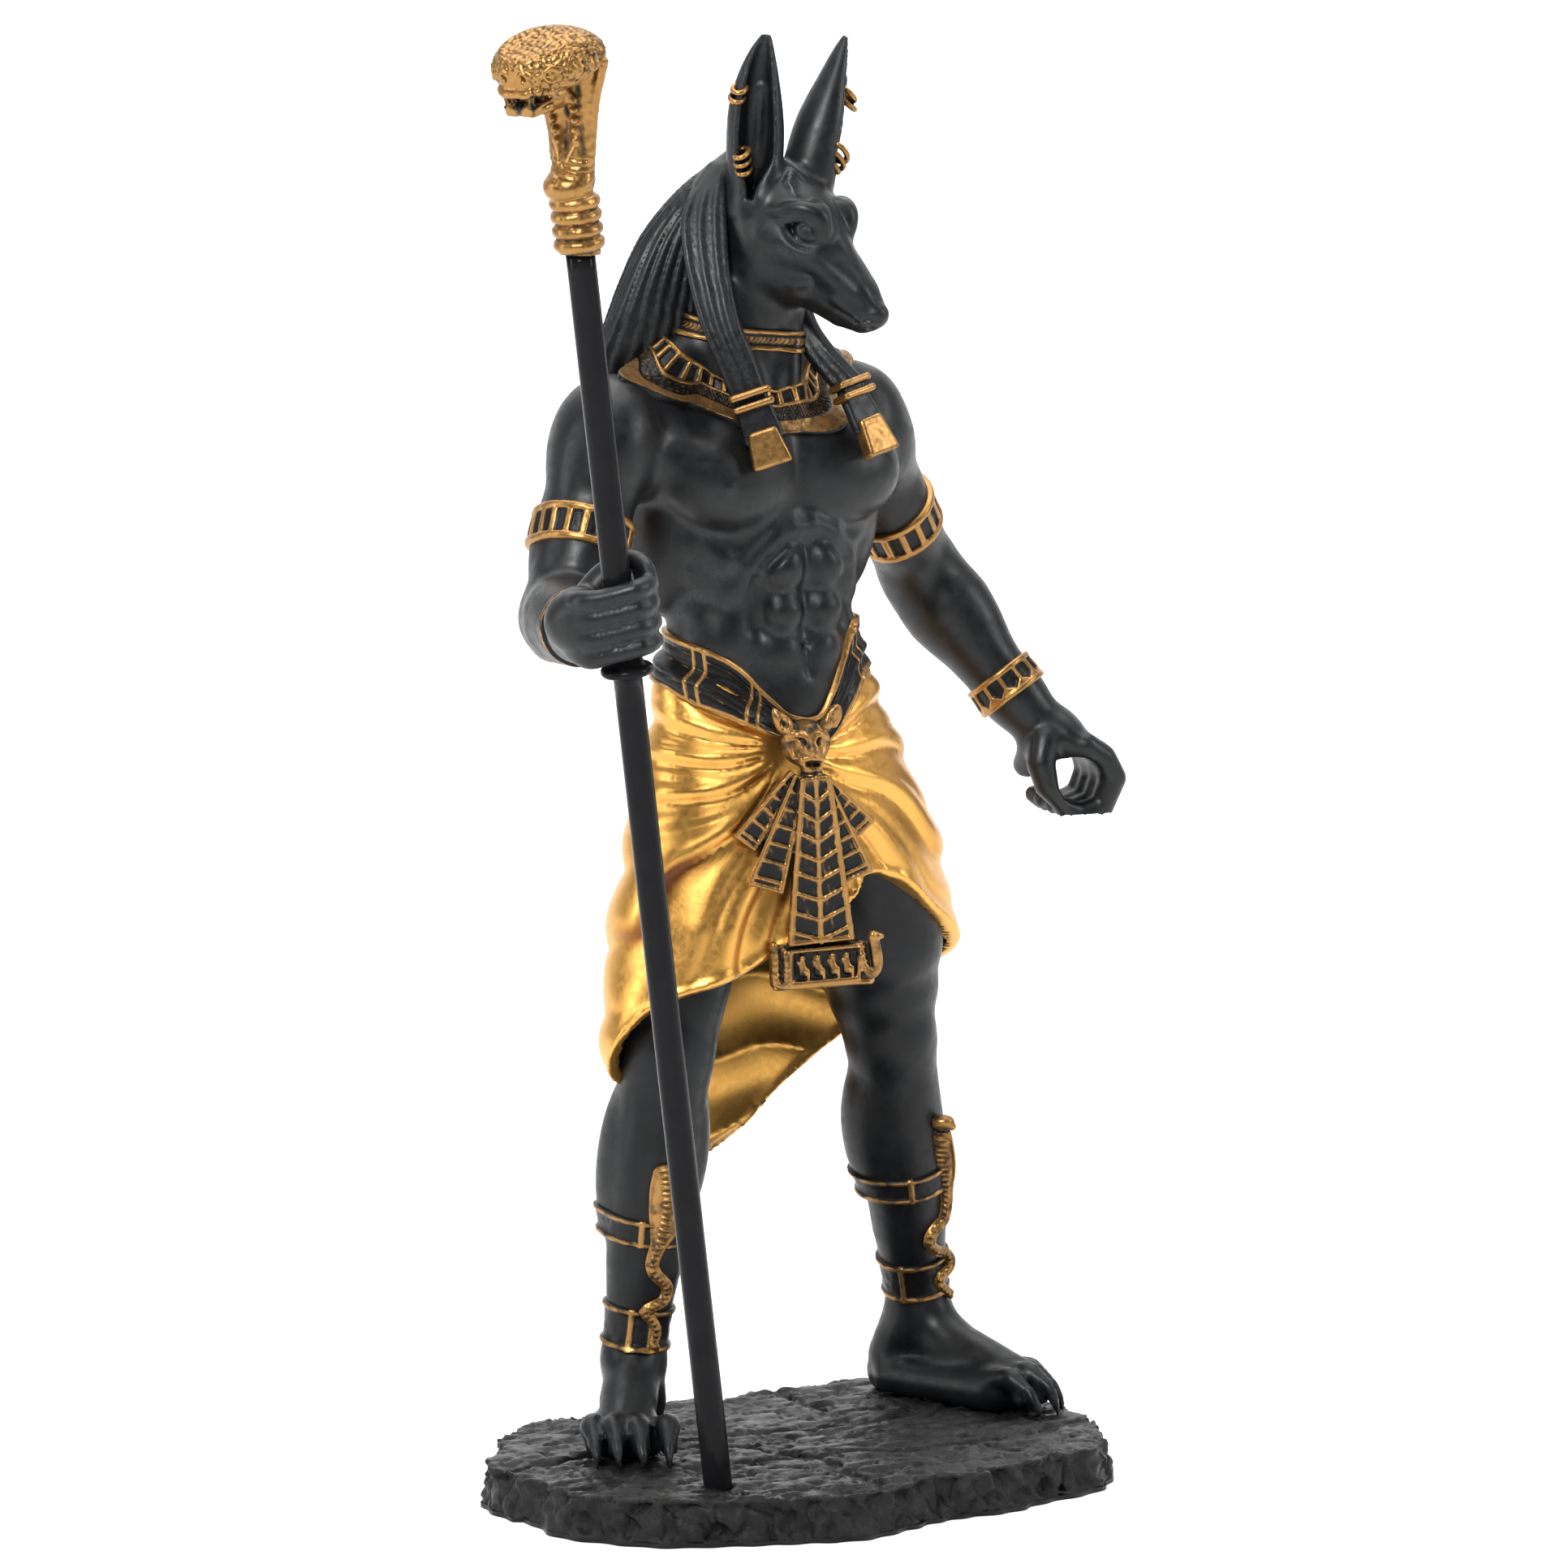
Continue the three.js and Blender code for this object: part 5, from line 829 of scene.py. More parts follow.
def wig(clay):
    def locks(side, p):
        cx, cy, a, b = along(WIG_ROWS, p[2])
        angle = np.arctan2((p[1] - cy) / np.sqrt(b), (p[0] - cx) / np.sqrt(a))
        wave = np.cos(angle * STRANDS + 0.5 * np.sin(p[2] * 0.07))
        return side * 0.9 + smooth(268, 258, p[2]) * (0.28 - 0.28 * wave + 0.1 * wave * wave)

    clay.join(stack(WIG_ROWS, skin=locks), 1)
    for side in SIDES:
        at, length = ear_frame(side)
        clay.cut(limb([(0, 3.4, length * 0.1, 4.4), (0, 5, length * 0.5, 5.5)], at), 1)


# Edges of the two lappets, from behind the ear to the straps
LAPPETS = {"right": ([(-5.6, 21.6, 260.8), (-10.8, 20.6, 256.5), (-14.3, 18.6, 251), (-15.8, 14.8, 243),
                      (-15.9, 10.6, 234), (-14.6, 7, 226.5), (-12.6, 4.2, 218.6)],
                     [(-3.6, 18.6, 261), (-5.5, 16.1, 256.6), (-7, 13.6, 251), (-9.2, 9.4, 242),
                      (-9.9, 5, 232), (-8.6, 2.2, 225.4), (-6.9, 0.2, 218.6)]),
           "left": ([(10.6, 21, 254), (8.6, 17, 242), (8.1, 12.6, 232.6), (9, 9, 225.4),
                     (12.2, 4.4, 218.8)], [(15.6, 17.4, 254), (11.2, 14.8, 240), (10.5, 10.6, 231.6),
                                           (12.1, 6.4, 226.2), (15.9, 1.6, 220.2)])}
# Top and end of each gold tassel, and the way it faces
TASSELS = {
    "right": ((-9.7, 2, 219), (-6.4, -1.6, 204.6), (-0.5, -0.85, 0.1)),
    "left": ((14.6, 2.4, 219.6), (18.4, -3.4, 205.6), (0.12, -0.97, 0.15)),
}


def lappet(clay, side):
    edges = [curve(rows) for rows in LAPPETS[side]]
    out = vec(-0.66, -0.75, 0)
    for t in (0.24, 0.5, 0.76):
        clay.join(limb([(*(p - out * 1.8), 1.9) for p in mix(*edges, t)]), 0.8)
    count = 6 if side == "right" else 5
    pitch = np.linalg.norm(edges[1] - edges[0], axis=1) / count
    for i in range(count):
        line = mix(*edges, (i + 0.5) / count) - out * 0.4 * (i % 2)
        clay.join(limb([(*p, r) for p, r in zip(line, pitch * 0.58)]), 0.12)
    # dark fringe under the straps
    at, length = tassel_frame(side)
    for i in range(7):
        x = (i - 3) * 0.95
        clay.join(limb([(x * 0.8, -0.5, 1, 1.1), (x * 1.1, 0, length * 0.6, 1)], at), 0.2)


def tassel_frame(side):
    top, end, facing = (vec(*v) for v in TASSELS[side])
    down = unit(end - top)
    out = unit(facing - down * (facing @ down))
    return Frame(top, np.cross(down, out), out, down), np.linalg.norm(end - top)


def tassel(clay, side):
    at, length = tassel_frame(side)
    for z in (0.3, 2.6):
        clay.join(board((0, 0, z), (4.3, 2.5, 0.75), 0.7, at), 0.1)
    below = Frame(at.place((0, 0.3, length * 0.5)), at.axes[0], at.axes[1], at.axes[2])
    clay.join(strip(below, length * 0.5, 2.9, 4.1, 1.6, 0.7), 0.1)


# Kilt, buckle and apron

KILT_CENTRE = (6, 16)
KILT_ROWS = [(52, 6.4, 17.5, 38, 20), (74, 8, 17.5, 37.6, 21), (86, 9, 17, 34.4, 21.5),
             (93, 9.2, 16.8, 34.4, 21.5), (100, 8.6, 16.5, 36.8, 21.5), (107, 8, 16.3, 39.4, 21.5),
             (114, 8, 16, 38.4, 21), (124, 8.2, 16, 35.6, 20.5), (135, 7.2, 16, 32.2, 19),
             (150, 5, 16, 26.8, 17), (162, 3, 16, 23.4, 15), (172, 2.4, 16, 20.4, 12.5)]
HEM_ROWS = [(-40, 121), (-20, 122), (0, 113), (29, 109.5), (50, 104), (73, 97.5), (88, 84), (99, 74),
            (120, 68), (150, 63.5), (172, 61.5), (180, 62.5), (200, 67), (220, 74.5), (235, 81), (245, 86),
            (260, 95), (278, 102.5), (295, 110), (320, 120.5), (340, 122), (360, 113), (389, 109.5)]
CLOTH = 2.6
KNOT = (-1.5, -6.5, 148)
# Rows: degrees from the front, then the belt's middle and its half width
BELT_ROWS = [
    (-60, 167, 5), (-50, 166, 4.9), (-27, 159.6, 3.8), (-13, 155.5, 3.2), (0, 151.5, 2.8), (23, 152.2, 2.7),
    (35, 154.4, 3.4), (45, 156.7, 3.9), (62, 161, 5.2), (72, 162.8, 5.5), (87, 165, 4.8), (110, 166.5, 4.6),
    (180, 168, 4.5), (250, 168, 4.5), (300, 167, 5), (310, 166, 4.9), (333, 159.6, 3.8), (347, 155.5, 3.2),
    (360, 151.5, 2.8),
]


def turn_of(p):
    """Degrees from the front towards the right side"""
    degrees = np.degrees(np.arctan2(-(p[0] - KILT_CENTRE[0]), -(p[1] - KILT_CENTRE[1])))
    return np.where(degrees < -30, degrees + 360, degrees)


def folds(p):
    dx, dz = p[0] - KNOT[0], p[2] - KNOT[2]
    reach = np.sqrt(dx * dx + dz * dz)
    front = smooth(26, 8, p[1])
    angle = np.arctan2(dz, np.abs(dx)) + 0.05 * np.sin(reach * 0.16 + (dx > 0)) + 0.05 * noise(p, 16)
    crease = (np.cos(angle * 8.5) ** 2 + 0.03) ** 0.4
    small = (np.cos(angle * 17 + 0.6) ** 2 + 0.02) ** 0.4
    fan = 1.8 * (crease - 0.62) * smooth(3, 10, reach) + 1.1 * (small - 0.6) * smooth(14, 24, reach)
    turn = turn_of(p)
    sway = p[2] * 0.21 + (turn - 180) * 0.02 + 0.8 * np.sin(turn * 0.05) + 0.25 * noise(p, 14)
    swag = np.abs(np.cos(sway)) ** 0.8
    return fan * front + 1.9 * (swag - 0.6) * (1 - front) * smooth(168, 150, p[2])


def kilt(clay):
    outer = stack(KILT_ROWS)[2]
    thigh = limb([(-9, 13.6, 142, 14), (-16.4, 11.6, 112, 15.4), (-20.6, 11.4, 92, 15)])[2]

    def distance(p):
        a, b = outer(p), thigh(p)
        whole = np.minimum(a, b) - 0.25 * np.maximum(4 - np.abs(a - b), 0) ** 2 / 4
        above_hem = p[2] - along(HEM_ROWS, turn_of(p))[0]
        skin = whole - folds(p) - 0.6 * np.exp(-((above_hem - 0.9) / 0.9) ** 2)
        hollow = np.maximum(skin + CLOTH, p[2] - 117)
        above = p[2] - along(BELT_ROWS, turn_of(p))[0]
        return np.maximum(np.maximum(skin, -above_hem), np.maximum(-hollow, above * 0.9))

    clay.join((vec(-40, -10, 50), vec(48, 42, 168), distance), 0.8)
    clay.join(ellipsoid((6, 24, 138), (24, 12, 16)), 5)


FACE = Frame((KNOT[0] - 0.8, KNOT[1] - 0.6, KNOT[2] + 1.6), unit((0.93, -0.36, 0)),
             unit((-0.36, -0.93, 0.05)), (0, 0, 1))


def buckle(clay):
    form = Form(clay, FACE)
    form.ball((0, -1.2, 0.6), (5, 3.5, 4.7))
    form.ball((0.6, 1.2, -2.6), (2.7, 2.3, 2.7), 1)
    form.ball((0.7, 2.6, -1.1), (1.2, 1.2, 0.9), 0.5)
    form.ball((0.7, 1.2, -5), (2.1, 1.8, 1.3), 0.6)
    form.dent((0.8, 3.3, -3.3), (1.9, 1.6, 0.9), 0.3)
    form.tube([(-1.4, 2.5, -2.4, 0.5), (0.7, 3.5, -2.2, 0.5), (2.6, 2.4, -2.4, 0.5)], 0.3)
    form.tube([(0.2, 0.9, 3, 1.5), (0.6, 2.2, 0, 1.3)], 1.4)
    for side in (-1, 1):
        form.tube(curve([(side * 1.2, 2.2, 1.8, 0.6), (side * 2.6, 1.7, 2.5, 0.6),
                         (side * 4.1, 0.5, 1.8, 0.5)]), 0.7)
        form.dent((0.3 + side * 2.1, 2.4, 1), (1.2, 1, 0.9), 0.4)
        form.ball((0.3 + side * 2.1, 1.5, 1), (0.75, 0.8, 0.75), 0.1)
        form.tube([(side * 3.4, 0.7, 0, 0.7), (side * 2.8, 1.6, -2, 0.7)], 0.5)
    form.tube(curve([(-3.4, 0, 3, 1.3), (-4.6, 0.2, 4.4, 1.7), (-5.8, 0.2, 6, 1.2), (-6.6, 0.1, 7.4, 0.5)]),
              0.5)
    form.dent((-4.8, 1.7, 4.8), (1, 1.1, 1.5), 0.3)
    form.tube(curve([(3, 0, 3.2, 1.3), (4.4, 0.4, 5, 1.3), (5.4, 0.4, 7, 1), (6.2, 0.6, 7.4, 0.7),
                     (6.4, 0.6, 5.8, 0.6), (5.6, 0.4, 4, 0.6)]), 0.3)
    form.dent((4.9, 1.8, 5.4), (0.7, 1, 1.2), 0.3)


def hung(clay, top, end, near, far, bars, herringbone=False):
    """A ribbon from top to end with raised edges and bars, its half width from near to far"""
    down = unit(vec(*end) - vec(*top))
    out = unit(vec(-0.3, -0.95, -0.08) - down * (vec(-0.3, -0.95, -0.08) @ down))
    at = Frame(top, np.cross(down, out), out, down)
    length = np.linalg.norm(vec(*end) - vec(*top))
    form = Form(clay, at)
    clay.join(strip(at, length, near, far, 0.9, 0.3), 0.3)
    rise = 0.95
    for side in (-1, 1):
        form.tube([(side * (near - 0.2), rise, 0.3, 0.45), (side * (far - 0.3), rise, length - 0.3, 0.5)],
                  0.15)
    form.tube([(-far + 0.3, rise, length - 0.3, 0.45), (far - 0.3, rise, length - 0.3, 0.45)], 0.15)
    for i in range(bars):
        share = (i + 0.9) / (bars + 0.4)
        half = near + (far - near) * share
        if herringbone:
            for side in (-1, 1):
                form.tube([(0, rise, share * length + 1.5, 0.4),
                           (side * half, rise, share * length - 0.9, 0.34)], 0.15)
        else:
            form.tube([(-half, rise, share * length, 0.36), (half, rise, share * length, 0.36)], 0.15)
    if herringbone:
        form.tube([(0, rise, 0, 0.4), (0, rise, length, 0.45)], 0.15)


PLAQUE = Frame((1.3, -7.4, 105.9), unit((0.95, -0.3, 0.03)), unit((-0.3, -0.95, 0)), (0, 0, 1))


def plaque(clay):
    form = Form(clay, PLAQUE)
    clay.join(board((0, -0.4, 0), (10.8, 1.2, 4.5), 1.1, PLAQUE), 0.3)
    clay.cut(board((0.6, 1.4, -0.2), (6.5, 1, 2.9), 0.4, PLAQUE), 0.2)
    corners = [(-6.9, -3.4), (7.2, -3.2), (7.7, 3.4), (-6.9, 3.2)]
    for (a, b), (c, d) in zip(corners, corners[1:] + corners[:1]):
        form.tube([(a, 0.9, b, 0.5), (c, 0.9, d, 0.5)], 0.15)
    form.tube([(-10, 0.8, -4, 0.5), (9.4, 0.8, -4, 0.5)], 0.2)
    for x in (-4.4, -1.2, 1.9, 4.8):
        form.ball((x, 0.6, 1.7), (0.62, 0.7, 0.7), 0.1)
        form.tube([(x, 0.5, 0.7, 0.7), (x + 0.1, 0.5, -1.3, 0.85)], 0.15)
        form.tube([(x + 0.1, 0.8, -1, 0.5), (x + 1.2, 0.8, -0.9, 0.45), (x + 1.3, 0.7, -2.4, 0.4)], 0.15)
        form.tube([(x - 0.8, 0.6, 0.6, 0.3), (x + 0.7, 0.9, -0.2, 0.3)], 0.1)
    # serpents at both ends
    left = curve([(-7.9, 0.9, 3, 0.8), (-7.6, 0.9, -1, 0.8), (-8.3, 0.9, -3.6, 0.8), (-9.9, 0.9, -2.6, 0.8),
                  (-10.1, 0.9, 1.4, 0.8), (-10.4, 0.9, 4.6, 0.9)], 6)
    right = curve([(7.6, 0.9, 3.4, 0.6), (8.4, 0.9, -0.6, 0.8), (9.8, 0.9, -2.4, 1.1), (11, 0.9, -0.8, 1.2),
                   (10.7, 1, 2.2, 1.2), (10.2, 1.1, 4.6, 1.1)], 6)
    for line in (left, right):
        form.tube(line, 0.2)
        for a, b in zip(line[::2], line[1::2]):
            form.ball(((a[0] + b[0]) / 2, 1.1, (a[2] + b[2]) / 2), (1.05, 0.8, 0.3), 0.1)
    form.tube([(10.1, 1.3, 5.2, 1.1), (11.8, 1.3, 5, 0.6)], 0.2)
    form.dent((10.6, 2.4, 5.4), (0.4, 0.5, 0.4), 0.1)


def apron(clay):
    hung(clay, (-5.2, -7.3, 144.4), (-14.2, -2.6, 130.9), 1.3, 2.7, 5)
    hung(clay, (-4.6, -8.2, 144), (-10.6, -4.4, 121.8), 1.4, 3.7, 6)
    hung(clay, (-0.4, -8.4, 143.6), (10.6, -8.2, 132.4), 1.2, 2.6, 5)
    hung(clay, (-0.6, -8.8, 143.2), (8.4, -8, 122.8), 1.4, 3.9, 6)
    hung(clay, (-2.4, -10, 144), (0.5, -7.7, 110.6), 3, 6.7, 8, herringbone=True)
    plaque(clay)


# Staff and stone

FINIAL_FOOT = rod_at(ROD_TOP + 0.3)
COBRA_FACE = unit(vec(-0.93, -0.3, 0) - ROD_AXIS * (vec(-0.93, -0.3, 0) @ ROD_AXIS))
COBRA = Frame(FINIAL_FOOT, COBRA_FACE, np.cross(ROD_AXIS, COBRA_FACE), ROD_AXIS)
COBRA_NECK = [
    (13, 0, 0, 3.9, 4.4), (18, -1.4, 0, 3.4, 4.6), (24, -2.4, 0, 3.2, 5.2), (30, -2.8, 0, 3.4, 6.6),
    (37, -2.6, 0, 3.6, 8.6),
]


def finial(clay):
    form = Form(clay, COBRA)
    form.tube([(0, 0, -1, 3.9), (0, 0, 9, 3.9)])
    for height in (1, 3.7, 6.4, 9):
        ring = [(3.6 * math.cos(a), 3.6 * math.sin(a), height, 1.32) for a in np.linspace(0, 2 * math.pi, 25)]
        form.tube(ring, 0.12)
    form.ball((0.7, -0.4, 12.3), (5, 4.8, 3.4), 0.5)
    clay.join(stack(COBRA_NECK, COBRA), 1)
    # hollow of the hood in front, between its two rims
    form.dent((4.2, 0, 25), (4.6, 3.9, 7.5), 1.2)
    for side in (-1, 1):
        rim = [(-0.8, side * 4.5, 17, 0.7), (-1.6, side * 4.9, 22, 0.8), (-2, side * 6, 28, 0.9),
               (-2, side * 8, 33.4, 1), (-1.6, side * 9.4, 36, 1)]
        form.tube(curve(rim), 0.8)
        beads = [(0.2 + 0.1 * i, side * (2.2 + 0.16 * i), 19 + 2 * i) for i in range(6)]
        for x, y, z in beads:
            form.ball((x, y, z), (1, 0.85, 0.85), 0.4)

    crown = ellipsoid((2.6, 0, 36.6), (11.3, 10.4, 6.4), COBRA)

    def shovel(p):
        x, _, z = COBRA.local(p)
        under = (35.5 - 0.39 * x - z) * 0.9
        dome = np.maximum(crown[2](p), (z - 43.6 + 0.36 * x) * 0.94)
        return np.maximum(dome, under) + 0.25 * np.maximum(0.6 - np.abs(dome - under), 0) ** 2

    clay.join((*crown[:2], shovel), 0.5)
    form.ball((8, 0, 34.6), (5.6, 4.6, 3), 1.2)
    clay.join(board((9.6, 0, 34.3), (4, 3.7, 1.8), 1.2, COBRA), 0.8)
    # lower jaw
    form.tube([(2, 0, 30.4, 3), (7.6, 0, 30, 2.3)], 1.2)
    clay.join(board((10.2, 0, 29.4), (3.4, 3.7, 1), 0.8, COBRA), 0.8)
    clay.cut(board((11.6, 0, 31.2), (4.4, 5.6, 1.1), 0.5, COBRA), 0.3)
    form.tube([(13.2, -3.2, 30.1, 0.5), (13.2, 3.2, 30.1, 0.5), (8.8, 4.4, 31, 0.5)], 0.3)
    clay.join(board((11.6, -0.8, 31.2), (0.6, 2.6, 1.3), 0.3, COBRA), 0.2)
    for i in range(5):
        y = -2.9 + 1.15 * i
        form.ball((12.7, y, 32), (0.5, 0.5, 0.7), 0.1)
        form.ball((12.7, y + 0.5, 30.7), (0.45, 0.45, 0.55), 0.1)
    for side in (-1, 1):
        form.tube([(13, side * 2.9, 32.4, 0.6), (12.9, side * 2.9, 30, 0.4)], 0.2)
        lip = [(13.9, 0, 32.9, 0.7), (13.7, side * 2.4, 32.9, 0.8), (12.2, side * 4.2, 33.4, 0.8),
               (10.2, side * 5.4, 33, 0.7), (8.6, side * 5.4, 31.6, 0.7)]
        form.tube(curve(lip), 0.4)
        ring = [(13.5 + 0.5 * math.sin(a), side * (2.3 + 0.9 * math.cos(a)), 36 + 1.1 * math.sin(a), 0.42)
                for a in np.linspace(0, 2 * math.pi, 13)]
        form.tube(ring, 0.35)
        form.dent((14, side * 2.3, 36), (1.2, 0.55, 0.8), 0.15)
        ring = [(11 + 1.1 * math.cos(a), side * (6.9 - 0.9 * math.cos(a)), 36.4 + 1.25 * math.sin(a), 0.45)
                for a in np.linspace(0, 2 * math.pi, 15)]
        form.dent((11.4, side * 7, 36.4), (1.3, 1.2, 1.1), 0.2)
        form.tube(ring, 0.2)
        form.ball((10.8, side * 6.7, 36.4), (0.85, 0.8, 0.85), 0.1)


# Rows: degrees from +X, then the distance out from the slab's middle
SLAB_OUTLINE = [
    (-38, 63.9), (-19, 65.2), (-5, 66.4), (20, 67), (42, 64.2), (53, 55), (73, 47), (86, 45.5), (113, 48.4),
    (125, 54.6), (145, 57.5), (157, 59.5), (166, 64), (176, 63.5), (185, 63.5), (194, 66.5), (202, 66.5),
    (218, 62.5), (233, 56.6), (246, 55.6), (265, 49.6), (274, 46.4), (296, 52), (309, 56.2), (322, 63.9),
    (341, 65.2), (355, 66.4),
]
# Places (x, y) along the joints between the flagstones
SLAB_JOINTS = [((-60, 10), (-20, 14), (20, 8), (64, 12)), ((-24, 44), (-20, 14), (-6, -12), (-10, -42)),
               ((20, 8), (26, 46)), ((-6, -12), (30, -20), (62, -16)), ((-62, -14), (-34, -10), (-6, -12)),
               ((30, -20), (34, -40))]
# Degrees from +X and size of the cracks in the side
SLAB_CRACKS = ((-128, 1.0), (-84, 1.1), (-70, 0.8), (-50, 0.9), (-152, 0.9), (20, 0.9), (75, 0.9), (130, 1))


def slab_reach(turn, z):
    """Distance out to the stone's side at a turn in degrees"""
    reach = along(SLAB_OUTLINE, np.where(turn < -10, turn + 360, turn))[0]
    chips = 0.5 * np.sin(turn * 0.31 + z * 0.5) + 0.4 * np.sin(turn * 0.83 + z)
    return reach - chips - 0.1 * (z - 3)


def slab(clay):
    def distance(p):
        u, v = p[0] - SLAB_MIDDLE[0], p[1] - SLAB_MIDDLE[1]
        turn = np.degrees(np.arctan2(v, u)) + 0 * p[2]
        side = np.sqrt(u * u + v * v) - slab_reach(turn, p[2])
        return np.maximum(np.maximum(side * 0.85, p[2] - SLAB_TOP), -1 - p[2])

    clay.join((vec(-73, -52, -1), vec(73, 54, 9), distance))
    for joint in SLAB_JOINTS:
        line = curve([(x, y, SLAB_TOP + 0.3) for x, y in joint], 10)
        line = line + np.stack([noise(line.T, 6), noise(line.T, 6, 5), 0 * line[:, 0]], -1) * 0.9
        clay.cut(limb([(*p, 1.3 + 0.3 * math.sin(i * 1.7)) for i, p in enumerate(line)]), 0.4)
    for degrees, size in SLAB_CRACKS:
        a = math.radians(degrees)
        reach = float(slab_reach(np.array(degrees), 5))
        line = [(SLAB_MIDDLE[0] + math.cos(a + 0.01 * math.sin(z)) * (reach + 0.3),
                 SLAB_MIDDLE[1] + math.sin(a + 0.01 * math.sin(z)) * (reach + 0.3), z, size * 0.6)
                for z in range(-1, 10, 2)]
        clay.cut(limb(line), 0.4)


# Finishes


class Finish:
    """A node material, built up one node at a time"""

    def __init__(self, name):
        self.material = bpy.data.materials.new(name)
        self.material.use_nodes = True
        self.tree = self.material.node_tree
        self.tree.nodes.clear()
        self.output = self.tree.nodes.new("ShaderNodeOutputMaterial")
        self.shader = self.tree.nodes.new("ShaderNodeBsdfPrincipled")
        self.tree.links.new(self.shader.outputs[0], self.output.inputs[0])
        self.place = self.tree.nodes.new("ShaderNodeTexCoord").outputs["Object"]

    def put(self, socket, value):
        if isinstance(value, bpy.types.NodeSocket):
            self.tree.links.new(value, socket)
        elif isinstance(value, tuple) and len(value) == 3:
            socket.default_value = (*value, 1)
        else:
            socket.default_value = value

    def set(self, name, value):
        self.put(self.shader.inputs[name], value)

    def value(self, name):
        node = self.tree.nodes.new("ShaderNodeAttribute")
        node.attribute_name = name
        return node.outputs["Fac"]

    def noise(self, size, detail=3, rough=0.55):
        """Noise between 0 and 1 with bumps about `size` millimetres across"""
        node = self.tree.nodes.new("ShaderNodeTexNoise")
        self.tree.links.new(self.place, node.inputs["Vector"])
        node.inputs["Scale"].default_value = 1 / (size * MM)
        node.inputs["Detail"].default_value = detail
        node.inputs["Roughness"].default_value = rough
        return node.outputs["Fac"]

    def step(self, value, low, high, out_low=0.0, out_high=1.0):
        node = self.tree.nodes.new("ShaderNodeMapRange")
        node.interpolation_type = "SMOOTHSTEP"
        for socket, item in zip(node.inputs, (value, low, high, out_low, out_high)):
            self.put(socket, item)
        return node.outputs[0]

    def math(self, operation, a, b=0.0):
        node = self.tree.nodes.new("ShaderNodeMath")
        node.operation = operation
        self.put(node.inputs[0], a)
        self.put(node.inputs[1], b)
        return node.outputs[0]

    def blend(self, amount, a, b):
        node = self.tree.nodes.new("ShaderNodeMix")
        node.data_type = "RGBA"
        self.put(node.inputs["Factor"], amount)
        self.put(node.inputs[6], a)
        self.put(node.inputs[7], b)
        return node.outputs[2]

    def bump(self, height, depth, strength=1.0):
        node = self.tree.nodes.new("ShaderNodeBump")
        node.inputs["Strength"].default_value = strength
        node.inputs["Distance"].default_value = depth * MM
        self.put(node.inputs["Height"], height)
        self.set("Normal", node.outputs[0])


def black_finish(name, level):
    f = Finish(name)
    cloud, fine = f.noise(9, 4), f.noise(0.7, 3)
    worn = f.math("MULTIPLY", f.step(f.value("edge"), 0.06, 0.4), f.step(fine, 0.3, 0.65))
    base = f.blend(f.step(cloud, 0.35, 0.7), (0.0035, 0.004, 0.0048), (0.006, 0.0068, 0.008))
    base = f.blend(f.math("MULTIPLY", worn, 0.4), base, (0.03, 0.033, 0.037))
    f.set("Base Color", base)
    f.set("Roughness", f.step(f.noise(2.4, 5), 0.3, 0.75, 0.34, 0.5))
    f.set("Specular IOR Level", level)
    f.bump(f.noise(0.5, 3), 0.05, 0.35)
    return f.material


def antique_finish():
    """Antique gold over black: the raised places are gilt, the sunk ones stay dark"""
    f = Finish("antique_gold")
    bright, dark = (0.37, 0.2, 0.066), (0.006, 0.0055, 0.0055)
    wear = f.noise(1.6, 5, 0.65)
    gilt = f.math("ADD", f.value("gilt"), f.math("MULTIPLY", f.math("SUBTRACT", wear, 0.5), 0.9))
    gilt = f.step(gilt, 0.32, 0.9)
    tone = f.blend(f.step(f.noise(5, 3), 0.3, 0.7), bright, tuple(v * 0.8 for v in bright))
    f.set("Base Color", f.blend(gilt, dark, tone))
    f.set("Metallic", f.math("MULTIPLY", gilt, 0.92))
    f.set("Roughness", f.step(f.noise(0.9, 4), 0.25, 0.8, 0.28, 0.46))
    f.set("Specular IOR Level", 0.2)
    f.bump(f.noise(0.45, 3), 0.06, 0.4)
    return f.material


def kilt_finish():
    f = Finish("kilt_gold")
    open_, shade = f.value("open"), f.value("shade")
    # Painted shade: the cloth is painted brown in its folds and near black deep in them, and is less metallic
    # there
    depth = f.math("ADD", f.math("MULTIPLY", open_, 0.35), f.math("MULTIPLY", shade, 0.65))
    depth = f.math("ADD", depth, f.math("MULTIPLY", f.math("SUBTRACT", f.noise(3, 4), 0.5), 0.12))
    tone = f.blend(f.step(depth, 0.5, 0.96), (0.15, 0.042, 0.005), (0.68, 0.36, 0.085))
    tone = f.blend(f.step(depth, 0.2, 0.55), (0.018, 0.012, 0.008), tone)
    tone = f.blend(f.math("MULTIPLY", f.step(f.noise(0.7, 4, 0.7), 0.58, 0.75), 0.35), tone,
                   (0.14, 0.07, 0.02))
    f.set("Base Color", tone)
    f.set("Metallic", f.step(depth, 0.3, 0.8, 0.35, 0.95))
    f.set("Roughness", f.step(f.noise(1.2, 4), 0.3, 0.75, 0.3, 0.42))
    f.bump(f.noise(0.6, 4), 0.06, 0.4)
    return f.material


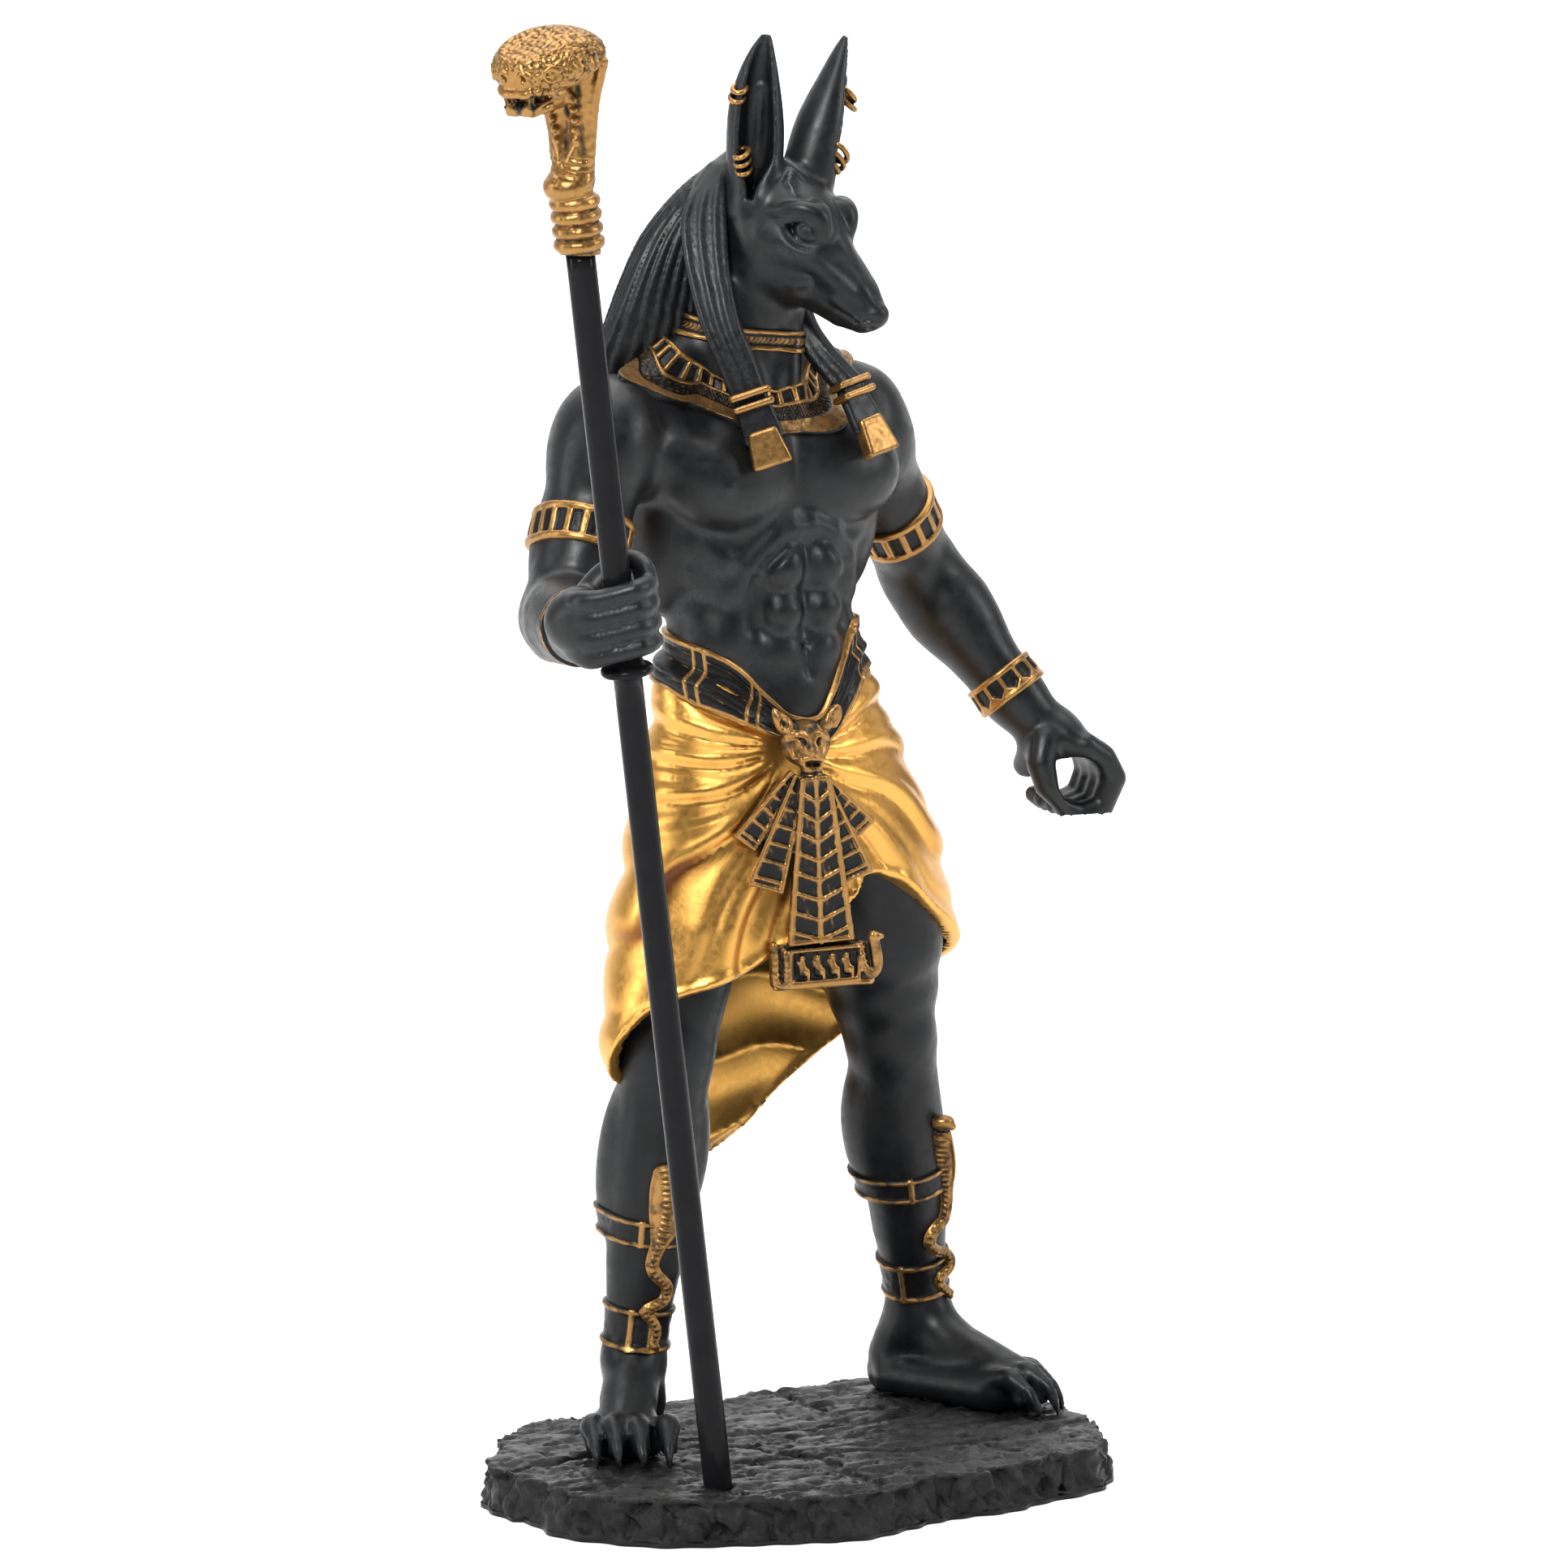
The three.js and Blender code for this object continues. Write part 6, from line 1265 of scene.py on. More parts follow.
def stone_finish():
    f = Finish("grey_flagstone")
    wear = f.math("MULTIPLY", f.step(f.value("edge"), 0.85, 1.6), f.step(f.noise(1.1, 6, 0.7), 0.42, 0.66))
    tone = f.blend(f.step(f.noise(7, 5), 0.35, 0.7), (0.0065, 0.0065, 0.0068), (0.012, 0.012, 0.0117))
    tone = f.blend(f.math("MULTIPLY", wear, 0.7), tone, (0.06, 0.06, 0.056))
    # Painted shade: the hollows of the stone, its joints, cracks and pits, are painted near black
    tone = f.blend(f.step(f.value("open"), 0.8, 0.35), tone, (0.002, 0.002, 0.002))
    f.set("Base Color", tone)
    f.set("Roughness", f.step(f.noise(2, 4), 0.3, 0.7, 0.3, 0.5))
    f.set("Specular IOR Level", 0.2)
    f.bump(f.noise(0.9, 5, 0.7), 0.3, 0.8)
    return f.material


def lacquer_finish():
    f = Finish("black_lacquer")
    f.set("Base Color", f.blend(f.noise(6, 3), (0.006, 0.006, 0.007), (0.012, 0.012, 0.013)))
    f.set("Roughness", f.step(f.noise(3, 4), 0.3, 0.75, 0.16, 0.24))
    f.set("Specular IOR Level", 0.07)
    f.bump(f.noise(1.4, 3), 0.02, 0.3)
    return f.material


BLACK = black_finish("satin_black", 0.34)
# Painted shade: the legs get a copy of the black paint that shines less, so they render darker than the body
BLACK_SHADED_LEGS = black_finish("satin_black_shaded_legs", 0.24)
ANTIQUE = antique_finish()
KILT_GOLD = kilt_finish()
STONE = stone_finish()
LACQUER = lacquer_finish()

# The pieces shaped as clay


def build_body():
    clay = Clay((-80, -54, 128), (92, 50, 248), 0.74)
    torso(clay)
    for side in SIDES:
        arm(clay, side)
    right_hand(clay)
    left_hand(clay)
    return clay


body = build_body()


def above_belt(p):
    return (p[:, 2] > along(BELT_ROWS, turn_of(p.T))[0] - 2) | (p[:, 0] > 45)


torso_piece = clay_object("torso", body, BLACK, keep=above_belt)
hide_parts("figure")

legs = Clay((-50, -34, 8), (74, 46, 132), 0.88)
for name in SIDES:
    leg(legs, name)
    foot(legs, name)
clay_object("legs", legs, BLACK_SHADED_LEGS, keep=lambda p: (p[:, 2] > SOLE) & (p[:, 2] < 128))

skull = Clay((-20, -20, 223), (32, 34, 291), 0.43)
torso(skull)
head(skull)
ear(skull, "right")
ear(skull, "left")
clay_object("head", skull, BLACK, keep=lambda p: p[:, 2] > 225)

hair = Clay((-34, -8, 180), (34, 46, 270), 0.52)
wig(hair)
lappet(hair, "right")
lappet(hair, "left")
clay_object("headdress", hair, BLACK)


def worn(p):
    """How gilt the points of a solid gold piece are"""
    return {"gilt": 0.86 + 0.12 * noise(p.T, 1.4) + 0.06 * noise(p.T, 0.6)}


ends = Clay((-16, -8, 202), (25, 8, 223), 0.34)
tassel(ends, "right")
tassel(ends, "left")
clay_object("tassels", ends, ANTIQUE, extra=worn)

rings = Clay((-10, 4, 260), (26, 22, 286), 0.28)
ear_rings(rings)
clay_object("ear_rings", rings, ANTIQUE, extra=worn)

cloth = Clay((-41, -12, 48), (52, 44, 174), 0.74)
kilt(cloth)
clay_object("kilt", cloth, KILT_GOLD)

front = Clay((-20, -16, 98), (20, 2, 162), 0.34)
apron(front)
buckle(front)


def raised(p):
    """Gold on the raised lines, and more of it on the beast's head than on the ribbons"""
    edge = np.clip(1 + front.at(p - front.slope(p) * 0.9) / 0.9, 0, 1)
    x, _, z = PLAQUE.local(p.T)
    solid = np.maximum(0.42 * smooth(141, 145, p[:, 2]), 0.6 * smooth(7.3, 8, np.abs(x)) * smooth(6.8, 6, z))
    return {"gilt": 0.1 + solid + smooth(0.04, 0.55, edge) + 0.16 * noise(p.T, 1.2)}


clay_object("apron", front, ANTIQUE, extra=raised)


def stone_relief(p, normal):
    """Chipped and tooled stone: ledges and scoops on the sides, flat strokes on the top"""
    side = 1 - smooth(0.55, 0.9, normal[:, 2])
    low, high = p[:, 2] > 0.6, p[:, 2] > 1.6
    turn = np.arctan2(p[:, 1], p[:, 0]) * 60
    chip = np.stack([turn, 0 * turn, p[:, 2]], -1)
    facets, next_facet = cells(chip * np.array([0.75, 1, 0.5]), 4.2)
    small, _ = cells(chip * np.array([1, 1, 0.7]), 1.9)
    ledge = smooth(0.0, 0.5, next_facet - facets)
    rough = 0.8 * noise(chip.T, 5) - 0.3 * facets + 1.1 * ledge + 0.5 * noise(p.T, 2) - 0.35 * small - 0.4
    strokes = 0.55 * noise(p.T * np.array([[0.3], [1], [1]]), 1.7)
    strokes = strokes + 0.2 * noise(p.T, 1) + 0.25 * noise(p.T, 6)
    plates, next_plate = cells((p + 0.6 * noise(p.T, 4)[:, None]) * np.array([0.7, 1, 0]), 9)
    seam = smooth(0.5, 0.1, next_plate - plates)
    pits = -1.6 * smooth(1.05, 1.5, noise(p.T, 2.6, 3)) - 0.55 * seam
    top = np.minimum(strokes + pits, 0.24)
    height = np.where(low, side * rough * 0.9 * (0.4 + 0.6 * high) + (1 - side) * top, 0)
    rim = smooth(7.6, 8.8, p[:, 2]) * smooth(0.98, 0.7, normal[:, 2]) * smooth(-0.2, 0.4, normal[:, 2])
    return height, {"edge": np.clip(0.25 + 0.9 * height + 0.45 * rim + 0.1 * side, 0, 1)}


def scale_relief(p, normal):
    """Rounded scales over the cobra's hood and head, smooth rings and lips"""
    x, y, z = COBRA.local(p.T)
    nearest, second = cells(p, 1.5)
    gap = smooth(0.0, 0.26, second - nearest)
    snout = smooth(9.6, 11.4, x) * smooth(3.9, 3, np.abs(y)) * smooth(37.8, 37, z)
    eye = smooth(2.1, 1.7, np.sqrt((x - 11.5) ** 2 + (np.abs(y) - 7.3) ** 2 + (z - 36.4) ** 2))
    hood = smooth(0.4, 1.2, z - 35.5 + 0.39 * x) * (1 - np.maximum(snout, eye))
    grain = 0.05 * noise(p.T, 0.7)
    neck = smooth(16.5, 18.5, z) * smooth(32.5, 31, z)
    front = neck * smooth(-0.1, 0.5, normal @ COBRA.axes[0])
    across = np.abs(y)
    grooves = np.exp(-((across - 3.7) / 0.55) ** 2) + np.exp(-(across / 0.8) ** 2)
    lines = np.maximum(np.cos(2 * math.pi * (z + 0.3 * y) / 1.15), 0)
    hatch = smooth(13.6, 14.6, z) * smooth(18.6, 17.4, z) * lines ** 2
    jaws = smooth(6.5, 8, x) * smooth(29.7, 30.4, z) * smooth(32.8, 32.2, z)
    between = smooth(0.32, 0.46, np.abs(((z - 1) / 2.68 + 0.5) % 1 - 0.5)) * smooth(10.6, 10, z)
    gilt = 1.02 - hood * 0.6 * (1 - gap) - 0.55 * grooves * front - 0.3 * hatch - 0.35 * jaws - 0.5 * between
    height = hood * 0.4 * (gap - 0.4) + grain - 0.3 * grooves * front - 0.22 * hatch
    return height, {"gilt": gilt + 0.15 * noise(p.T, 1.6)}


stone = Clay((-74, -54, -2), (74, 56, 11), 0.75)
slab(stone)
stone_piece = clay_object("flagstone", stone, STONE, keep=lambda p: p[:, 2] > 0, relief=stone_relief)
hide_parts("base")


def underside():
    count = 360
    turn = np.linspace(0, 2 * math.pi, count + 1)[:-1]
    degrees = (np.degrees(turn) + 180) % 360 - 180
    reach = slab_reach(degrees, 0.4) + 0.1
    across, along_y = reach * np.cos(turn), reach * np.sin(turn)
    rim = np.stack([SLAB_MIDDLE[0] + across, SLAB_MIDDLE[1] + along_y, 0 * turn], -1)
    lip = rim + vec(0, 0, 0.9)
    points = np.concatenate([rim, lip, [[*SLAB_MIDDLE, 0]]])
    i = np.arange(count)
    k = (i + 1) % count
    fan = np.stack([i, np.full(count, 2 * count), k], -1)
    wall = np.concatenate([np.stack([i, k, count + k], -1), np.stack([i, count + k, count + i], -1)])
    one = np.ones(len(points))
    mesh_object("flagstone_underside", points, np.concatenate([fan, wall]), STONE,
                {"open": one, "edge": 0.2 * one, "shade": one}, smooth_shade=False)


underside()


def turned_rod():
    length = np.linalg.norm(rod_at(ROD_TOP) - vec(*ROD_FOOT))
    flange = np.linalg.norm(rod_at(FLANGE_Z) - vec(*ROD_FOOT))
    steps = np.linspace(0, flange - 2.6, 30)
    profile = [(0.02, -1)] + [(ROD_RADIUS, s) for s in np.concatenate([[-1], steps])]
    for a in np.linspace(-80, 80, 9):
        profile.append((FLANGE_RADIUS - 0.9 + 0.9 * math.cos(math.radians(a)),
                        flange - 1.1 + 0.95 * math.sin(math.radians(a))))
    profile += [(ROD_RADIUS + 0.7, flange + 0.1), (ROD_RADIUS + 0.35, flange + 1.4),
                (ROD_RADIUS, flange + 1.6)]
    profile += [(ROD_RADIUS, s) for s in np.linspace(flange + 3, length, 22)] + [(0.02, length)]
    turn = np.linspace(0, 2 * math.pi, ROD_SIDES + 1)[:-1]
    east = unit(np.cross(ROD_AXIS, (0, 1, 0)))
    north = np.cross(ROD_AXIS, east)
    radius, height = (np.array(v)[:, None, None] for v in zip(*profile))
    spokes = np.cos(turn)[None, :, None] * east + np.sin(turn)[None, :, None] * north
    points = (vec(*ROD_FOOT) + height * ROD_AXIS + radius * spokes).reshape(-1, 3)
    one = np.ones(len(points))
    piece = mesh_object("staff_rod", points, grid_faces(len(profile), ROD_SIDES)[:, ::-1], LACQUER,
                        {"open": one, "edge": 0 * one, "shade": one})
    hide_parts("staff_shaft")


turned_rod()

crest = Clay((-112, -64, 250), (-64, -22, 300), 0.34)
finial(crest)
crest_piece = clay_object("cobra_finial", crest, ANTIQUE, keep=lambda p: p[:, 2] > ROD_TOP - 1,
                          relief=scale_relief)
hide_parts("staff_finial")

# Cobras rising up the shins: places along the belly, then the half width at shares of the length
SHIN_COBRAS = {"right": ([(-27.7, 5.2, 66), (-27, 5.6, 62.6), (-26.6, 6.2, 58.4), (-26.7, 6.9, 54.6),
                          (-27.3, 7.8, 50.9), (-28.1, 8.6, 48), (-28.2, 9, 45.9), (-27.1, 9, 44),
                          (-25.1, 9.2, 42.3), (-24.1, 9.9, 40.3), (-25, 10.2, 38.4), (-27.1, 10.6, 37.6),
                          (-28.6, 11.2, 36.6), (-27.3, 11.2, 35.2), (-26, 11.2, 33.4), (-25.7, 11.4, 31.4),
                          (-26.4, 11.4, 30.1), (-25.5, 11.4, 28.6)],
                         [(0, 2.2), (0.08, 3.3), (0.2, 3.5), (0.3, 2.6), (0.37, 1.5), (0.45, 1.2),
                          (0.7, 1.0), (0.9, 0.8), (1, 0.6)]),
               "left": ([(41.9, 9, 67), (42.3, 9, 64.8), (43.4, 10.4, 61.1), (45, 12, 57.3),
                         (46.2, 13, 54.1), (46.9, 13.8, 50.2), (46.7, 14.4, 47), (44.9, 14, 45.6),
                         (43.4, 14.2, 43.8), (43.7, 14.8, 41.8), (46, 15.8, 40.2), (49.2, 17.2, 39.2),
                         (51, 18, 37.3), (50.3, 17.9, 35.6), (48.4, 17.9, 34.3), (48.6, 18.3, 32.5),
                         (51, 19.2, 30.8), (52.6, 19.8, 29.5)],
                        [(0, 1.6), (0.08, 2.3), (0.16, 2.6), (0.24, 2.2), (0.3, 1.4), (0.4, 1.1),
                         (0.7, 1.0), (0.9, 0.85), (1, 0.9)])}


def shin_cobra(clay, side):
    path, widths = SHIN_COBRAS[side]
    line = curve(path, 12)
    steps = np.concatenate([[0], np.cumsum(np.linalg.norm(np.diff(line, axis=0), axis=1))])
    even = np.arange(0, steps[-1], 0.42)
    line = np.stack([np.interp(even, steps, line[:, i]) for i in range(3)], -1)
    run = np.gradient(line, axis=0)
    wide = along(widths, even / steps[-1])[0]
    out = vec(*VIEWER)
    edges = ([], [])
    for i, (p, d, w) in enumerate(zip(line, run, wide)):
        down = unit(d)
        face = unit(out - down * (out @ down))
        across = np.cross(down, face)
        at = Frame(p, across, face, down)
        if i % 2 == 0:
            clay.join(ellipsoid((0, -0.3, 0), (w, min(w, 0.9), 0.9), at), 0.2)
        if i % 3 == 0:
            clay.join(ellipsoid((0, 0.45, 0), (min(w * 0.62, 1.35), 0.5, 0.42), at), 0.08)
        for edge, s in zip(edges, (-1, 1)):
            edge.append((*(p + across * w * 0.92 * s), 0.34))
    for edge in edges:
        clay.join(limb(edge[::2]), 0.1)


serpents = {}
for name, low, high in (("right", (-34, 1, 26), (-20, 16, 70)), ("left", (36, 4, 26), (57, 25, 72))):
    serpents[name] = Clay(low, high, 0.27)
    shin_cobra(serpents[name], name)
snout = Form(serpents["left"], Frame((41.6, 8.4, 67.6), unit((0.819, -0.574, -0.12)), unit(VIEWER),
                                     (0, 0, 1)))
snout.ball((0.4, 0, 0.5), (2.4, 1.9, 1.6), 0.3)
snout.tube([(0, 0.2, 0.2, 1.4), (2.4, 0.2, -0.1, 0.8)], 0.4)
snout.groove([(3.4, 1.5, -0.5, 0.15), (1, 1.9, -0.6, 0.2)], 0.2)
snout.ball((0.8, 1.5, 0.8), (0.55, 0.5, 0.5), 0.1)
for name, clay in serpents.items():
    clay_object("shin_cobra_" + name, clay, ANTIQUE, depth=0.5,
                extra=lambda p: {"gilt": 0.75 + 0.15 * noise(p.T, 1.2)})

# Ornaments laid on the clay as relief


def blur(values, size, closed):
    """Running mean over rows 2 size + 1 long, along the last axis"""
    if closed:
        pad = np.concatenate([values[..., -size:], values, values[..., :size]], -1)
    else:
        pad = np.pad(values, [(0, 0)] * (values.ndim - 1) + [(size, size)], mode="edge")
    total = np.cumsum(np.concatenate([np.zeros_like(pad[..., :1]), pad], -1), -1)
    return (total[..., 2 * size + 1:] - total[..., :-2 * size - 1]) / (2 * size + 1)


# How deep the edges of a relief go into the clay
SUNK = 0.9


def relief_object(name, surface, out, height, gilt):
    """A skin of points raised off a surface by height, its first and last rows sunk into it"""
    height = height.copy()
    height[0], height[-1] = -SUNK, -SUNK
    grain = noise(np.moveaxis(surface, -1, 0), 1.1) * 0.035 + noise(np.moveaxis(surface, -1, 0), 0.5) * 0.015
    points = surface + out * (height + grain)[..., None]
    mesh_object(name, points.reshape(-1, 3), grid_faces(*height.shape), ANTIQUE,
                {"gilt": gilt.ravel()})


def spread(width, cell, edge=0.12):
    """Places across a band, with one extra row beyond each edge"""
    rows = np.linspace(0, width, max(int(width / cell), 4) + 1)
    return np.concatenate([[0, 0], rows[1:-1], [width, width]]) + np.concatenate(
        [[-edge, 0], np.zeros(len(rows) - 2), [0, edge]])


BAND_CELL = 0.25


def limb_band(name, clay, a, b, middle, width, design, reach=18, thick=0.8):
    """A band round a limb from a to b; design(u, v, round) gives its height and gilding"""
    a, b = vec(*a), vec(*b)
    axis = unit(b - a)
    centre = a + (b - a) * middle
    east = unit(vec(*VIEWER) - axis * (vec(*VIEWER) @ axis))
    north = np.cross(axis, east)
    v = spread(width, BAND_CELL)
    about = clay.exits(centre + 0 * east[None], east[None], reach)[0]
    count = int(2 * math.pi * about / BAND_CELL)
    turn = np.arange(count) * 2 * math.pi / count
    direction = np.cos(turn)[:, None] * east + np.sin(turn)[:, None] * north
    start = centre + (v[:, None, None] - width / 2) * axis
    start = np.broadcast_to(start, (len(v), count, 3))
    direction = np.broadcast_to(direction[None], start.shape)
    r = clay.exits(start, direction, reach)
    even = blur(r.mean(0, keepdims=True), count // 24, True)
    r = np.maximum(r, even - 0.15) + thick
    around = turn[None, :] * r.mean()
    height, gilt = design(around, v[:, None] + 0 * around, 2 * math.pi * r.mean())
    relief_object(name, start + direction * r[..., None], direction, height, gilt)


def windows(u, pitch, bar):
    """1 inside the openings of a row of bars"""
    part = (u / pitch) % 1
    half = 0.5 - bar / pitch / 2
    return smooth(0, 0.14 / pitch, half - np.abs(part - 0.5))


def rims_at(v, width, rim, share):
    """Two rounded rims along the edges of a band"""
    return sum(np.exp(-((side - rim / 2) / (rim * share)) ** 4) for side in (v, width - v))


def frame_design(width, rim, pitch, bar, arch=0.0):
    """Two raised rims and a row of openings between them"""
    def design(u, v, round_length):
        step = round_length / max(round(round_length / pitch), 1)
        opening = windows(u, step, bar)
        lift = arch * (1 - np.abs(((u / step) % 1) - 0.5) * 2)
        between = smooth(rim, rim + 0.25, v) * smooth(rim, rim + 0.25, width - v - arch + lift)
        rims = rims_at(v, width, rim, 0.42)
        height = 0.22 * rims - 0.6 * opening * between
        return height, 1.05 * (1 - opening * between) - 0.12 * (1 - rims)
    return design


def plain_design(width, rim, bars=(), bar=1.2):
    """Two raised rims on a dark ground, with single upright bars (places round the band, 0 to 1)"""
    def design(u, v, round_length):
        rims = rims_at(v, width, rim, 0.45)
        upright = 0 * u
        for place in bars:
            off = (u / round_length - place + 0.5) % 1 - 0.5
            upright = np.maximum(upright, smooth(bar / 2 + 0.15, bar / 2 - 0.1, np.abs(off) * round_length))
        wear = 0.75 + 0.25 * np.sin(u * 1.3) * np.sin(u * 0.37 + 1)
        height = np.maximum(0.4 * rims, 0.4 * upright) - 0.35
        return height, np.maximum(rims, upright) * wear
    return design


limb_band("armband_right", body, SHOULDER["right"], ELBOW["right"], 0.55, 7.6,
          frame_design(7.6, 1.4, 3.7, 1.3))
limb_band("armband_left", body, SHOULDER["left"], ELBOW["left"], 0.62, 7.4, frame_design(7.4, 1.35, 3.7, 1.2))
limb_band("bracelet_left", body, ELBOW["left"], WRIST["left"], 0.93, 6,
          frame_design(6, 1.1, 4, 0.9, arch=1.4), reach=12)
limb_band("bracelet_right", body, ELBOW["right"], WRIST["right"], 0.86, 4.8, plain_design(4.8, 1.1), reach=14)
for name, bars, ankle_bars, places in (("right", (0.02,), (0.03, 0.93), (0.575, 0.902)),
                                       ("left", (0.98,), (0.06,), (0.515, 0.88))):
    limb_band("shin_band_" + name, legs, KNEE[name], ANKLE[name], places[0], 5.4,
              plain_design(5.4, 1.1, bars, 1.2))
    limb_band("ankle_band_" + name, legs, KNEE[name], ANKLE[name], places[1], 8.4,
              plain_design(8.4, 1.2, ankle_bars, 1.1))


def choker_design(u, v, round_length):
    rims = plateau(0.1, 0.95, 0.15, v) + plateau(3.25, 4.1, 0.15, v)
    middle = plateau(1.35, 2.85, 0.15, v)
    scratch = np.cos(2 * math.pi * (u / 2.3 + 0.3 * np.sin(v * 2))) ** 8
    height = 0.35 * rims + 0.12 * middle - 0.12 * middle * scratch - 0.2
    return height, np.maximum(rims, 0.62 * middle - 0.3 * scratch)


limb_band("choker", skull, (-0.9, 20.2, 226.6), (-0.2, 19.05, 233.6), 0.5, 4.2, choker_design, reach=20,
          thick=0.5)

COLLAR_AXIS = (0.5, 19.5, 213)
COLLAR_WIDTH = 9.6
# Rows: degrees from the front towards the right side, then the tilt from upright of both edges
COLLAR_ROWS = [
    (-90, 50, 68), (-76, 51, 72), (-57, 56, 84), (-37, 61, 97), (-10, 66, 101), (10, 66, 100), (36, 61, 92),
    (56, 56, 85), (78, 50, 75), (90, 48, 70), (120, 45, 68), (180, 43, 71), (240, 46, 68), (270, 50, 68),
    (284, 51, 72),
]


def collar():
    count = 619
    turn = np.arange(count) * 2 * math.pi / count
    degrees = np.degrees(turn)
    degrees = np.where(degrees > 275, degrees - 360, degrees)
    inner, outer_edge = along(COLLAR_ROWS, degrees)
    v = spread(1, 1 / 46, 0.02)
    tilt = np.radians(inner[None] + np.linspace(-0.1, 1.1, 60)[:, None] * (outer_edge - inner)[None])
    direction = np.stack([-np.sin(turn) * np.sin(tilt), -np.cos(turn) * np.sin(tilt), np.cos(tilt)], -1)
    start = np.broadcast_to(vec(*COLLAR_AXIS), direction.shape)
    r = body.exits(start, direction, 60, 0.4)
    r = np.moveaxis(blur(np.moveaxis(blur(r, 9, True), 0, 1), 2, False), 1, 0)
    profile = start + direction * r[..., None]
    steps = np.concatenate([np.zeros((1, count)),
                            np.cumsum(np.linalg.norm(np.diff(profile, axis=0), axis=-1), 0)])
    surface = np.empty((len(v), count, 3))
    for c in range(count):
        s = steps[-1, c] * (v * 10 / 12 + 1 / 12)
        for axis in range(3):
            surface[:, c, axis] = np.interp(s, steps[:, c], profile[:, c, axis])
    out = body.slope(surface, 2.4)
    across = v[:, None] * COLLAR_WIDTH + 0 * turn
    ring = surface[len(v) // 5]
    lengths = np.linalg.norm(np.roll(ring, -1, axis=0) - ring, axis=-1)
    round_length = lengths.sum()
    spot = (np.cumsum(lengths) - lengths)[None, :]
    step = round_length / round(round_length / 3.0)
    opening = windows(spot, step, 0.9) * smooth(0.5, 0.7, across) * smooth(3.1, 2.9, across)
    rims = plateau(0, 0.45, 0.08, across) + plateau(3.15, 3.6, 0.1, across)
    zig = np.abs(((spot / (step * 0.7)) % 1) * 2 - 1) * 2.2
    ground = plateau(3.7, 6.3, 0.1, across)
    lines = ground * smooth(0.34, 0.12, np.abs(((across - 3.9 + zig) % 1.3) - 0.65))
    outer = plateau(6.5, COLLAR_WIDTH, 0.1, across)
    height = 1.05 - 0.65 * opening + 0.2 * rims - 0.3 * ground + 0.28 * lines
    height = height + outer * (0.12 + 0.18 * plateau(9.0, 9.7, 0.15, across))
    gilt = 0.86 * (1 - opening) * smooth(3.7, 3.5, across) + 0.42 * lines + 0.12 * ground + 0.62 * outer
    relief_object("collar", surface, out, height, gilt)


collar()

# How far out the belt's rays start
BELT_REACH = 45


def belt():
    count = 620
    turn = np.arange(count) * 2 * math.pi / count
    degrees = np.degrees(turn)
    degrees = np.where(degrees > 330, degrees - 360, degrees)
    middle, half = along(BELT_ROWS, degrees)
    v = spread(2, 2 / 38, 0.03) - 1
    direction = np.stack([-np.sin(turn), -np.cos(turn), 0 * turn], -1)
    direction = np.broadcast_to(direction[None], (len(v), count, 3))
    height_at = middle[None] + v[:, None] * half[None]
    start = np.stack([KILT_CENTRE[0] + 0 * height_at, KILT_CENTRE[1] + 0 * height_at, height_at],
                     -1) + direction * BELT_REACH
    hips = Clay((-34, -14, 140), (44, 46, 182), 0.8)
    torso(hips)
    kilt(hips)
    r = hips.exits(start, -direction, BELT_REACH - 1, 0.4, -1)
    r = blur(np.moveaxis(blur(np.moveaxis(r, 0, 1), 3, False), 1, 0), 8, True)
    surface = start - direction * r[..., None]
    across = v[:, None] * half[None]
    edge = half[None] - np.abs(across)
    rims = smooth(1.0, 0.7, edge)
    strand = np.abs(np.sin(math.pi * (v[:, None] * 2 + 0.25 * np.sin(turn * 3)[None])))
    cross, plain = 0 * across, 0 * across
    for place in (-47, 46, 73, 128, 180, 232):
        off = np.abs((degrees[None] - place + 180) % 360 - 180) * 0.4
        cross = np.maximum(cross, smooth(1.5, 1.3, off) * smooth(0.6, 0.85, off))
        plain = np.maximum(plain, smooth(0.85, 0.6, off))
    raised = np.maximum(rims, cross)
    height = 0.7 + 0.42 * strand ** 0.6 * (1 - np.maximum(raised, plain)) + 0.5 * raised + 0.25 * plain
    thread = smooth(0.34, 0.14, strand) * (0.6 + 0.4 * np.sin(turn * 37)[None])
    gilt = np.maximum(np.maximum(0.85 * raised, 0.55 * thread * (1 - plain)), 0.3 * plain)
    relief_object("belt", surface, direction, height, gilt)


belt()

# Stage, light and camera

# The camera stands 35 degrees to the figure's right and 8 degrees up
CAMERA_TURN = 35
RIGHT = unit((0.819, -0.574, 0))
BACK = unit((-0.568, -0.811, 0.139))
LOOK_AT = vec(0, 0, 140.9) - 2.6 * RIGHT
CAMERA_DISTANCE = 2000
FOCAL_PIXELS = 12500
PICTURE_PIXELS = 1932


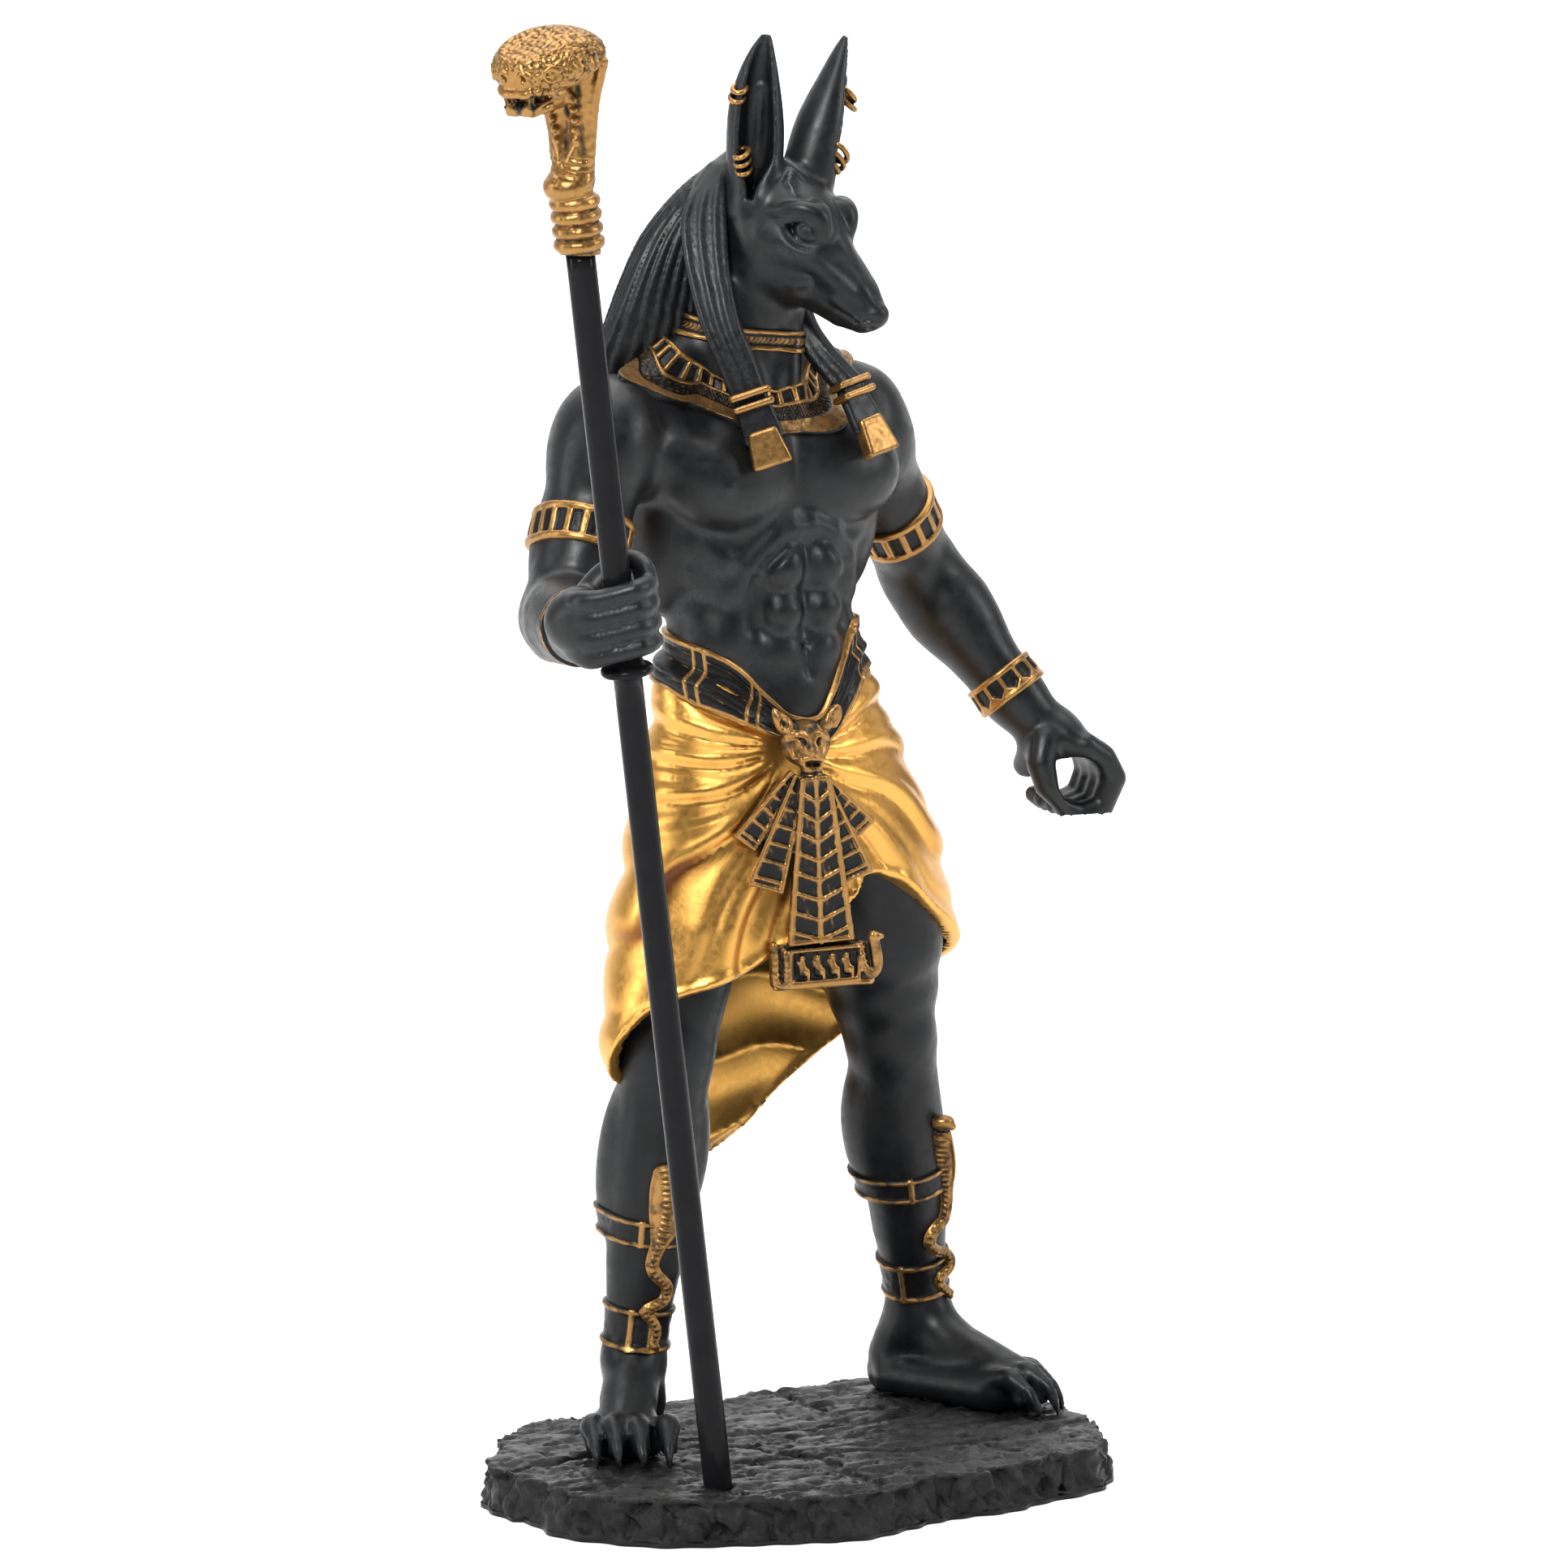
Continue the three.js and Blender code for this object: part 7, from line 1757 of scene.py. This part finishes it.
def stage_and_light():
    mesh = bpy.data.meshes.new("floor")
    rows = [(y, 0.0) for y in (-2.5, 0.0, 0.7)]
    rows += [(0.7 + 0.8 * math.sin(a), 0.8 - 0.8 * math.cos(a)) for a in np.linspace(0.15, math.pi / 2, 12)]
    rows += [(1.5, 3.0)]
    points = [(x, y, z) for y, z in rows for x in (-4.0, 4.0)]
    faces = [(2 * i, 2 * i + 1, 2 * i + 3, 2 * i + 2) for i in range(len(rows) - 1)]
    mesh.from_pydata(points, [], faces)
    floor = bpy.data.objects.new("floor", mesh)
    floor.rotation_euler = (0, 0, math.radians(-CAMERA_TURN))
    bpy.context.scene.collection.objects.link(floor)
    f = Finish("pale_floor")
    f.set("Base Color", f.blend(f.noise(300, 2), (0.86, 0.86, 0.86), (0.9, 0.9, 0.9)))
    f.set("Roughness", 0.7)
    floor.data.materials.append(f.material)
    for polygon in mesh.polygons:
        polygon.use_smooth = True
    world = bpy.data.worlds.new("studio")
    bpy.context.scene.world = world
    world.use_nodes = True
    world.node_tree.nodes["Background"].inputs["Color"].default_value = (1, 1, 1, 1)
    world.node_tree.nodes["Background"].inputs["Strength"].default_value = 0.12


def area_light(name, place, towards, size, power):
    light = bpy.data.lights.new(name, "AREA")
    light.shape = "RECTANGLE"
    light.size, light.size_y = size
    light.energy = power
    item = bpy.data.objects.new(name, light)
    item.location = place
    item.rotation_euler = (Vector(towards) - Vector(place)).to_track_quat("-Z", "Y").to_euler()
    bpy.context.scene.collection.objects.link(item)


def camera():
    data = bpy.data.cameras.new("camera")
    data.sensor_fit = "HORIZONTAL"
    data.sensor_width = 36
    data.lens = data.sensor_width * FOCAL_PIXELS / PICTURE_PIXELS
    data.clip_end = 20
    item = bpy.data.objects.new("camera", data)
    up = np.cross(BACK, RIGHT)
    turn = Matrix([[RIGHT[i], up[i], BACK[i]] for i in range(3)]).to_4x4()
    item.matrix_world = Matrix.Translation(Vector((LOOK_AT + CAMERA_DISTANCE * BACK) * MM)) @ turn
    bpy.context.scene.collection.objects.link(item)
    bpy.context.scene.camera = item


stage_and_light()
area_light("key", (-1.3, -1.0, 1.5), (0, 0, 0.17), (0.6, 0.6), 40)
area_light("fill", (1.2, -1.1, 0.9), (0, 0, 0.15), (0.4, 1.1), 12)
area_light("top", (0.3, 0.5, 2.3), (0.3, 0.5, 0), (2.4, 2.4), 75)
area_light("side", (-1.3, 0.6, 0.6), (0, 0, 0.15), (0.4, 1.2), 8)
camera()
bpy.context.scene.view_settings.view_transform = "Standard"

bpy.context.view_layer.update()
